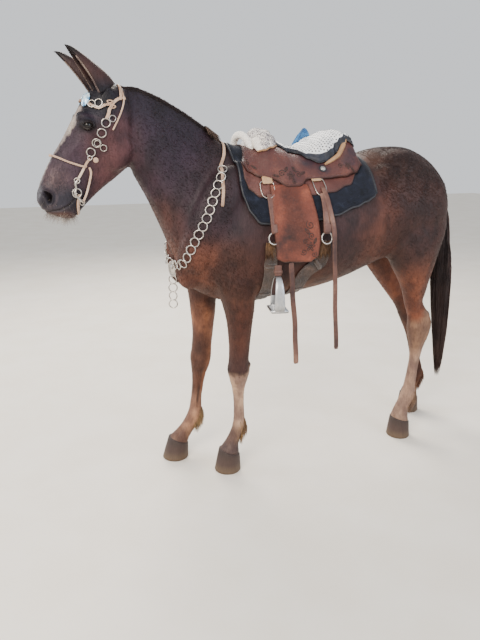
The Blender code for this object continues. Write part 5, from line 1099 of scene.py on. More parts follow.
def clearOfTack(places):
    # Hair stays out from under the saddle and pad.
    x, y, z = places.T
    under = (x > saddleArea["x"][0]) & (x < saddleArea["x"][1]) & (z > saddleArea["low"])
    return np.where(under, 0.0, 1.0)


def croupAndBack(places):
    x, y, z = places.T
    return clearOfTack(places) * step(x, 0.66, 0.74) * step(z, 1.20, 1.36)


def flanksAndThighs(places):
    x, y, z = places.T
    return clearOfTack(places) * step(x, 0.50, 0.60) * step(z, 1.34, 1.22) * step(z, 0.66, 0.74)


def neckAndShoulder(places):
    x, y, z = places.T
    return clearOfTack(places) * (x > -0.42) * step(x, 0.06, 0.0) * (z > 0.86)


def bellyAndElbow(places):
    x, y, z = places.T
    return clearOfTack(places) * (x > -0.24) * (x < 0.80) * (z > 0.70) * step(z, 1.06, 0.96)


def legsAll(places):
    return step(places[:, 2], 0.80, 0.70) * (0.35 + 0.65 * (places[:, 2] < 0.5))


def faceFur(places):
    x, y, z = places.T
    eye = np.linalg.norm(np.stack((x, np.abs(y), z), axis=1) - np.array(skin["eye"]), axis=1)
    muzzle = (z < 1.30) & (x < -0.64)
    return (x < -0.40) * (z > 1.18) * (z < 1.735) * (eye > 0.032) * np.where(muzzle, 0.35, 1.0)


# Each part of the coat: where it grows, seed, tufts, length, width, how far the tips stand.
coat = {
    "croup": (croupAndBack, 3, 13300, 0.016, 0.0022, 0.16),
    "flank": (flanksAndThighs, 4, 14500, 0.014, 0.0021, 0.10),
    "neck": (neckAndShoulder, 5, 15400, 0.013, 0.0020, 0.10),
    "belly": (bellyAndElbow, 6, 10800, 0.013, 0.0020, 0.15),
    "legs": (legsAll, 7, 15400, 0.010, 0.0016, 0.12),
    "face": (faceFur, 8, 16000, 0.007, 0.0012, 0.10),
}
hairShare = 1.0
for part, (keep, seed, count, long, wide, stand) in coat.items():
    coatTufts("coat_" + part, int(count * hairShare), keep, seed, long, wide, stand,
              "coat_dark" if part == "face" else "coat_bay")


# The mane's hairs, and how tall they stand at places along the crest.
mane = {"hairs": 13500, "at": (-0.44, -0.40, -0.30, -0.08, 0.01), "tall": (0.004, 0.010, 0.012, 0.013, 0.008),
        "root": "1d181c", "tip": "382c30"}


def maneHair():
    # A roached mane: short upright hair along the crest, shortest at both ends.
    draw = np.random.default_rng(21)
    count = int(mane["hairs"] * (1.0))
    x = draw.uniform(-0.440, 0.010, count)
    y = draw.normal(0, 0.0085, count)
    spots, ups = [], []
    for a, b in zip(x, y):
        spot, normal, _, _ = skinTree.ray_cast(Vector((a, b, 2.0)), Vector((0, 0, -1)), 2.0)
        spots.append(spot)
        ups.append(normal)
    spots, ups = np.array(spots), np.array(ups)
    tall = np.interp(x, mane["at"], mane["tall"])
    tall = tall * draw.uniform(0.70, 1.12, count) * np.exp(-(y / 0.016) ** 2)
    lean = np.stack((0.30 + draw.normal(0, 0.13, count), -0.12 + 7 * y + draw.normal(0, 0.12, count),
                     np.ones(count)), axis=1)
    lean /= np.linalg.norm(lean, axis=1, keepdims=True)
    bend = np.stack((draw.normal(0.15, 0.1, count), draw.normal(-0.05, 0.15, count), np.zeros(count)), axis=1)
    paths = np.stack((spots - lean * 0.004, spots + lean * tall[:, None] * 0.5,
                      spots + (lean + bend * 0.5) * tall[:, None]), axis=1)
    wide = draw.uniform(0.0012, 0.0022, count)
    widths = np.stack((wide, wide * 0.9, wide * 0.15), axis=1)
    rootTone = np.tile(np.array(linear(mane["root"])), (count, 1)) * draw.uniform(0.8, 1.2, count)[:, None]
    tipTone = np.tile(np.array(linear(mane["tip"])), (count, 1)) * draw.uniform(0.7, 1.4, count)[:, None]
    across = np.stack((np.ones(count), draw.normal(0, 0.7, count), np.zeros(count)), axis=1)
    growHair("mane", paths, across, widths, 0.5, (rootTone, tipTone), looseHair, "hair_black")


def withersTuft():
    # Longer flaxen hair where the mane ends, falling to the near side.
    draw = np.random.default_rng(22)
    count = 520
    x = draw.uniform(-0.075, -0.025, count)
    y = draw.normal(-0.004, 0.008, count)
    paths = []
    for a, b in zip(x, y):
        spot, _, _, _ = skinTree.ray_cast(Vector((a, b, 2.0)), Vector((0, 0, -1)), 2.0)
        long = draw.uniform(0.030, 0.085)
        side = -1 if draw.random() < 0.85 else 1
        path = [spot - Vector((0, 0, 0.004))]
        place = spot + Vector((0.006, side * 0.006, 0.010))
        path.append(place.copy())
        for stepIndex in range(4):
            fall = Vector((0.10 + draw.normal(0, 0.10), side * 0.62, 0.10 - 0.42 * stepIndex))
            place = place + fall * long / 4
            near, normal, _, _ = skinTree.find_nearest(place)
            if (place - near).dot(normal) < 0.004:
                place = near + normal * (0.004 + 0.004 * draw.random())
            path.append(place.copy())
        paths.append(path)
    wide = draw.uniform(0.0011, 0.0020, count)
    widths = np.outer(wide, (1.0, 1.0, 0.9, 0.7, 0.45, 0.1))
    flaxen, dark = np.array(linear("8a7466")), np.array(linear("3a2c2b"))
    tone = np.where(draw.random(count)[:, None] < 0.35, flaxen, dark)
    growHair("withersTuft", paths, np.tile((1.0, 0.3, 0.0), (count, 1)), widths, 0.5,
             (tone * 0.6, tone * 1.15), looseHair, "coat_bay")


tail = {"line": ((1.140, 1.345), (1.190, 1.315), (1.225, 1.230), (1.245, 1.080), (1.258, 0.880),
                 (1.268, 0.640), (1.275, 0.430), (1.275, 0.250)), "hairs": 4320, "seed": 23, "locks": 46,
        "dockRadii": (0.026, 0.028, 0.027, 0.026, 0.022, 0.010, 0.006, 0.004),
        "dark": "262327", "redBrown": "5a3d38", "tip": "6b4c41", "dock": "2a2325"}


def makeTail():
    # The dock under a fall of long hair in locks.
    draw = np.random.default_rng(tail["seed"])
    count = int(tail["hairs"] * (1.0))
    line = np.array(tail["line"])
    locks = tail["locks"]
    lockTurn = draw.uniform(0, 2 * math.pi, locks)
    lockEnd = np.clip(draw.normal(0.42, 0.10, locks), 0.27, 0.72)
    lockWide = draw.uniform(0.6, 1.15, locks)
    lockTop = np.where(np.arange(locks) % 3 == 0, draw.uniform(1.27, 1.335, locks),
                       draw.uniform(0.86, 1.335, locks))
    paths, tones = [], []
    for _ in range(count):
        which = draw.integers(locks)
        turn = lockTurn[which] + draw.normal(0, 0.22)
        top = np.clip(lockTop[which] + draw.normal(0, 0.03), 0.84, 1.340)
        end = max(lockEnd[which] + draw.normal(0, 0.035), 0.235)
        wave = draw.uniform(0, 2 * math.pi)
        path = []
        for share in (0.0, 0.10, 0.30, 0.50, 0.70, 0.88, 1.0):
            z = top + (end - top) * share
            middle = np.interp(-z, -line[:, 1], line[:, 0])
            reach = np.interp(z, (0.24, 0.34, 0.55, 0.80, 1.05, 1.25, 1.34),
                              (0.020, 0.036, 0.050, 0.054, 0.043, 0.033, 0.022))
            reach *= (0.35 + 0.65 * min(1.0, share / 0.22)) * lockWide[which]
            pull = 1 - 0.45 * share ** 2
            out = turn + 0.10 * math.sin(3 * share + wave)
            path.append((middle + math.cos(out) * reach * pull + 0.004 * math.sin(5 * share + wave),
                         math.sin(out) * reach * pull * 0.85 + 0.003 * math.cos(4 * share + wave), z))
        paths.append(path)
        back = math.cos(turn)
        redBrown = 0.75 if (back > 0.3 and draw.random() < 0.75) else 0.12
        tone = np.array(linear(tail["dark"])) * (1 - redBrown) + np.array(linear(tail["redBrown"])) * redBrown
        tones.append(tone * draw.uniform(0.7, 1.3))
    tones = np.array(tones)
    wide = draw.uniform(0.0018, 0.0040, count)
    widths = np.outer(wide, (0.8, 1.0, 1.0, 0.95, 0.8, 0.5, 0.1))
    across = np.stack((draw.normal(0, 1, count), draw.normal(0, 1, count), np.zeros(count)), axis=1)
    tips = tones * 0.6 + np.array(linear(tail["tip"])) * 0.4
    growHair("tailHair", paths, across, widths, 0.35, (tones, tips), looseHair, "hair_black", "tail")
    dock = bmesh.new()
    rings = []
    rows = [(x, z, r) for (x, z), r in zip(tail["line"], tail["dockRadii"])][:6]
    for x, z, r in smoothRows(rows, 5):
        rings.append([Vector((x + r * math.cos(a), r * math.sin(a), z)) for a in evenTurns(20)])
    addRings(dock, rings)
    mesh = bpy.data.meshes.new("dock")
    dock.to_mesh(mesh)
    dock.free()
    giveColours(mesh, np.tile(np.array(linear(tail["dock"])), (len(mesh.vertices), 1)))
    mesh.transform(Matrix.Translation(shift))
    dress(addPiece("dock", mesh, looseHair), "hair_black")


# Where each leg's feather hair starts, and its colour.
feathers = {"each": 900, "legs": {"fore_near": (0.215, "c29a66"), "fore_far": (0.205, "d8b27c"),
                                  "hind_near": (0.210, "bd9a7c"), "hind_far": (0.205, "7c4c33")}}


def fetlockFeathers():
    # Feather hair behind each fetlock.
    draw = np.random.default_rng(24)
    paths, tones, across = [], [], []
    for key, (top, code) in feathers["legs"].items():
        for _ in range(feathers["each"]):
            spread = draw.normal(0, 0.55)
            height = top + draw.uniform(-0.060, 0.035)
            long = draw.uniform(0.024, 0.060) * (1.05 - 0.4 * min(1.0, abs(spread)))
            ray = Vector((math.cos(spread), math.sin(spread), 0))
            x, y, reach, half = legAt(key, height)
            spot, normal, _, _ = skinTree.ray_cast(Vector((x, y, height)) + ray * 0.12, -ray, 0.12)
            if spot is None:
                continue
            out = ray * draw.uniform(0.08, 0.22)
            root = spot - normal * 0.002
            path = [root]
            for share in (0.35, 0.7, 1.0):
                path.append(spot + out * long * math.sin(share * 2.1) + Vector((0, 0, -1)) * long * share
                            + Vector((draw.normal(0, 0.0015), draw.normal(0, 0.0015), 0)))
            if path[-1].z < 0.012:
                continue
            paths.append(path)
            tones.append(np.array(linear(code)) * draw.uniform(0.6, 1.4))
            across.append((-ray.y, ray.x, 0.0))
    wide = draw.uniform(0.0012, 0.0024, len(paths))
    widths = np.outer(wide, (1.0, 0.9, 0.6, 0.1))
    tones = np.array(tones)
    growHair("fetlockFeathers", paths, across, widths, 0.4, (tones * 0.8, tones * 1.25), looseHair,
             "coat_bay")


def whiskersAndLashes():
    # Long pale whiskers on the muzzle and chin, lashes on the upper lids, soft hair in the ears.
    draw = np.random.default_rng(25)
    paths, tones, across = [], [], []

    def hair(spot, way, long, droop, code, bright=1.0):
        way = Vector(way).normalized()
        path = [spot - way * 0.002]
        for share in (0.4, 0.75, 1.0):
            path.append(spot + way * long * share + Vector((0, 0, -droop * long * share ** 2))
                        + Vector(draw.normal(0, 0.0008, 3)))
        paths.append(path)
        tones.append(np.array(linear(code)) * bright)
        across.append(tuple(way.orthogonal()))

    spots, facing, _ = sampledSkin(620, lambda p: (p[:, 0] < -0.63) * (p[:, 2] < 1.275)
                                   * (0.03 + 0.97 * (p[:, 2] < 1.220)), 26)
    for spot, normal in zip(spots, facing):
        hair(Vector(spot), Vector(normal) + Vector(draw.normal(0, 0.25, 3)), draw.uniform(0.012, 0.034), 0.25,
             "f0e2cc", 1.2)
    lashStart = len(paths)
    for side, word in nearAndFar:
        ring = lidRings(side)[3]
        for index in range(3, 26):
            spot = ring[index]
            for _ in range(3):
                hair(spot + Vector(draw.normal(0, 0.0008, 3)), (draw.normal(-0.15, 0.2), side, -0.35),
                     0.011, 0.2, "120e0f")
        rings = earRings(side, word)
        axis, opening = earWays(side, word)
        half = len(rings[0]) // 2
        for row in range(1, len(rings) - 1):
            for edge, inward in ((0, 1), (half - 1, -1)):
                for _ in range(40):
                    t = draw.random()
                    spot = rings[row][edge].lerp(rings[row + 1][edge], t)
                    across0 = (rings[row][half - 1] - rings[row][0]).normalized() * inward
                    hair(spot, opening * 0.55 + axis * 0.55 + across0 * draw.uniform(-0.15, 0.9),
                         draw.uniform(0.003, 0.007), 0.0,
                         "c9b4a6" if row < len(rings) * 0.72 else "2c2224")
            for _ in range(16):
                step0 = draw.integers(half + 2, 2 * half - 2)
                spot = rings[row][step0].lerp(rings[row + 1][step0], draw.random())
                hair(spot, opening * 0.7 + axis * 0.5 + Vector(draw.normal(0, 0.2, 3)),
                     draw.uniform(0.006, 0.016), 0.0, "5d4a4c")
    wide = np.full(len(paths), 0.0006)
    wide[lashStart:] = 0.0011
    widths = np.outer(wide, (1.0, 0.8, 0.6, 0.15))
    tones = np.array(tones)
    growHair("whiskersAndEarHair", paths, across, widths, 0.5, (tones * 0.8, tones), looseHair, "coat_dark")


maneHair()
withersTuft()
makeTail()
fetlockFeathers()
whiskersAndLashes()
print("stage: coat")

# Tack: routes and layers laid over the skin, all in the mule's own frame.
axisHeight = 1.12


def touch(surface, outer, inner):
    outer, inner = Vector(outer), Vector(inner)
    aim = (inner - outer).normalized()
    spot, normal, _, _ = surface.ray_cast(outer, aim, 3.0)
    if spot is None:
        return inner, -aim
    return spot, -normal if normal.dot(aim) > 0 else normal


def lay(surface, route, count=0, pitch=0.0, smooth=3):
    # Even spots and normals along a route of (outer, inner) point pairs, smoothed as a strap bridges dips.
    rows = smoothRows([tuple(outer) + tuple(inner) for outer, inner in route], 16)
    spots = np.array([sum((tuple(part) for part in touch(surface, row[:3], row[3:])), ()) for row in rows])
    for _ in range(smooth):
        spots[1:-1] = (spots[:-2] + 2 * spots[1:-1] + spots[2:]) / 4
    reach = np.concatenate(((0,), np.cumsum(np.linalg.norm(np.diff(spots[:, :3], axis=0), axis=1))))
    count = round(reach[-1] / pitch) + 1 if pitch else count
    goals = np.linspace(0, reach[-1], count)
    even = np.stack([np.interp(goals, reach, spots[:, axis]) for axis in range(6)], axis=1)
    return [(Vector(row[:3]), Vector(row[3:]).normalized()) for row in even]


def mirrored(route, side):
    return [((a[0], side * a[1], a[2]), (b[0], side * b[1], b[2])) for a, b in route]


def sideRoute(points):
    # A route seen from the side: each point looked at from half a metre out.
    return [((x, 0.5, z), (x, 0.0, z)) for x, z in points]


def bothSides(route):
    # A route that starts on the near side and comes back on the far one.
    return route + [((a[0], -a[1], a[2]), (b[0], -b[1], b[2])) for a, b in route[-2::-1]]


strapEdge = ((-0.50, 0.30), (-0.455, 0.0), (0.455, 0.0), (0.50, 0.30), (0.50, 0.66), (0.45, 0.94),
             (0.22, 1.04), (-0.22, 1.04), (-0.45, 0.94), (-0.50, 0.66))


stitching = {"inset": 0.0026, "pitch": 0.0046}


def alongAt(laid, index):
    # Which way a laid route runs at one of its spots.
    return (laid[min(index + 1, len(laid) - 1)][0] - laid[max(index - 1, 0)][0]).normalized()


def strap(mesh, laid, width, thick, lift, stitches=None):
    # A leather strap with rounded edges; its stitches are kept for the thread that follows.
    rings = []
    for index, (spot, normal) in enumerate(laid):
        along = alongAt(laid, index)
        across = along.cross(normal).normalized()
        up = across.cross(along)
        narrow = 0.72 if index in (0, len(laid) - 1) else 1.0
        rings.append([spot + across * u * width * narrow + up * (lift + v * thick) for u, v in strapEdge])
    addRings(mesh, rings)
    if stitches is not None:
        for out in (-1, 1):
            line = []
            for index, (spot, normal) in enumerate(laid):
                along = alongAt(laid, index)
                across = along.cross(normal).normalized()
                place = spot + across * out * (width / 2 - stitching["inset"])
                line.append((place + normal * (lift + thick * 0.97), normal))
            stitches += spotsAlong(line, stitching["pitch"])


def spotsAlong(line, pitch):
    # Even (place, along, normal) marks on a line of (place, normal).
    marks = []
    walked, goal = 0.0, pitch * 0.5
    for (a, na), (b, nb) in zip(line, line[1:]):
        span = (b - a).length
        while span > 1e-9 and goal <= walked + span:
            t = (goal - walked) / span
            marks.append((a.lerp(b, t), (b - a).normalized(), na.lerp(nb, t).normalized(), 1.0))
            goal += pitch
        walked += span
    return marks


def tube(mesh, points, radius, sides=10, closed=False):
    # A round bar through points; radius may be one value or one for each point.
    points = [Vector(point) for point in points]
    count = len(points)
    radii = [radius] * count if isinstance(radius, float) else radius
    across = (points[1] - points[0]).orthogonal().normalized()
    rings = []
    for index, point in enumerate(points):
        ahead = points[(index + 1) % count] if closed else points[min(index + 1, count - 1)]
        behind = points[index - 1] if closed else points[max(index - 1, 0)]
        along = (ahead - behind).normalized()
        across = (across - along * across.dot(along)).normalized()
        up = across.cross(along)
        rings.append([point + (across * math.cos(a) + up * math.sin(a)) * radii[index]
                      for a in (2 * math.pi * step / sides for step in range(sides))])
    if closed:
        rings.append(rings[0])
    addRings(mesh, rings, closeEnds=not closed)


def meshOf(name, build):
    # Runs bmesh work in the mule's own frame and moves the result to its place.
    work = bmesh.new()
    build(work)
    bmesh.ops.remove_doubles(work, verts=work.verts[:], dist=1e-5)
    bmesh.ops.recalc_face_normals(work, faces=work.faces[:])
    mesh = bpy.data.meshes.new(name)
    work.to_mesh(mesh)
    work.free()
    mesh.transform(Matrix.Translation(shift))
    return mesh


def makePiece(name, build, material, slot, *replaced):
    # A piece from bmesh work, with its finish and its place on the body.
    piece = addPiece(name, meshOf(name, build), material)
    return dress(piece, slot, *replaced)


def groupTree(name, sockets):
    # An empty Geometry Nodes tree with named inputs.
    tree = bpy.data.node_groups.new(name, "GeometryNodeTree")
    tree.interface.new_socket(name="Geometry", in_out="OUTPUT", socket_type="NodeSocketGeometry")
    tree.interface.new_socket(name="Geometry", in_out="INPUT", socket_type="NodeSocketGeometry")
    for label, kind in sockets:
        tree.interface.new_socket(name=label, in_out="INPUT", socket_type=kind)
    return tree, tree.nodes.new("NodeGroupInput"), tree.nodes.new("NodeGroupOutput")


def placeOnMarks(tree, inputs, outputs, instance):
    # Puts one shape on every mark, turned and sized by the marks' own attributes.
    turn = add(tree, "GeometryNodeInputNamedAttribute", {"Name": "turn"}, data_type="FLOAT_VECTOR")
    size = add(tree, "GeometryNodeInputNamedAttribute", {"Name": "size"}, data_type="FLOAT")
    euler = add(tree, "FunctionNodeEulerToRotation", {0: turn.outputs[0]})
    placed = add(tree, "GeometryNodeInstanceOnPoints",
                 {"Points": inputs.outputs["Geometry"], "Instance": instance, "Rotation": euler.outputs[0],
                  "Scale": size.outputs[0]})
    real = add(tree, "GeometryNodeRealizeInstances", {"Geometry": placed.outputs[0]})
    smooth = add(tree, "GeometryNodeSetShadeSmooth", {"Geometry": real.outputs[0]})
    finish = add(tree, "GeometryNodeSetMaterial", {"Geometry": smooth.outputs[0],
                                                   "Material": inputs.outputs["Finish"]})
    tree.links.new(finish.outputs[0], outputs.inputs[0])
    return tree


def wireRingTree():
    # A welded wire ring, 1 across its middle line, for every mark.
    tree, inputs, outputs = groupTree("wireRings", (
        ("Wire", "NodeSocketFloat"), ("Around", "NodeSocketInt"), ("Sides", "NodeSocketInt"),
        ("Finish", "NodeSocketMaterial")))
    circle = add(tree, "GeometryNodeCurvePrimitiveCircle",
                 {"Resolution": inputs.outputs["Around"], "Radius": 1.0})
    wire = add(tree, "GeometryNodeCurvePrimitiveCircle", {"Resolution": inputs.outputs["Sides"],
                                                          "Radius": inputs.outputs["Wire"]})
    bar = add(tree, "GeometryNodeCurveToMesh", {"Curve": circle.outputs[0], "Profile Curve": wire.outputs[0]})
    return placeOnMarks(tree, inputs, outputs, bar.outputs[0])


def threadTree():
    # One stitch of thread, or any small rounded grain, for every mark.
    tree, inputs, outputs = groupTree("threadStitches", (
        ("Length", "NodeSocketFloat"), ("Width", "NodeSocketFloat"), ("Rise", "NodeSocketFloat"),
        ("Finish", "NodeSocketMaterial")))
    grain = add(tree, "GeometryNodeMeshUVSphere", {"Segments": 5, "Rings": 3, "Radius": 0.5})
    scale = add(tree, "ShaderNodeCombineXYZ", {0: inputs.outputs["Length"], 1: inputs.outputs["Width"],
                                               2: inputs.outputs["Rise"]})
    shaped = add(tree, "GeometryNodeTransform", {"Geometry": grain.outputs[0], "Scale": scale.outputs[0]})
    return placeOnMarks(tree, inputs, outputs, shaped.outputs[0])


def onMarks(name, marks, tree, settings, material):
    # Runs a tree over marks (place, along, normal, size) and keeps plain mesh.
    mesh = bpy.data.meshes.new(name)
    mesh.from_pydata([tuple(mark[0] + shift) for mark in marks], [], [])
    turns = []
    for _, along, normal, _ in marks:
        across = normal.cross(along).normalized()
        forward = across.cross(normal).normalized()
        turns += list(Matrix((forward, across, normal)).transposed().to_euler())
    mesh.attributes.new("turn", "FLOAT_VECTOR", "POINT").data.foreach_set("vector", turns)
    mesh.attributes.new("size", "FLOAT", "POINT").data.foreach_set("value", [mark[3] for mark in marks])
    piece = bpy.data.objects.new(name, mesh)
    bpy.context.scene.collection.objects.link(piece)
    change = piece.modifiers.new("repeat", "NODES")
    change.node_group = tree
    for socket in tree.interface.items_tree:
        if socket.in_out == "INPUT" and socket.name in settings:
            change[socket.identifier] = settings[socket.name]
        elif socket.in_out == "INPUT" and socket.name == "Finish":
            change[socket.identifier] = material
    finished(piece)
    for spare in [layer.name for layer in piece.data.attributes if layer.name in ("turn", "size")]:
        piece.data.attributes.remove(piece.data.attributes[spare])
    print("stage: marks", name, len(marks), sum(len(f.vertices) - 2 for f in piece.data.polygons))
    return piece


wireRings, threadStitches = wireRingTree(), threadTree()

# Finishes of the tack


def leatherMaterial(name, base, dark, light, rough, grainScale, depth, tooled=0.0):
    # Vegetable-tanned cowhide: pebbled grain about 1 mm across, darker in the pores, polished
    # and paler where it rubs; tooled leather also has a stamped ground.
    made, tree, shader = startMaterial(name, {"Roughness": rough, "Specular IOR Level": 0.35})
    place = objectPlace(tree)
    pores = add(tree, "ShaderNodeTexVoronoi", {"Vector": place, "Scale": grainScale}).outputs["Distance"]
    wear = speckle(tree, place, 7.5, 4.0, 0.55)
    fibre = speckle(tree, place, 120.0, 4.0, 0.6)
    tone = ramp(tree, wear, ((0.30, dark), (0.52, base), (0.78, light)))
    tone = blend(tree, 0.35, tone, ramp(tree, fibre, ((0.3, 0.55), (0.7, 1.0))), "MULTIPLY")
    height = maths(tree, "MULTIPLY", pores, 0.25)
    height = maths(tree, "ADD", height, maths(tree, "MULTIPLY", fibre, 0.30))
    if tooled:
        relief = stampedRelief(tree, place)
        shade = ramp(tree, relief, ((0.10, 0.62), (0.60, 0.95), (0.85, 1.0)))
        tone = blend(tree, tooled, tone, shade, "MULTIPLY")
        height = maths(tree, "ADD", height, maths(tree, "MULTIPLY", relief, 0.8 * tooled))
    tree.links.new(tone, shader.inputs["Base Color"])
    tree.links.new(ramp(tree, wear, ((0.3, rough + 0.10), (0.8, rough - 0.12))), shader.inputs["Roughness"])
    bump(tree, shader, height, depth, 0.9)
    return made


def stampedRelief(tree, place):
    # A stamped ground: short level bars about 4 mm apart, broken and worn.
    bars = add(tree, "ShaderNodeTexWave", {"Vector": place, "Scale": 150.0, "Distortion": 1.0, "Detail": 2.0},
               bands_direction="Z").outputs["Fac"]
    breaks = speckle(tree, place, 170.0, 2.0, 0.6)
    return maths(tree, "MAXIMUM", bars, ramp(tree, breaks, ((0.48, 0.0), (0.62, 1.0))))


def edgedLeather(name, base, dark, light, rough, tooled, middle=1.0):
    # Saddle leather whose edge is burnished dark, with a pressed double line a finger's width in.
    made = leatherMaterial(name, base, dark, light, rough, 620.0, 0.0012, tooled)
    tree = made.node_tree
    shader = tree.nodes["Principled BSDF"]
    edge = add(tree, "ShaderNodeAttribute", attribute_name="edge").outputs["Fac"]
    tone = shader.inputs["Base Color"].links[0].from_socket
    rim = ramp(tree, maths(tree, "MULTIPLY", edge, 50.0),
               ((0.0, 0.30), (0.20, 0.45), (0.30, 1.0), (0.38, 0.45), (0.46, 1.0)))
    # Where middle is under 1, the sheet turns darker towards its middle, away from the rim.
    darkerPart = ramp(tree, maths(tree, "MULTIPLY", edge, 10.0), ((0.30, 1.0), (0.78, middle)))
    tone = blend(tree, 1.0, tone, darkerPart, "MULTIPLY")
    tree.links.new(blend(tree, 0.85, tone, rim, "MULTIPLY"), shader.inputs["Base Color"])
    normal = shader.inputs["Normal"].links[0].from_node
    height = normal.inputs["Height"].links[0].from_socket
    plain = ramp(tree, maths(tree, "MULTIPLY", edge, 50.0), ((0.26, 0.5), (0.50, 1.0)))
    tree.links.new(maths(tree, "ADD", maths(tree, "MULTIPLY", height, plain),
                         maths(tree, "MULTIPLY", rim, 0.5)),
                   normal.inputs["Height"])
    return made


bridleLeather = leatherMaterial("bridleLeather", "b89a84", "7c5c4a", "e2cfbe", 0.52, 900.0, 0.0005)
girthStrapLeather = leatherMaterial("oiledLatigoLeather", "5e4038", "3c2927", "93705f", 0.48, 800.0, 0.0006)
skirtLeather = edgedLeather("oiledSkirtLeather", "56332f", "372122", "744a42", 0.46, 0.5)
seatLeather = edgedLeather("tooledSaddleLeather", "55302c", "33222a", "7f4a3c", 0.42, 0.5)
fenderLeather = edgedLeather("fenderLeather", "6e382a", "38201e", "97523a", 0.46, 0.6, 0.62)


def steelMaterial(name, base, rough, darkerPart="8d8782"):
    # Nickel-plated steel wire: bright, with fine drawing lines and dull grey in the scratches.
    made, tree, shader = startMaterial(name, {"Metallic": 1.0, "Roughness": rough})
    place = objectPlace(tree)
    dull = speckle(tree, place, 70.0, 5.0, 0.7)
    lines = speckle(tree, objectPlace(tree, (1.0, 1.0, 6.0)), 300.0, 2.0, 0.5)
    tone = ramp(tree, dull, ((0.30, darkerPart), (0.55, base), (0.80, "f1ece6")))
    tree.links.new(tone, shader.inputs["Base Color"])
    tree.links.new(ramp(tree, dull, ((0.3, rough + 0.18), (0.75, rough - 0.05))), shader.inputs["Roughness"])
    bump(tree, shader, lines, 0.0002, 0.5)
    return made


ringSteel = steelMaterial("nickelPlatedSteel", "bdb7b0", 0.24)
stirrupAlloy = steelMaterial("castAluminium", "bfc1c4", 0.34, "a9abad")


def threadMaterial(name, code):
    # Waxed linen thread: two plies twisted every 2 mm, slightly glossy.
    made, tree, shader = startMaterial(name, {"Roughness": 0.6})
    twist = add(tree, "ShaderNodeTexWave", {"Vector": objectPlace(tree), "Scale": 500.0, "Distortion": 2.0},
                bands_direction="DIAGONAL").outputs["Fac"]
    plain = colour(code)
    shaded = tuple(v * 0.6 for v in plain[:3]) + (1.0,)
    tone = blend(tree, ramp(tree, twist, ((0.2, 0.0), (0.8, 1.0))), shaded, plain)
    tree.links.new(tone, shader.inputs["Base Color"])
    bump(tree, shader, twist, 0.0003, 0.6)
    return made


paleThread = threadMaterial("paleLinenThread", "d9c7ae")
brownThread = threadMaterial("brownLinenThread", "8a6048")
bridleMarks, saddleMarks = [], []

# Bridle

bridle = {"plate": (0.018, 0.030), "strap": 0.0120, "thin": 0.0068, "thick": 0.0034, "lift": 0.0034,
          "ring": 0.0168, "wire": 0.0029}


def ringMark(x, z, side, radius, lift=0.0065, tilt=0.0):
    spot, normal = touch(skinTree, (x, side * 0.5, z), (x, 0.0, z))
    facing = (normal + Vector((0, 0, tilt))).normalized()
    return spot + normal * lift, facing.orthogonal(), facing, radius


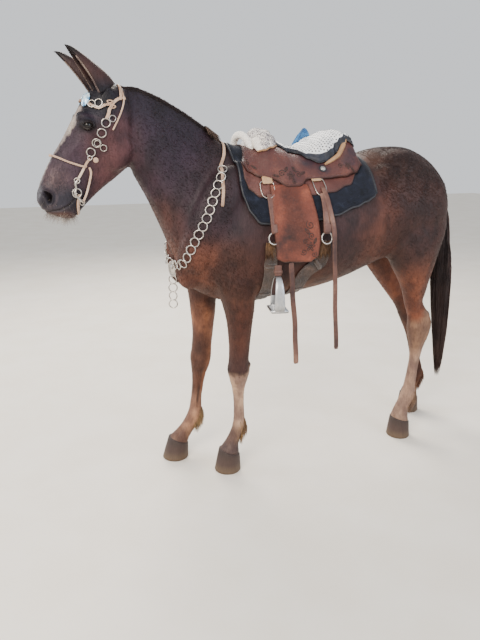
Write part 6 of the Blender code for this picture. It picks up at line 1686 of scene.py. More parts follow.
def makeBridle():
    lift, thick = bridle["lift"], bridle["thick"]
    poll = (-0.440, 0.0, 1.62)
    cheek = (((-0.490, 0.35, 1.622), (-0.490, 0.0, 1.622)), ((-0.472, 0.35, 1.660), (-0.472, 0, 1.650)),
             ((-0.446, 0.35, 1.692), (-0.446, 0, 1.665)))
    crown = (mirrored(cheek, -1) + [((-0.434, -0.15, 1.80), poll), ((-0.430, 0.0, 1.90), poll),
                                    ((-0.434, 0.15, 1.80), poll)] + mirrored(cheek[::-1], 1))

    def headstall(mesh):
        strap(mesh, lay(skinTree, crown, 70), bridle["strap"], thick, lift, stitches=bridleMarks)
        for side in (-1, 1):
            throat = mirrored(sideRoute(((-0.436, 1.722), (-0.427, 1.673), (-0.440, 1.626), (-0.458, 1.587),
                                         (-0.479, 1.548))), side)
            strap(mesh, lay(skinTree, throat, 40), bridle["thin"], thick * 0.8, lift)
            hanger = mirrored(sideRoute(((-0.487, 1.632), (-0.494, 1.606), (-0.503, 1.590))), side)
            strap(mesh, lay(skinTree, hanger, 12), 0.013, thick, lift + 0.003, stitches=bridleMarks)
            knot, normal = touch(skinTree, (-0.482, side * 0.5, 1.645), (-0.482, 0.0, 1.645))
            for index in range(3):
                place = Vector((-0.004 + 0.006 * index, 0, 0.012 - 0.010 * index))
                middle = knot + place + normal * (lift + 0.005)
                loop = [middle + Vector((0.010 * math.cos(a), 0, 0.0050 * math.sin(a)))
                        + normal * 0.003 * math.cos(2 * a) for a in evenTurns(20)]
                tube(mesh, loop, 0.0024, 8, closed=True)
            knob, normal = touch(skinTree, (-0.428, side * 0.35, 1.720), (-0.428, 0.0, 1.66))
            tube(mesh, [knob + normal * 0.003, knob + normal * 0.009, knob + normal * 0.011],
                 [0.0075, 0.0070, 0.0035], 16)

    makePiece("headstall", headstall, bridleLeather, "strap_leather", "headstall")

    brow = bothSides([((-0.482, -0.35, 1.646), (-0.48, 0, 1.646)),
                      ((-0.504, -0.32, 1.657), (-0.50, 0, 1.640)), ((-0.545, -0.28, 1.660), (-0.52, 0, 1.62)),
                      ((-0.62, -0.22, 1.690), (-0.52, 0, 1.62)), ((-0.70, -0.10, 1.74), (-0.52, 0, 1.62)),
                      ((-0.72, 0.0, 1.75), (-0.52, 0, 1.62))])

    def browband(mesh):
        laid = lay(skinTree, brow, 90)
        strap(mesh, laid, 0.0085, thick, lift)
        for out in (-0.0042, 0.0042):
            cord = []
            for index, (spot, normal) in enumerate(laid):
                along = alongAt(laid, index)
                cord.append(spot + normal * (lift + thick + 0.001) + along.cross(normal) * out
                            * math.cos(index * 0.9))
            tube(mesh, cord, 0.0022, 7)

    makePiece("browband", browband, bridleLeather, "strap_leather", "browband")

    def rosette(mesh, side):
        # A domed shell plate with a scalloped edge at each end of the forehead.
        spot, normal = touch(skinTree, (-0.70, side * 0.22, 1.72), (-0.545, side * 0.010, 1.655))
        tall = Vector((0, 0, 1)) - normal * normal.z
        tall.normalize()
        wide = tall.cross(normal).normalized()
        rings = []
        for share, rise in ((1.0, 0.0050), (1.03, 0.0068), (0.98, 0.0088), (0.80, 0.0085), (0.74, 0.0100),
                            (0.50, 0.0130), (0.25, 0.0148), (0.06, 0.0152)):
            ring = []
            for step in range(48):
                a = 2 * math.pi * step / 48
                scallop = 1 + (0.045 * math.cos(12 * a) if share > 0.7 else 0.0)
                ring.append(spot + normal * rise + wide * math.cos(a) * bridle["plate"][0] * share * scallop
                            + tall * math.sin(a) * bridle["plate"][1] * share * scallop)
            rings.append(ring)
        addRings(mesh, rings)

    for side, word in nearAndFar:
        makePiece("browPlate_" + word, lambda mesh: rosette(mesh, side), shellSilver, "ring_steel")

    chain = []
    for side in (-1, 1):
        for x, z in ((-0.505, 1.575), (-0.522, 1.536), (-0.541, 1.498), (-0.563, 1.462)):
            chain.append(ringMark(x, z, side, bridle["ring"], 0.0068, 0.08 * side))
        for x, z, radius in ((-0.479, 1.592, 0.0125), (-0.515, 1.480, 0.0125), (-0.538, 1.497, 0.0115),
                             (-0.551, 1.647, 0.0142), (-0.524, 1.652, 0.0150)):
            chain.append(ringMark(x, z, side, radius, 0.0090))
    dress(onMarks("bridleRings", chain, wireRings, {"Wire": 0.150, "Around": 40, "Sides": 10}, ringSteel),
          "ring_steel", "cheek_chain_near", "cheek_chain_far")

    nose = bothSides([((-0.566, -0.25, 1.425), (-0.585, 0, 1.40)), ((-0.600, -0.25, 1.430), (-0.60, 0, 1.40)),
                      ((-0.650, -0.25, 1.450), (-0.63, 0, 1.41)), ((-0.80, -0.10, 1.52), (-0.63, 0, 1.40)),
                      ((-0.84, 0.0, 1.52), (-0.63, 0, 1.40))])

    def noseband(mesh):
        # A rolled leather cord: round, with a plait's ridges.
        laid = lay(skinTree, nose, 120)
        for phase in (0.0, 2.1, 4.2):
            line = []
            for index, (spot, normal) in enumerate(laid):
                along = alongAt(laid, index)
                across = along.cross(normal).normalized()
                a = index * 0.55 + phase
                rise = lift + 0.0036 + 0.0020 * math.sin(a)
                line.append(spot + normal * rise + across * 0.0022 * math.cos(a))
            tube(mesh, line, 0.0022, 8)
        spot, normal = laid[59]
        tube(mesh, [spot + Vector((0, -0.020, 0)) + normal * 0.006,
                    spot + Vector((0, -0.006, 0)) + normal * 0.009,
                    spot + Vector((0, 0.006, 0)) + normal * 0.009], [0.0050, 0.0066, 0.0050], 14)

    makePiece("noseband", noseband, bridleLeather, "strap_leather", "noseband")
    makeBit()


def makeBit():
    lift = bridle["lift"]

    def straps(mesh):
        for side in (-1, 1):
            front = mirrored(sideRoute(((-0.567, 1.438), (-0.580, 1.420), (-0.600, 1.384), (-0.620, 1.350))),
                             side)
            strap(mesh, lay(skinTree, front, 26), 0.0098, 0.004, lift, stitches=bridleMarks)
            back = mirrored(sideRoute(((-0.572, 1.402), (-0.566, 1.383), (-0.572, 1.350), (-0.580, 1.320),
                                       (-0.590, 1.290), (-0.604, 1.262))), side)
            strap(mesh, lay(skinTree, back, 30), 0.0088, 0.004, lift + 0.0035, stitches=bridleMarks)
            spot, normal = touch(skinTree, (-0.546, side * 0.5, 1.431), (-0.546, 0.0, 1.431))
            across = normal.orthogonal()
            up = normal.cross(across)
            rings = [[spot + normal * rise + (across * math.cos(a) + up * math.sin(a)) * r
                      for a in evenTurns(24)]
                     for r, rise in ((0.0076, 0.002), (0.0080, 0.0045), (0.0066, 0.0060), (0.0040, 0.0072),
                                     (0.0010, 0.0076))]
            addRings(mesh, rings)
        chin = [((-0.590, -0.20, 1.275), (-0.62, 0, 1.30)), ((-0.585, -0.08, 1.10), (-0.64, 0, 1.30)),
                ((-0.585, 0.08, 1.10), (-0.64, 0, 1.30)), ((-0.590, 0.20, 1.275), (-0.62, 0, 1.30))]
        strap(mesh, lay(skinTree, chin, 44), 0.0125, 0.0036, lift, stitches=bridleMarks)

    makePiece("bitStraps", straps, bridleLeather, "strap_leather")

    def steel(mesh):
        for side in (-1, 1):
            bar = mirrored(sideRoute(((-0.619, 1.352), (-0.628, 1.338), (-0.626, 1.318), (-0.632, 1.298),
                                      (-0.618, 1.278), (-0.600, 1.262))), side)
            laid = lay(skinTree, bar, 34)
            shape = [0.0036 + 0.0022 * abs(math.sin(3 * math.pi * index / 33)) for index in range(34)]
            tube(mesh, [spot + normal * 0.0095 for spot, normal in laid], shape, 10)
            spot, normal = touch(skinTree, (-0.624, side * 0.5, 1.300), (-0.624, 0.0, 1.300))
            across = normal.orthogonal()
            up = normal.cross(across)
            tube(mesh, [spot + normal * 0.0090 + (across * math.cos(a) + up * math.sin(a)) * 0.0125
                        for a in evenTurns(30)], 0.0026, 8, closed=True)
            tube(mesh, [spot + normal * 0.012, Vector((-0.640, side * 0.034, 1.286)),
                        Vector((-0.648, side * 0.020, 1.276))], 0.0045, 10)

    makePiece("bitBars", steel, ringSteel, "ring_steel", "bit")
    loops = []
    for side in (-1, 1):
        for x, z, radius in ((-0.621, 1.350, 0.0105), (-0.606, 1.263, 0.0105), (-0.567, 1.440, 0.0085)):
            loops.append(ringMark(x, z, side, radius, 0.0095, 0.2))
    dress(onMarks("bitRings", loops, wireRings, {"Wire": 0.22, "Around": 28, "Sides": 8}, ringSteel),
          "ring_steel")


# Polished shell and silver: pale, with a bluish sheen that shifts over broad patches.
shellSilver, tree, shader = startMaterial("polishedShellSilver",
                                          {"Metallic": 0.25, "Roughness": 0.22, "Coat Weight": 0.4})
tree.links.new(ramp(tree, speckle(tree, objectPlace(tree), 45.0, 3.0),
                    ((0.35, "5f8fb8"), (0.5, "a3c6de"), (0.68, "eaf3f8"))),
               shader.inputs["Base Color"])
bump(tree, shader, speckle(tree, objectPlace(tree), 320.0), 0.0003, 0.4)
makeBridle()
print("stage: bridle")

# Breast collar

breast = {"ring": 0.0190, "dropRing": 0.0186, "wire": 0.145, "pitch": 0.0372, "strap": 0.0135}


def makeBreastCollar():
    route = bothSides([((-0.058, -0.55, 1.236), (-0.058, 0, 1.240)),
                       ((-0.046, -0.5, 1.320), (-0.046, 0, 1.31)), ((-0.034, -0.5, 1.420), (-0.034, 0, 1.38)),
                       ((-0.005, -0.25, 1.62), (0.0, 0, 1.38)), ((0.010, 0.0, 1.75), (0.01, 0, 1.38))])

    def collar(mesh):
        strap(mesh, lay(skinTree, route, 110), breast["strap"], 0.0042, 0.0048, stitches=bridleMarks)

    makePiece("breastStrap", collar, bridleLeather, "strap_leather", "breast_strap")
    marks = []
    for side in (-1, 1):
        points = mirrored(sideRoute(((-0.034, 1.385), (-0.062, 1.324), (-0.092, 1.262), (-0.118, 1.198),
                                     (-0.142, 1.148), (-0.166, 1.096), (-0.188, 1.045), (-0.206, 0.998))),
                          side)
        points += [((-0.50, side * 0.060, 0.966), (-0.10, side * 0.02, 0.978))]
        laid = lay(skinTree, points, pitch=breast["pitch"], smooth=6)
        for index, (spot, normal) in enumerate(laid):
            along = alongAt(laid, index)
            tilt = 0.16 if index % 2 else -0.16
            facing = (normal + along.cross(normal) * tilt + along * 0.05).normalized()
            marks.append((spot + normal * 0.0085, along, facing, breast["ring"]))
    spot, normal = touch(skinTree, (-0.6, 0.0, 0.955), (0.0, 0.0, 0.955))
    front = spot.x - 0.016
    for index in range(4):
        facing = Vector((-0.45, -1.0 if index % 2 else -0.55, 0.0)).normalized()
        spot = Vector((front - 0.003, 0.0, 0.901 - index * breast["pitch"]))
        marks.append((spot, Vector((0, 0, 1)), facing, breast["dropRing"]))
    dress(onMarks("breastRings", marks, wireRings, {"Wire": breast["wire"], "Around": 40, "Sides": 10},
                  ringSteel),
          "ring_steel", "breast_chain_near", "breast_chain_far")

    plateOut, plateAcross = Vector((-0.77, -0.64, 0.0)), Vector((-0.64, 0.77, 0.0))

    def plate(mesh):
        # A shield-shaped plate with a raised rim and a boss.
        rings = []
        for share, depth in ((1.0, 0.000), (1.0, 0.004), (0.94, 0.0062), (0.84, 0.0050), (0.50, 0.0052),
                             (0.36, 0.0085), (0.12, 0.0100), (0.03, 0.0102)):
            ring = []
            for step in range(40):
                a = 2 * math.pi * step / 40
                wide = 0.0225 * math.copysign(abs(math.cos(a)) ** 0.7, math.cos(a))
                tall = 0.0350 * math.copysign(abs(math.sin(a)) ** 0.8, math.sin(a))
                wide *= 1 + 0.16 * math.sin(a)
                level = Vector((front, 0.0, 0.950 + tall * share))
                ring.append(level + plateOut * depth + plateAcross * wide * share)
            rings.append(ring)
        addRings(mesh, rings)

    makePiece("breastPlate", plate, ringSteel, "ring_steel", "breast_drop")


makeBreastCollar()
print("stage: breast collar")

# Saddle


def table(pairs):
    # A smooth value between the named (x, value) pairs.
    def at(x):
        if x <= pairs[0][0]:
            return pairs[0][1]
        for (a, first), (b, second) in zip(pairs, pairs[1:]):
            if x <= b:
                t = (x - a) / (b - a)
                t = t * t * (3 - 2 * t)
                return first + (second - first) * t
        return pairs[-1][1]
    return at


def smooth3(points, between):
    # A smooth line through the points, with extra points between them.
    line = []
    for index in range(len(points) - 1):
        a, b = points[max(index - 1, 0)], points[index]
        c, d = points[index + 1], points[min(index + 2, len(points) - 1)]
        for step in range(between):
            t = step / between
            line.append(0.5 * ((2 * b) + (c - a) * t + (2 * a - 5 * b + 4 * c - d) * t * t
                               + (3 * b - a - 3 * c + d) * t ** 3))
    return line + [points[-1]]


def overBack(surface, x, angle):
    aim = Vector((0, math.sin(angle), math.cos(angle)))
    centre = Vector((x, 0, axisHeight))
    spot, _, _, _ = surface.ray_cast(centre + aim * 0.8, -aim, 0.8)
    return (spot - centre).length if spot is not None else 0.25


def angleAt(surface, x, z):
    low, high = 0.0, math.radians(150)
    for _ in range(22):
        middle = (low + high) / 2
        if axisHeight + overBack(surface, x, middle) * math.cos(middle) > z:
            low = middle
        else:
            high = middle
    return (low + high) / 2


def drapeGrid(surface, xs, lowEdge, lift, columns, reach=(-1.0, 1.0), sweep=None):
    # Two matching grids of points over the back, rows x columns x 3.
    inner, outer = [], []
    angles = [angleAt(surface, x, lowEdge(x)) for x in xs]
    for x, widest in zip(xs, angles):
        rows = ([], [])
        for step in range(columns):
            share = reach[0] + (reach[1] - reach[0]) * step / (columns - 1)
            angle = widest * share
            aim = np.array((0, math.sin(angle), math.cos(angle)))
            here = x + (sweep(x, share) if sweep else 0.0)
            base = overBack(surface, here, angle)
            for row, height in zip(rows, lift(x, share)):
                row.append(np.array((here, 0, axisHeight)) + aim * (base + height))
        inner.append(rows[0])
        outer.append(rows[1])
    return np.array(inner), np.array(outer)


def hangGrid(surface, side, heights, left, right, lift, thick, columns):
    # Two matching grids of a sheet that hangs down the side.
    inner, outer = [], []
    furthest = np.zeros(columns)
    for z in heights:
        rows = ([], [])
        for step in range(columns):
            x = left(z) + (right(z) - left(z)) * step / (columns - 1)
            spot, normal, _, _ = surface.ray_cast(Vector((x, side * 0.7, z)), Vector((0, -side, 0)), 0.7)
            out = abs(spot.y) + lift / max(abs(normal.y), 0.5) if spot is not None else 0.0
            furthest[step] = max(furthest[step], out)
            rows[0].append((x, furthest[step], z))
        inner.append(rows[0])
    inner = np.array(inner)
    for _ in range(4):
        inner[1:-1, :, 1] = np.maximum(inner[1:-1, :, 1], (inner[:-2, :, 1] + inner[2:, :, 1]) / 2)
    inner[:, :, 1] *= side
    outer = inner.copy()
    outer[:, :, 1] += side * thick
    return inner, outer


def edgeDistance(grid, openSides=()):
    # How far each point of a grid lies from the grid's nearest rim, along the surface.
    spans = [np.linalg.norm(np.diff(grid, axis=axis), axis=2) for axis in (0, 1)]
    down = np.concatenate((np.zeros((1, grid.shape[1])), np.cumsum(spans[0], axis=0)))
    across = np.concatenate((np.zeros((grid.shape[0], 1)), np.cumsum(spans[1], axis=1)), axis=1)
    sides = {"first": down, "last": down[-1:] - down, "left": across, "right": across[:, -1:] - across}
    return np.minimum.reduce([values for word, values in sides.items() if word not in openSides])


def gridFaces(index):
    # The four-sided faces of a grid of vertex numbers.
    return np.stack((index[:-1, :-1].ravel(), index[:-1, 1:].ravel(), index[1:, 1:].ravel(),
                     index[1:, :-1].ravel()), axis=1)


def slabPiece(name, inner, outer, material, rounded=0.004, openSides=(), shape=None):
    # A closed sheet between two grids, thin at its rounded rim; it keeps the distance from the rim.
    rows, columns, _ = inner.shape
    rim = edgeDistance(outer, openSides)
    full = np.clip(rim / rounded, 0, 1)
    full = np.sqrt(1 - (1 - full) ** 2) * 0.72 + 0.28
    outer = inner + (outer - inner) * full[:, :, None]
    if shape is not None:
        outer = outer + shape(outer, rim)
    points = np.concatenate((inner.reshape(-1, 3), outer.reshape(-1, 3)))
    half = rows * columns
    index = np.arange(half).reshape(rows, columns)
    flat = gridFaces(index)
    faces = [flat, flat[:, (0, 3, 2, 1)] + half]
    for line in (index[0], index[-1], index[:, 0], index[:, -1]):
        faces.append(np.stack((line[:-1], line[1:], line[1:] + half, line[:-1] + half), axis=1))
    mesh = makeMesh(name, points, np.concatenate(faces))
    layer = mesh.attributes.new("edge", "FLOAT", "POINT")
    layer.data.foreach_set("value", np.concatenate((rim.ravel() * 0, rim.ravel())))
    return addPiece(name, mesh, material), outer


def gridTree(grid):
    rows, columns, _ = grid.shape
    return BVHTree.FromPolygons([Vector(p) for p in grid.reshape(-1, 3)], [
        (r * columns + c, r * columns + c + 1, (r + 1) * columns + c + 1, (r + 1) * columns + c)
        for r in range(rows - 1) for c in range(columns - 1)])


def outwards(grid):
    # Unit ways out from the trunk's middle line, one for each point of a grid.
    middle = np.stack((grid[:, :, 0], grid[:, :, 1] * 0, grid[:, :, 2] * 0 + axisHeight), axis=2)
    return (grid - middle) / np.linalg.norm(grid - middle, axis=2, keepdims=True)


def metFromOutside(tree, x, aim):
    # The point of a draped piece that a line towards the trunk's middle meets, and its outward normal.
    spot, normal, _, _ = tree.ray_cast(Vector((x, 0, axisHeight)) + aim * 0.7, -aim, 0.7)
    if spot is not None and normal.dot(aim) < 0:
        normal = -normal
    return spot, normal


def rimMarks(grid, inset, pitch, rise, sides=("first", "last", "left", "right")):
    # Stitch marks on a grid, a set distance in from its rims.
    tree = gridTree(grid)
    lines = {"first": grid[0], "last": grid[-1], "left": grid[:, 0], "right": grid[:, -1]}
    inside = {"first": grid[4], "last": grid[-5], "left": grid[:, 4], "right": grid[:, -5]}
    marks = []
    for word in sides:
        line = []
        for rim, deep in zip(lines[word], inside[word]):
            way = Vector(deep - rim)
            spot, normal, _, _ = tree.find_nearest(Vector(rim) + way.normalized() * inset)
            if normal.dot(spot - Vector((spot.x, 0, axisHeight))) < 0:
                normal = -normal
            line.append((spot + normal * rise, normal))
        trim = max(1, int(len(line) * 0.03))
        marks += spotsAlong(line[trim:-trim], pitch)
    return marks


saddle = {"thick": 0.0055, "padThick": 0.014, "rows": 64, "columns": 81}
seatLow = table(((0.040, 1.385), (0.070, 1.350), (0.12, 1.328), (0.17, 1.320), (0.235, 1.290), (0.285, 1.292),
                 (0.34, 1.318), (0.42, 1.320), (0.52, 1.326), (0.58, 1.340), (0.63, 1.370)))
seatRise = table(((0.040, 0.030), (0.10, 0.030), (0.165, 0.068), (0.20, 0.076), (0.25, 0.080), (0.30, 0.064),
                  (0.40, 0.068), (0.50, 0.095), (0.560, 0.136), (0.585, 0.130), (0.63, 0.050)))


def seatLift(x, share):
    rim = 0.025 + 0.010 * min(1.0, max(0.0, (abs(share) - 0.2) / 0.25))
    crown = max(0.0, 1.0 - abs(share) ** 2.6)
    return rim, rim + saddle["thick"] + (seatRise(x) - 0.030) * crown


def seatSweep(x, share):
    return 0.050 * (1 - abs(share) ** 1.6) * max(0.0, 1 - (x - 0.040) / 0.25)


def feltMaterial(name, base, dark, light):
    # Pressed wool felt: matt, cloudy, with crossing fibres about a millimetre long.
    made, tree, shader = startMaterial(name,
                                       {"Roughness": 0.95, "Specular IOR Level": 0.2, "Sheen Weight": 0.06})
    clouds = speckle(tree, objectPlace(tree), 24.0, 6.0, 0.7)
    fibres = speckle(tree, objectPlace(tree, (1.0, 1.0, 2.5)), 420.0, 3.0, 0.7)
    tone = ramp(tree, clouds, ((0.32, dark), (0.52, base), (0.74, light)))
    tree.links.new(blend(tree, 0.6, tone, ramp(tree, fibres, ((0.3, 0.55), (0.7, 1.0))), "MULTIPLY"),
                   shader.inputs["Base Color"])
    bump(tree, shader, fibres, 0.0014, 0.9)
    return made


def cushionMaterial(name, base, shade):
    # White grained hide over padding, with painted shade in soft grey clouds, sewn to a band of black hide.
    # The piece's own attribute "edge" is 1 where the two meet.
    made, tree, shader = startMaterial(name, {"Roughness": 0.58, "Specular IOR Level": 0.4})
    pebble = add(tree, "ShaderNodeTexVoronoi",
                 {"Vector": objectPlace(tree), "Scale": 420.0}).outputs["Distance"]
    cloud = speckle(tree, objectPlace(tree), 18.0, 5.0, 0.6)
    tone = ramp(tree, cloud, ((0.30, shade), (0.55, base), (0.8, "fbfbfa")))
    black = ramp(tree, cloud, ((0.30, "15171e"), (0.60, "262a36"), (0.80, "3f4454")))
    band = add(tree, "ShaderNodeAttribute", attribute_name="edge").outputs["Fac"]
    tone = blend(tree, ramp(tree, maths(tree, "MULTIPLY", band, 0.5), ((0.70, 0.0), (0.74, 1.0))), black,
                 tone)
    tree.links.new(blend(tree, 0.35, tone, ramp(tree, pebble, ((0.0, 0.7), (0.5, 1.0))), "MULTIPLY"),
                   shader.inputs["Base Color"])
    bump(tree, shader, pebble, 0.0007, 0.7)
    return made


def clothMaterial(name, base, dark, spacing):
    # Plain-woven cotton: warp and weft 1.2 mm apart, matt, faded on the folds.
    made, tree, shader = startMaterial(name, {"Roughness": 0.88, "Sheen Weight": 0.3})
    uv = add(tree, "ShaderNodeUVMap", uv_map="weave").outputs[0]
    warp = add(tree, "ShaderNodeTexWave", {"Vector": uv, "Scale": spacing},
               bands_direction="X").outputs["Fac"]
    weft = add(tree, "ShaderNodeTexWave", {"Vector": uv, "Scale": spacing},
               bands_direction="Y").outputs["Fac"]
    weave = maths(tree, "MAXIMUM", warp, weft)
    fade = speckle(tree, objectPlace(tree), 30.0, 4.0, 0.6)
    tone = ramp(tree, fade, ((0.3, dark), (0.7, base)))
    tree.links.new(blend(tree, 0.5, tone, ramp(tree, weave, ((0.3, 0.55), (0.9, 1.0))), "MULTIPLY"),
                   shader.inputs["Base Color"])
    bump(tree, shader, weave, 0.0006, 0.8)
    return made


navyThread = threadMaterial("navyWaxedThread", "1f2533")
padFelt = feltMaterial("navyWoolFelt", "181c28", "0e1119", "272d3d")
cushionWhite = cushionMaterial("whiteCushionHide", "e4e6e8", "b4b8be")
blackBinding, tree, shader = startMaterial("blackBindingLeather", {"Roughness": 0.5})
# Black binding leather, rubbed grey along its ridge.
tree.links.new(ramp(tree, speckle(tree, objectPlace(tree), 60.0, 5.0),
                    ((0.3, "121318"), (0.6, "1c1e26"), (0.8, "2d2f38"))),
               shader.inputs["Base Color"])
bump(tree, shader, speckle(tree, objectPlace(tree), 700.0), 0.0004, 0.7)
tanWelt = leatherMaterial("tanWeltLeather", "a8835f", "7b5a3f", "cdb08f", 0.52, 700.0, 0.0006)
blueCotton = clothMaterial("blueCotton", "4f93cc", "2a5f96", 60.0)


def makePad():
    low = table(((0.03, 1.326), (0.045, 1.262), (0.07, 1.200), (0.104, 1.163), (0.180, 1.158), (0.265, 1.163),
                 (0.35, 1.174), (0.434, 1.190), (0.54, 1.221), (0.60, 1.240), (0.640, 1.256), (0.668, 1.275)))
    xs = np.linspace(0.03, 0.668, 60)
    inner, outer = drapeGrid(skinTree, xs, low, lambda x, share: (0.0085, 0.0085 + saddle["padThick"]), 91)

    def soft(grid, rim):
        # The felt presses thin under the saddle and rolls a little at its rim.
        wave = np.sin(grid[:, :, 0] * 34) * 0.0012 * np.clip(1 - rim / 0.05, 0, 1)
        return outwards(grid) * wave[:, :, None]

    piece, top = slabPiece("saddlePad", inner, outer, padFelt, rounded=0.010, shape=soft)
    dress(piece, "pad_felt", "saddle_pad")

    def binding(mesh):
        for line in (top[0], top[-1], top[:, 0], top[:, -1]):
            tube(mesh, [Vector(p) for p in line], 0.0058, 8)

    makePiece("padBinding", binding, blackBinding, "pad_felt")
    padMarks = rimMarks(top, 0.022, 0.0075, 0.0004)
    padMarks.extend(rimMarks(top, 0.040, 0.0075, 0.0004, ("left", "right", "last")))
    dress(onMarks("padStitches", padMarks, threadStitches,
                  {"Length": 0.0042, "Width": 0.0012, "Rise": 0.0009}, navyThread),
          "pad_felt")


def makeSkirts():
    low = table(((0.045, 1.335), (0.070, 1.285), (0.11, 1.258), (0.34, 1.264), (0.44, 1.274), (0.53, 1.300),
                 (0.60, 1.350)))
    for side, word in nearAndFar:
        inner, outer = drapeGrid(skinTree, np.linspace(0.045, 0.60, 56), low,
                                 lambda x, share: (0.0232, 0.0232 + saddle["thick"]), 26,
                                 (side * 0.66, side * 1.0))
        piece, top = slabPiece("saddleSkirt_" + word, inner, outer, skirtLeather, openSides=("left",))
        dress(piece, "saddle_leather", "saddle_skirt_" + word)
        saddleMarks.extend(rimMarks(top, 0.009, 0.0050, 0.0003, ("right", "first", "last")))


def makeSeat():
    xs = np.linspace(0.040, 0.63, saddle["rows"])
    inner, outer = drapeGrid(skinTree, xs, seatLow, seatLift, saddle["columns"], sweep=seatSweep)

    def fittings(grid, rim):
        # A raised bead along the rim and the seam where the rear jockey laps over the front one.
        seam = 0.462 + 0.10 * (grid[:, :, 2] - 1.36)
        lap = 0.0022 / (1 + np.exp(-(grid[:, :, 0] - seam) / 0.0022)) * (grid[:, :, 2] < 1.44)
        bead = 0.0018 * np.exp(-((rim - 0.006) / 0.0035) ** 2)
        return outwards(grid) * (lap + bead)[:, :, None]

    piece, top = slabPiece("saddleSeat", inner, outer, seatLeather, shape=fittings)
    dress(piece, "saddle_leather", "saddle_seat")
    saddleMarks.extend(rimMarks(top, 0.0125, 0.0050, 0.0004))
    return top


makePad()
makeSkirts()
seatTop = makeSeat()
seatTree = gridTree(seatTop)
print("stage: pad, skirts and seat")

scrolls = {"fender": (("scroll", 0.302, 1.158, 0.019, 2.2, 1), ("scroll", 0.306, 1.112, 0.015, 5.0, -1),
                      ("scroll", 0.278, 1.088, 0.012, 0.5, 1), ("flower", 0.300, 1.066, 0.020, 0.2, 1),
                      ("scroll", 0.270, 1.044, 0.014, 3.6, 1), ("scroll", 0.316, 1.032, 0.012, 1.0, -1),
                      ("leaf", 0.288, 1.130, 0.017, 2.2, 1), ("leaf", 0.320, 1.090, 0.014, 1.2, 1)),
           "jockey": (("flower", 0.250, 1.362, 0.019, 0.3, 1), ("scroll", 0.212, 1.372, 0.015, 0.4, 1),
                      ("scroll", 0.288, 1.366, 0.015, 2.6, -1), ("leaf", 0.232, 1.388, 0.014, 0.9, 1),
                      ("leaf", 0.270, 1.388, 0.014, 2.2, 1), ("scroll", 0.262, 1.335, 0.010, 1.4, 1),
                      ("leaf", 0.186, 1.362, 0.014, 2.9, 1), ("leaf", 0.314, 1.372, 0.013, 0.4, 1),
                      ("flower", 0.538, 1.402, 0.015, 0.9, 1), ("scroll", 0.505, 1.400, 0.011, 0.2, 1),
                      ("leaf", 0.560, 1.385, 0.012, 2.4, 1), ("scroll", 0.075, 1.418, 0.012, 1.2, 1),
                      ("leaf", 0.100, 1.398, 0.013, 2.5, 1))}
cutShadeLine, tree, shader = startMaterial("paintedCutShadeLine", {"Roughness": 0.6})
# Painted shade for the cut lines of tooled leather: nearly black, as the shadow in a cut's depth.
tree.links.new(ramp(tree, speckle(tree, objectPlace(tree), 90.0, 3.0), ((0.3, "160c0b"), (0.7, "3a211b"))),
               shader.inputs["Base Color"])


def makeToolingShade(name, surface, shapes):
    # Scrolls, five-petalled flowers and leaves on both sides, drawn as fine tubes of painted shade half sunk
    # in the leather where the cuts run.
    def lines(mesh):
        for side in (-1, 1):
            for kind, x, z, size, turn, hand in shapes:
                paths = []
                if kind == "scroll":
                    paths.append([(size * (1 - 0.86 * t) * math.cos(turn + hand * t * 9.0),
                                   size * (1 - 0.86 * t) * math.sin(turn + hand * t * 9.0))
                                  for t in np.linspace(0, 1, 44)])
                elif kind == "flower":
                    paths.append([(size * (0.66 + 0.34 * math.cos(5 * a)) * math.cos(a + turn),
                                   size * (0.66 + 0.34 * math.cos(5 * a)) * math.sin(a + turn))
                                  for a in np.linspace(0, 2 * math.pi, 61)])
                    paths.append([(size * 0.24 * math.cos(a), size * 0.24 * math.sin(a))
                                  for a in np.linspace(0, 2 * math.pi, 17)])
                else:
                    for bow in (-1, 0, 1):
                        leaf = [(u * size, bow * 0.36 * size * (1 - u * u)) for u in np.linspace(-1, 1, 15)]
                        paths.append([(math.cos(turn) * u - math.sin(turn) * v,
                                       math.sin(turn) * u + math.cos(turn) * v) for u, v in leaf])
                for path in paths:
                    spots = []
                    for u, v in path:
                        start = Vector((x + u, side * 0.7, z + v))
                        spot, _, _, _ = surface.ray_cast(start, Vector((0, -side, 0)), 0.7)
                        if spot is not None and spot.y * side > 0.05:
                            spots.append(spot + Vector((0, side, 0)) * 0.0001)
                    if len(spots) > 2:
                        tube(mesh, spots, 0.0017, 6)

    makePiece(name, lines, cutShadeLine, "saddle_leather")


cushion = {"low": table(((0.250, 1.486), (0.280, 1.466), (0.310, 1.457), (0.345, 1.450), (0.370, 1.428),
                         (0.415, 1.410), (0.450, 1.417), (0.480, 1.432), (0.510, 1.455), (0.539, 1.481),
                         (0.570, 1.508), (0.608, 1.478))),
           "crown": table(((0.25, 1.506), (0.29, 1.492), (0.32, 1.483), (0.36, 1.474), (0.39, 1.482),
                           (0.43, 1.502), (0.475, 1.529), (0.525, 1.550), (0.560, 1.556), (0.590, 1.546),
                           (0.608, 1.520))),
           "border": table(((0.25, 0.008), (0.35, 0.012), (0.42, 0.026), (0.55, 0.030), (0.608, 0.022))),
           "hole": 0.0104, "spacing": 0.0120}


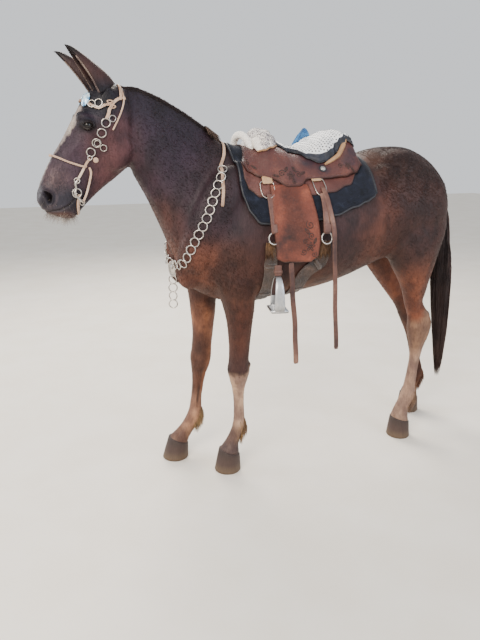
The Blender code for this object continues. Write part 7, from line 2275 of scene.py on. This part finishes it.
def makeCushion():
    # The seat of padded white hide: thin in front, a deep crowned roll behind, with a black band round it.
    xs = np.linspace(0.25, 0.608, 74)
    crownLift = [max(0.004, cushion["crown"](x) - axisHeight - overBack(seatTree, x, 0.0)) for x in xs]

    def lift(x, share):
        full = max(0.0, 1 - abs(share) ** 3.2) ** 0.75
        return 0.0045, 0.0100 + float(np.interp(x, xs, crownLift)) * full

    inner, outer = drapeGrid(seatTree, xs, cushion["low"], lift, 81)

    def channels(grid, rim):
        # The stuffing lies in soft hand-wide billows and pulls in along the seam of the band.
        band = rim / np.array([[cushion["border"](x)] for x in xs])
        seam = -0.0030 * np.exp(-((band - 1.0) / 0.16) ** 2)
        billow = 0.0012 * np.sin(grid[:, :, 0] * 110 + 1.2) * np.sin(grid[:, :, 1] * 70 + 0.4)
        billow *= np.clip(rim / 0.03, 0, 1)
        return outwards(grid) * (billow + seam)[:, :, None]

    piece, top = slabPiece("seatCushion", inner, outer, cushionWhite, rounded=0.018, shape=channels)
    band = edgeDistance(outer) / np.array([[cushion["border"](x)] for x in xs])
    half = band.size
    values = np.zeros(half * 2)
    values[half:] = band.ravel()
    piece.data.attributes["edge"].data.foreach_set("value", values)
    dress(piece, "cushion_white", "seat_cover")
    holes = []
    tree = gridTree(top)
    flat, flatBand = top.reshape(-1, 3), band.ravel()
    row = 0
    for x in np.arange(0.300, 0.604, cushion["spacing"]):
        row += 1
        turn = -70.0 + (1.25 if row % 2 else 0.0)
        while turn < 70:
            angle = math.radians(turn)
            turn += 2.5
            aim = Vector((0, math.sin(angle), math.cos(angle)))
            spot, normal = metFromOutside(tree, x, aim)
            if spot is None or flatBand[np.argmin(((flat - np.array(spot)) ** 2).sum(axis=1))] < 1.58:
                continue
            along = normal.cross(Vector((1, 0, 0))).normalized()
            holes.append((spot + normal * 0.0002, along, normal, 1.0))
    hole = {"Length": cushion["hole"], "Width": cushion["hole"] * 0.85, "Rise": 0.0011}
    dress(onMarks("cushionHoles", holes, threadStitches, hole, blackBinding), "cushion_white")

    def piping(mesh):
        tube(mesh, [Vector(p) for p in (*top[:, 0][::-1], *top[0], *top[:, -1])], 0.0034, 8)
        tube(mesh, [Vector(p) for p in top[-1]], 0.0034, 8)

    makePiece("cushionPiping", piping, blackBinding, "cushion_white")


def onSeat(x, y, z, lift):
    # The point of the seat nearest this place on a line from the trunk's middle, lifted off it.
    aim = (Vector((x, y, z)) - Vector((x, 0, axisHeight))).normalized()
    spot, normal = metFromOutside(seatTree, x, aim)
    return spot + normal * lift


def makeWelt():
    # A tan leather roll round the back of the cushion, fat in the middle of each side.
    def welt(mesh):
        near = [(0.436, -0.178, 1.408), (0.452, -0.175, 1.414), (0.486, -0.169, 1.430),
                (0.518, -0.162, 1.453), (0.545, -0.145, 1.479), (0.566, -0.120, 1.505),
                (0.592, -0.070, 1.518), (0.612, 0.0, 1.497)]
        whole = near + [(x, -y, z) for x, y, z in near[-2::-1]]
        line = smooth3([onSeat(*spot, 0.003) for spot in whole], 6)
        last = len(line) - 1
        radii = [0.0030 + 0.0082 * max(0.15, math.sin(math.pi * 2 * min(i, last - i) / last) ** 0.8)
                 for i in range(last + 1)]
        tube(mesh, line, radii, 12)

    makePiece("cantleWelt", welt, tanWelt, "saddle_leather")


hideWhite, tree, shader = startMaterial("whiteHairHide", {"Roughness": 0.8, "Sheen Weight": 0.3})
# Hair-on hide: chalk white with short flat hair 1 mm wide, shaded between the clumps.
clumps = speckle(tree, objectPlace(tree, (1.0, 1.0, 0.4)), 150.0, 5.0, 0.7)
tree.links.new(ramp(tree, clumps, ((0.28, "bdb6ad"), (0.50, "ece6dd"), (0.72, "ffffff"))),
               shader.inputs["Base Color"])
bump(tree, shader, clumps, 0.0018, 0.9)


def hideHair(name, tree, xs, angles, count, seed, length):
    # Short white hair over a hide, combed down and back.
    draw = np.random.default_rng(seed)
    paths, across = [], []
    for _ in range(count):
        x, angle = draw.uniform(*xs), math.radians(draw.uniform(-angles, angles))
        aim = Vector((0, math.sin(angle), math.cos(angle)))
        spot, normal = metFromOutside(tree, x, aim)
        if spot is None:
            continue
        lie = Vector((draw.normal(0.4, 0.5), math.copysign(0.5, angle), -0.5))
        lie = lie + Vector(draw.normal(0, 0.25, 3))
        lie = (lie - normal * lie.dot(normal)).normalized()
        long = length * draw.uniform(0.6, 1.2)
        paths.append((spot - normal * 0.001, spot + lie * long * 0.5 + normal * long * 0.12,
                      spot + lie * long + normal * long * 0.10))
        across.append(tuple(lie.cross(normal)))
    wide = draw.uniform(0.0010, 0.0020, len(paths))
    tone = np.array(linear("ffffff")) * draw.uniform(1.1, 1.6, len(paths))[:, None]
    growHair(name, paths, across, np.outer(wide, (1.0, 0.9, 0.1)), 0.4, (tone * 0.85, tone), looseHair,
             "hide_white")


def makePommel():
    rise = table(((0.138, 0.020), (0.16, 0.036), (0.175, 0.041), (0.19, 0.044), (0.22, 0.040), (0.235, 0.040),
                  (0.243, 0.036)))
    low = table(((0.138, 1.461), (0.16, 1.466), (0.20, 1.478), (0.243, 1.485)))

    def lift(x, share):
        lump = 1 + 0.25 * math.sin(31 * x + 5 * share) + 0.10 * math.sin(90 * x + 11 * share)
        return 0.0055, 0.0110 + rise(x) * lump * max(0.0, 1 - share ** 4)

    inner, outer = drapeGrid(seatTree, np.linspace(0.138, 0.243, 48), low, lift, 71)
    piece, top = slabPiece("pommelHide", inner, outer, hideWhite, rounded=0.008)
    dress(piece, "hide_white", "pommel_cover")
    hideHair("pommelHair", gridTree(top), (0.153, 0.242), 42, int(7000 * hairShare), 31, 0.012)

    def band(mesh):
        # The pale leather band that runs under the hide along the fork's edge.
        for side, column in ((-1, 0), (1, -1)):
            line = [Vector(p) + Vector((0, side * 0.003, -0.003)) for p in top[:, column]]
            tube(mesh, line, 0.0042, 8)

    makePiece("pommelBand", band, tanWelt, "hide_white")

    def handle(mesh):
        # The hand hold: an arch bound round and round with a strip of hide.
        points, radii = [], []
        for step in range(121):
            angle = math.pi * (step / 120 * 8 - 0.5) / 7
            points.append((0.112 + 0.016 * math.cos(angle) - 0.012 * math.sin(angle),
                           -0.059 * math.cos(angle), 1.470 + 0.066 * math.sin(angle)))
            wrap = abs(math.sin(step * math.pi / 6.2))
            radii.append(0.0128 + 0.003 * math.sin(angle) + 0.0018 * wrap)
        tube(mesh, points, radii, 20)

    makePiece("handHold", handle, hideWhite, "hide_white", "pommel_handle")


def makeBlueCloth():
    # A cotton cloth folded once and tucked in at the far side of the seat, one corner standing up.
    lower = ((0.0, 0.425, 1.466), (0.35, 0.455, 1.480), (0.7, 0.500, 1.500), (1.0, 0.520, 1.520))
    upper = ((0.0, 0.435, 1.500), (0.25, 0.455, 1.545), (0.5, 0.478, 1.578), (0.68, 0.492, 1.573),
             (0.85, 0.514, 1.548), (1.0, 0.520, 1.535))
    rows, columns = 30, 61
    grid = np.zeros((rows, columns, 3))
    uv = np.zeros((rows, columns, 2))
    for c in range(columns):
        s = c / (columns - 1)
        folded = 1 - abs(2 * s - 1)
        ease = math.sin(folded * math.pi / 2)
        edge = [[float(np.interp(ease, [row[0] for row in side], [row[i] for row in side])) for i in (1, 2)]
                for side in (lower, upper)]
        layer = 0.0060 * math.cos(s * math.pi)
        for r in range(rows):
            t = r / (rows - 1)
            x = edge[0][0] + (edge[1][0] - edge[0][0]) * t
            z = edge[0][1] + (edge[1][1] - edge[0][1]) * t * (1 - 0.05 * s)
            crease = 0.0028 * math.sin(85 * x + 6 * t + 3 * s) * t + 0.0016 * math.sin(150 * x - 9 * t)
            grid[r, c] = (x, 0.150 - 0.30 * (z - 1.47) - layer * (0.8 + 0.6 * t) + crease, z)
            uv[r, c] = (s * 1.9, t)
    index = np.arange(rows * columns).reshape(rows, columns)
    mesh = makeMesh("blueCloth", grid, gridFaces(index))
    giveMap(mesh, "weave", uv)
    piece = addPiece("blueCloth", mesh, blueCotton, outward=False)
    solid = piece.modifiers.new("thickness", "SOLIDIFY")
    solid.thickness = 0.0011
    solid.offset = 0.0
    dress(piece, "cloth_blue", "blue_cloth")


def makeFenders():
    left = table(((0.995, 0.190), (1.02, 0.156), (1.19, 0.144), (1.345, 0.156)))
    right = table(((0.995, 0.300), (1.03, 0.340), (1.09, 0.348), (1.345, 0.330)))
    tops = []
    for side, word in nearAndFar:
        inner, outer = hangGrid(skinTree, side, np.linspace(1.325, 1.000, 60), left, right, 0.0300,
                                saddle["thick"], 36)
        piece, top = slabPiece("fender_" + word, inner, outer, fenderLeather, openSides=("first",))
        dress(piece, "fender_leather", "fender_" + word)
        saddleMarks.extend(rimMarks(top, 0.010, 0.0050, 0.0003, ("last", "left", "right")))
        tops.append(top)
    for top, word in zip(tops, ("near", "far")):
        makeToolingShade("fenderToolingShade_" + word, gridTree(top), scrolls["fender"])


def makeConchos():
    # A silver button on a black leather washer, one on each side.
    def buttons(profile):
        def build(mesh):
            for side in (-1, 1):
                spot, normal = touch(seatTree, (0.420, side * 0.7, 1.388), (0.420, 0.0, 1.388))
                across = normal.cross(Vector((1, 0, 0))).normalized()
                along = across.cross(normal)
                addRings(mesh, [[spot + normal * up + (along * math.cos(a) + across * math.sin(a)) * radius
                                 * (1 + 0.03 * math.cos(10 * a)) for a in evenTurns(40)]
                                for radius, up in profile])
        return build

    silver = ((0.0110, 0.0030), (0.0116, 0.0048), (0.0100, 0.0058), (0.0088, 0.0050), (0.0060, 0.0070),
              (0.0030, 0.0082), (0.0006, 0.0085))
    makePiece("saddleConchos", buttons(silver), ringSteel, "ring_steel",
          "concho_near", "concho_far")
    washer = ((0.0168, 0.0004), (0.0172, 0.0024), (0.0160, 0.0034), (0.0020, 0.0036))
    makePiece("conchoWashers", buttons(washer), blackBinding, "saddle_leather")


def plainStrap(mesh, side, points, width, thick, lift, marks):
    # A strap that hangs down the side on the widest of what is above it.
    xs = table(tuple((z, x) for z, x in sorted(points)))
    top, low = max(z for z, _ in points), min(z for z, _ in points)
    half = width / 2
    inner, outer = hangGrid(skinTree, side, np.linspace(top, low, 60), lambda z: xs(z) - half,
                            lambda z: xs(z) + half, lift, thick, 3)
    middle = inner[:, 1]
    for _ in range(5):
        middle[1:-1] = (middle[:-2] + 2 * middle[1:-1] + middle[2:]) / 4
    laid = [(Vector(p), Vector((0, side, 0))) for p in middle]
    strap(mesh, laid, width, thick, 0.0, stitches=marks)
    return laid


def makeRigging():
    marks, ringMarks = [], []

    def straps(mesh):
        for side in (-1, 1):
            for top, x, width, low in ((0.146, 0.148, 0.026, 1.122), (0.384, 0.376, 0.032, 1.118)):
                laid = plainStrap(mesh, side, ((1.285, top), (low, x)), width, 0.0055, 0.0300, marks)
                end = laid[-1][0] + Vector((0, side * 0.003, -0.018))
                ringMarks.append((end, Vector((1, 0, 0)), Vector((0, side, 0.1)).normalized(), 0.0250))
                tab = [(spot + Vector((0, side * 0.006, 0)), normal) for spot, normal in laid[44:58]]
                strap(mesh, tab, width * 1.12, 0.0048, 0.0, stitches=marks)

    def dees(mesh):
        # The D rings under the tan tabs of the skirt.
        for side in (-1, 1):
            for x, wide in ((0.146, 0.029), (0.384, 0.027)):
                loop = []
                for u, z in ((-0.8, 1.322), (0.8, 1.322), (1.0, 1.314), (1.0, 1.290), (0.82, 1.268),
                             (0.4, 1.258), (-0.4, 1.258), (-0.82, 1.268), (-1.0, 1.290), (-1.0, 1.314)):
                    spot, normal = touch(skinTree, (x + u * wide, side * 0.7, z), (x + u * wide, 0.0, z))
                    loop.append(spot + normal * 0.0330)
                tube(mesh, loop, 0.0024, 8, closed=True)

    def tabs(mesh):
        for side in (-1, 1):
            for x, wide in ((0.150, 0.046), (0.378, 0.048)):
                laid = []
                for z in np.linspace(1.340, 1.312, 10):
                    spot, normal = touch(skinTree, (x, side * 0.7, z), (x, 0.0, z))
                    laid.append((spot + normal * 0.0335, normal))
                strap(mesh, laid, wide, 0.0050, 0.0, stitches=bridleMarks)

    makePiece("riggingTabs", tabs, tanWelt, "strap_leather")
    names = ["rigging_%s_%s" % (end, word) for end in ("fore", "hind") for word in ("near", "far")]
    makePiece("riggingStraps", straps, girthStrapLeather, "strap_leather", *names)
    dress(onMarks("riggingRings", ringMarks, wireRings, {"Wire": 0.13, "Around": 48, "Sides": 12}, ringSteel),
          "ring_steel")
    makePiece("riggingDees", dees, ringSteel, "ring_steel")
    saddleMarks.extend(marks)

    def latigos(mesh):
        for side in (-1, 1):
            fore = ((1.0, 0.215), (0.89, 0.222), (0.70, 0.238), (0.55, 0.245))
            plainStrap(mesh, side, fore, 0.024, 0.0038, 0.0410, saddleMarks)
            hind = ((1.312, 0.392), (1.24, 0.398), (1.10, 0.410), (0.83, 0.420), (0.60, 0.432))
            plainStrap(mesh, side, hind, 0.022, 0.0038, 0.0340, saddleMarks)

    names = ["latigo_%s_%s" % (end, word) for end in ("fore", "hind") for word in ("near", "far")]
    makePiece("latigos", latigos, girthStrapLeather, "saddle_leather", *names)


girthCord, tree, shader = startMaterial("mohairGirthCord", {"Roughness": 0.9, "Sheen Weight": 0.4})
# Twisted mohair cord: three plies every 4 mm, dusty in random patches, with painted shade darkening the
# grooves between the plies.
ply = add(tree, "ShaderNodeTexWave", {"Vector": objectPlace(tree), "Scale": 240.0, "Distortion": 1.5},
          bands_direction="DIAGONAL")
dust = speckle(tree, objectPlace(tree), 20.0, 5.0)
tone = ramp(tree, dust, ((0.3, "2a1e1a"), (0.52, "443026"), (0.75, "6b5140")))
tree.links.new(blend(tree, 0.6, tone, ramp(tree, ply.outputs["Fac"], ((0.2, 0.5), (0.8, 1.0))), "MULTIPLY"),
               shader.inputs["Base Color"])
bump(tree, shader, ply.outputs["Fac"], 0.0010, 0.9)
girth = {"cords": 15, "cord": 0.0023}


def makeCinches():
    for name, piece, topX, lowX, width in (("cinch_fore", "cinchFore", 0.146, 0.150, 0.055),
                                           ("cinch_hind", "cinchHind", 0.372, 0.300, 0.065)):
        half = [((topX, -0.6, 1.085), (topX, 0, 1.085)), ((topX, -0.6, 1.000), (topX, 0, 1.000)),
                ((lowX, -0.5, 0.860), (lowX, 0, 1.000)), ((lowX, -0.2, 0.60), (lowX, 0, 1.0)),
                ((lowX, 0.0, 0.50), (lowX, 0, 1.0))]
        laid = lay(skinTree, bothSides(half), 96, smooth=6)

        def cords(mesh):
            for cord in range(girth["cords"]):
                share = (cord + 0.5) / girth["cords"] - 0.5
                line = []
                for index, (spot, normal) in enumerate(laid):
                    along = alongAt(laid, index)
                    across = along.cross(normal).normalized()
                    ends = min(index, 95 - index) / 9
                    gather = 0.42 + 0.58 * min(1.0, ends)
                    rise = 0.0062 + 0.0006 * math.sin(index * 0.8 + cord)
                    line.append(spot + across * share * width * gather + normal * rise)
                tube(mesh, line, girth["cord"], 6)
            for place in (0.12, 0.30, 0.5, 0.70, 0.88):
                at = int(place * 95)
                strap(mesh, laid[at - 1:at + 2], width * 1.04, 0.0085, 0.0030)

        makePiece(piece, cords, girthCord, "girth_cord", name)
    draw = np.random.default_rng(41)
    paths, across = [], []
    for x, width in ((0.146, 0.024), (0.372, 0.032)):
        for side in (-1, 1):
            spot, normal = touch(skinTree, (x, side * 0.6, 1.085), (x, 0.0, 1.085))
            for _ in range(260):
                start = spot + normal * draw.uniform(0.006, 0.011)
                start = start + Vector((draw.uniform(-width, width), 0, draw.uniform(-0.03, 0.0)))
                long = draw.uniform(0.030, 0.065)
                flare = Vector((start.x - x, 0, 0)) * 0.25
                paths.append([start, start + Vector((0, side * 0.002, -long * 0.5)) + flare * 0.5,
                              start + Vector((draw.normal(0, 0.003), side * 0.001, -long)) + flare])
                across.append((1.0, draw.normal(0, 0.4), 0.0))
    tone = np.array(linear("8d6a4a")) * draw.uniform(0.5, 1.3, len(paths))[:, None]
    growHair("cinchFringe", paths, across, np.tile((0.0022, 0.0020, 0.0006), (len(paths), 1)), 0.5,
             (tone, tone * 1.1), looseHair, "girth_cord")


stirrup = {"x": 0.146, "height": 0.140, "halfLow": 0.050, "depth": 0.0225, "base": 0.9512}


def makeStirrups():
    x, height, halfLow, depth, base = stirrup.values()
    for side, word in nearAndFar:
        y = side * 0.322
        turn = side * 0.24

        def turned(px, py, pz):
            return Vector((x + px * math.cos(turn) - py * math.sin(turn),
                           y + px * math.sin(turn) + py * math.cos(turn), pz))

        def bow(mesh):
            rings = []
            for step in range(61):
                angle = math.pi * step / 60
                spread, rise = halfLow * math.cos(angle), base - height * (1 - math.sin(angle) ** 0.55)
                deep = depth * (1.0 - 0.45 * math.sin(angle))
                ahead = (halfLow * math.cos(angle + 0.03),
                         base - height * (1 - abs(math.sin(angle + 0.03)) ** 0.55))
                way = Vector((0, ahead[0] - spread, ahead[1] - rise)).normalized()
                out = Vector((0, way.z, -way.y))
                if out.dot(Vector((0, spread, rise - base + height * 0.6))) < 0:
                    out = -out
                ring = []
                for u, v in ((-1, 0.25), (-0.86, 0.0), (0.86, 0.0), (1, 0.25), (1, 0.75), (0.86, 1.0),
                             (0.4, 1.08), (-0.4, 1.08), (-0.86, 1.0), (-1, 0.75)):
                    p = Vector((0, spread, rise)) - out * 0.006 * (1 - v)
                    ring.append(turned(u * deep, p.y, p.z))
                rings.append(ring)
            addRings(mesh, rings)
            low = base - height
            tread = []
            for u in np.linspace(-1, 1, 9):
                ring = []
                for a in evenTurns(24):
                    flat = math.copysign(abs(math.cos(a)) ** 0.35, math.cos(a))
                    tall = math.copysign(abs(math.sin(a)) ** 0.5, math.sin(a))
                    ring.append(turned(0.0375 * flat, u * halfLow * 0.99, low - 0.001 + 0.0068 * tall))
                tread.append(ring)
            addRings(mesh, tread)
            for u in np.linspace(-0.8, 0.8, 9):
                tube(mesh, [turned(-0.033, u * halfLow, low + 0.0062), turned(0.0, u * halfLow, low + 0.0070),
                            turned(0.033, u * halfLow, low + 0.0062)], 0.0016, 6)

        makePiece("stirrup_" + word, bow, stirrupAlloy, "stirrup_alloy", "stirrup_" + word)

        def innerShade(mesh):
            # A dark strip of painted shade inside the bow, down to the tread.
            rings = []
            for step in range(3, 58):
                angle = math.pi * step / 60
                inset = 0.0068
                spread = (halfLow - inset) * math.cos(angle)
                rise = base - height * (1 - math.sin(angle) ** 0.55) - inset * math.sin(angle)
                deep = depth * (1.0 - 0.45 * math.sin(angle)) * 0.92
                across = 0.0008 * math.cos(angle)
                rings.append([turned(u * deep, spread + v * across, rise + v * 0.0008 * math.sin(angle))
                              for u, v in ((-1, -1), (1, -1), (1, 1), (-1, 1))])
            addRings(mesh, rings)

        makePiece("stirrupInnerShade_" + word, innerShade, seatLeather, "saddle_leather")

        def leather(mesh):
            top = [(Vector((x, y, z)), Vector((0, side, 0))) for z in np.linspace(0.998, 0.9525, 12)]
            strap(mesh, [(spot - normal * 0.004, normal) for spot, normal in top], 0.032, 0.008, 0.0,
                  stitches=saddleMarks)
            wrap = []
            for z in (0.9640, 0.9700, 0.9760):
                wrap.append([Vector((x + u * 0.0185, y + v * 0.0068, z)) for u, v in
                             ((-1, -0.6), (-0.8, -1), (0.8, -1), (1, -0.6), (1, 0.6), (0.8, 1), (-0.8, 1),
                              (-1, 0.6))])
            addRings(mesh, wrap)

        makePiece("stirrupLeather_" + word, leather, girthStrapLeather, "saddle_leather",
              "stirrup_strap_" + word)


makeToolingShade("jockeyToolingShade", seatTree, scrolls["jockey"])
makeCushion()
makeWelt()
makePommel()
makeBlueCloth()
makeFenders()
makeConchos()
makeRigging()
makeCinches()
makeStirrups()
dress(onMarks("saddleStitches", saddleMarks, threadStitches,
              {"Length": 0.0038, "Width": 0.0011, "Rise": 0.0009}, brownThread),
      "saddle_leather")
print("stage: saddle")

# Hooves and eyes

hooves = {"fore_near": (-0.066, 0.060, -0.105, (-0.040, 0.104), (0.056, 0.074)),
          "fore_far": (-0.262, -0.134, 0.099, (-0.227, 0.104), (-0.134, 0.070)),
          "hind_near": (0.889, 1.010, -0.105, (0.910, 0.104), (1.006, 0.074)),
          "hind_far": (1.130, 1.252, 0.140, (1.152, 0.104), (1.250, 0.074))}
hoofHorn, tree, shader = startMaterial("hoofHorn", {"Roughness": 0.6, "Specular IOR Level": 0.35})
# Dry horn: growth rings 5 mm apart, fine upright fibres, dust low on the wall.
growth = add(tree, "ShaderNodeTexWave",
             {"Vector": objectPlace(tree), "Scale": 62.0, "Distortion": 1.2, "Detail": 2.0},
             bands_direction="Z").outputs["Fac"]
fibre = speckle(tree, objectPlace(tree, (1.0, 1.0, 0.06)), 260.0, 4.0, 0.6)
heightUp = add(tree, "ShaderNodeSeparateXYZ", {0: objectPlace(tree)}).outputs["Z"]
dusty = ramp(tree, maths(tree, "MULTIPLY", heightUp, 9.0),
             ((0.05, "63503f"), (0.45, "473630"), (0.85, "3a2d29")))
tone = blend(tree, 0.5, dusty, ramp(tree, fibre, ((0.3, 0.55), (0.7, 1.0))), "MULTIPLY")
tree.links.new(blend(tree, 0.3, tone, ramp(tree, growth, ((0.2, 0.6), (0.8, 1.0))), "MULTIPLY"),
               shader.inputs["Base Color"])
bump(tree, shader, maths(tree, "ADD", growth, maths(tree, "MULTIPLY", fibre, 0.6)), 0.0007, 0.8)


def makeHoof(key):
    toe, heel, y, fore, hind = hooves[key]

    def wall(mesh):
        rings = []
        for t in np.linspace(0, 1, 15):
            ease = t ** 0.92
            front = fore[0] + (toe + 0.004 - fore[0]) * ease
            back = hind[0] + (heel - hind[0]) * t
            topFront, topBack = fore[1] * (1 - t) + 0.0035 * t, hind[1] * (1 - t) + 0.0035 * t
            wide = 0.052 + (0.061 - 0.052) * t + 0.0006 * math.sin(t * 40)
            ring = []
            for a in evenTurns(48):
                along, across = math.cos(a), math.sin(a)
                notch = 0.10 * math.exp(-((a - math.pi) / 0.22) ** 2)
                x = (front + back) / 2 + (front - back) / 2 * along * (1 - notch)
                z = (topFront + topBack) / 2 + (topFront - topBack) / 2 * along
                ring.append(Vector((x, y + across * wide * (1 - 0.10 * (along < 0) * along ** 2), z)))
            rings.append(ring)
        rings.append([Vector((p.x * 0.97 + 0.03 * (toe + heel) / 2, y + (p.y - y) * 0.97, 0.0))
                      for p in rings[-1]])
        addRings(mesh, rings)

    makePiece("hoof_" + key, wall, hoofHorn, "hoof_horn", "hoof_" + key)


for key in hooves:
    makeHoof(key)

eyeWet, tree, shader = startMaterial("wetEye",
                                     {"Roughness": 0.06, "Specular IOR Level": 0.35, "Coat Weight": 0.35,
                                                "Coat Roughness": 0.03})
# A dark brown iris with a level pupil and brown-black corners under a clear wet film.
flat = add(tree, "ShaderNodeAttribute", attribute_name="edge").outputs["Fac"]
rays = speckle(tree, objectPlace(tree), 900.0, 3.0)
iris = ramp(tree, flat, ((0.0, "020202"), (0.34, "030303"), (0.42, "120c09"), (0.62, "1a110c"),
                         (0.80, "0a0706"), (1.0, "120d0c")))
tree.links.new(blend(tree, 0.4, iris, ramp(tree, rays, ((0.3, 0.5), (0.7, 1.0))), "MULTIPLY"),
               shader.inputs["Base Color"])


def makeEyes():
    for side, word in nearAndFar:
        centre = Vector((skin["eye"][0], side * skin["eye"][1], skin["eye"][2]))
        rings, shares = [], []
        for row in range(1, 27):
            a = math.pi * row / 27
            ring = []
            for col in range(48):
                b = 2 * math.pi * col / 48
                way = Vector((math.sin(a) * math.cos(b), side * math.cos(a), math.sin(a) * math.sin(b)))
                bulge = 0.0012 * math.exp(-(a / 0.45) ** 2)
                ring.append(centre + way * (skin["eyeRadius"] + bulge))
                shares.append(min(1.0, math.hypot(way.x / 0.95, way.z * 1.25) if side * way.y > 0 else 1.0))
            rings.append(ring)
        work = bmesh.new()
        addRings(work, rings)
        mesh = bpy.data.meshes.new("eye_" + word)
        work.to_mesh(mesh)
        work.free()
        mesh.attributes.new("edge", "FLOAT", "POINT").data.foreach_set("value", shares)
        mesh.transform(Matrix.Translation(shift))
        dress(addPiece("eye_" + word, mesh, eyeWet), "eye_wet", "eye_" + word)


makeEyes()
print("stage: hooves and eyes")
dress(onMarks("bridleStitches", bridleMarks, threadStitches,
              {"Length": 0.0034, "Width": 0.0010, "Rise": 0.0008}, paleThread), "strap_leather")

print("stage: finished")
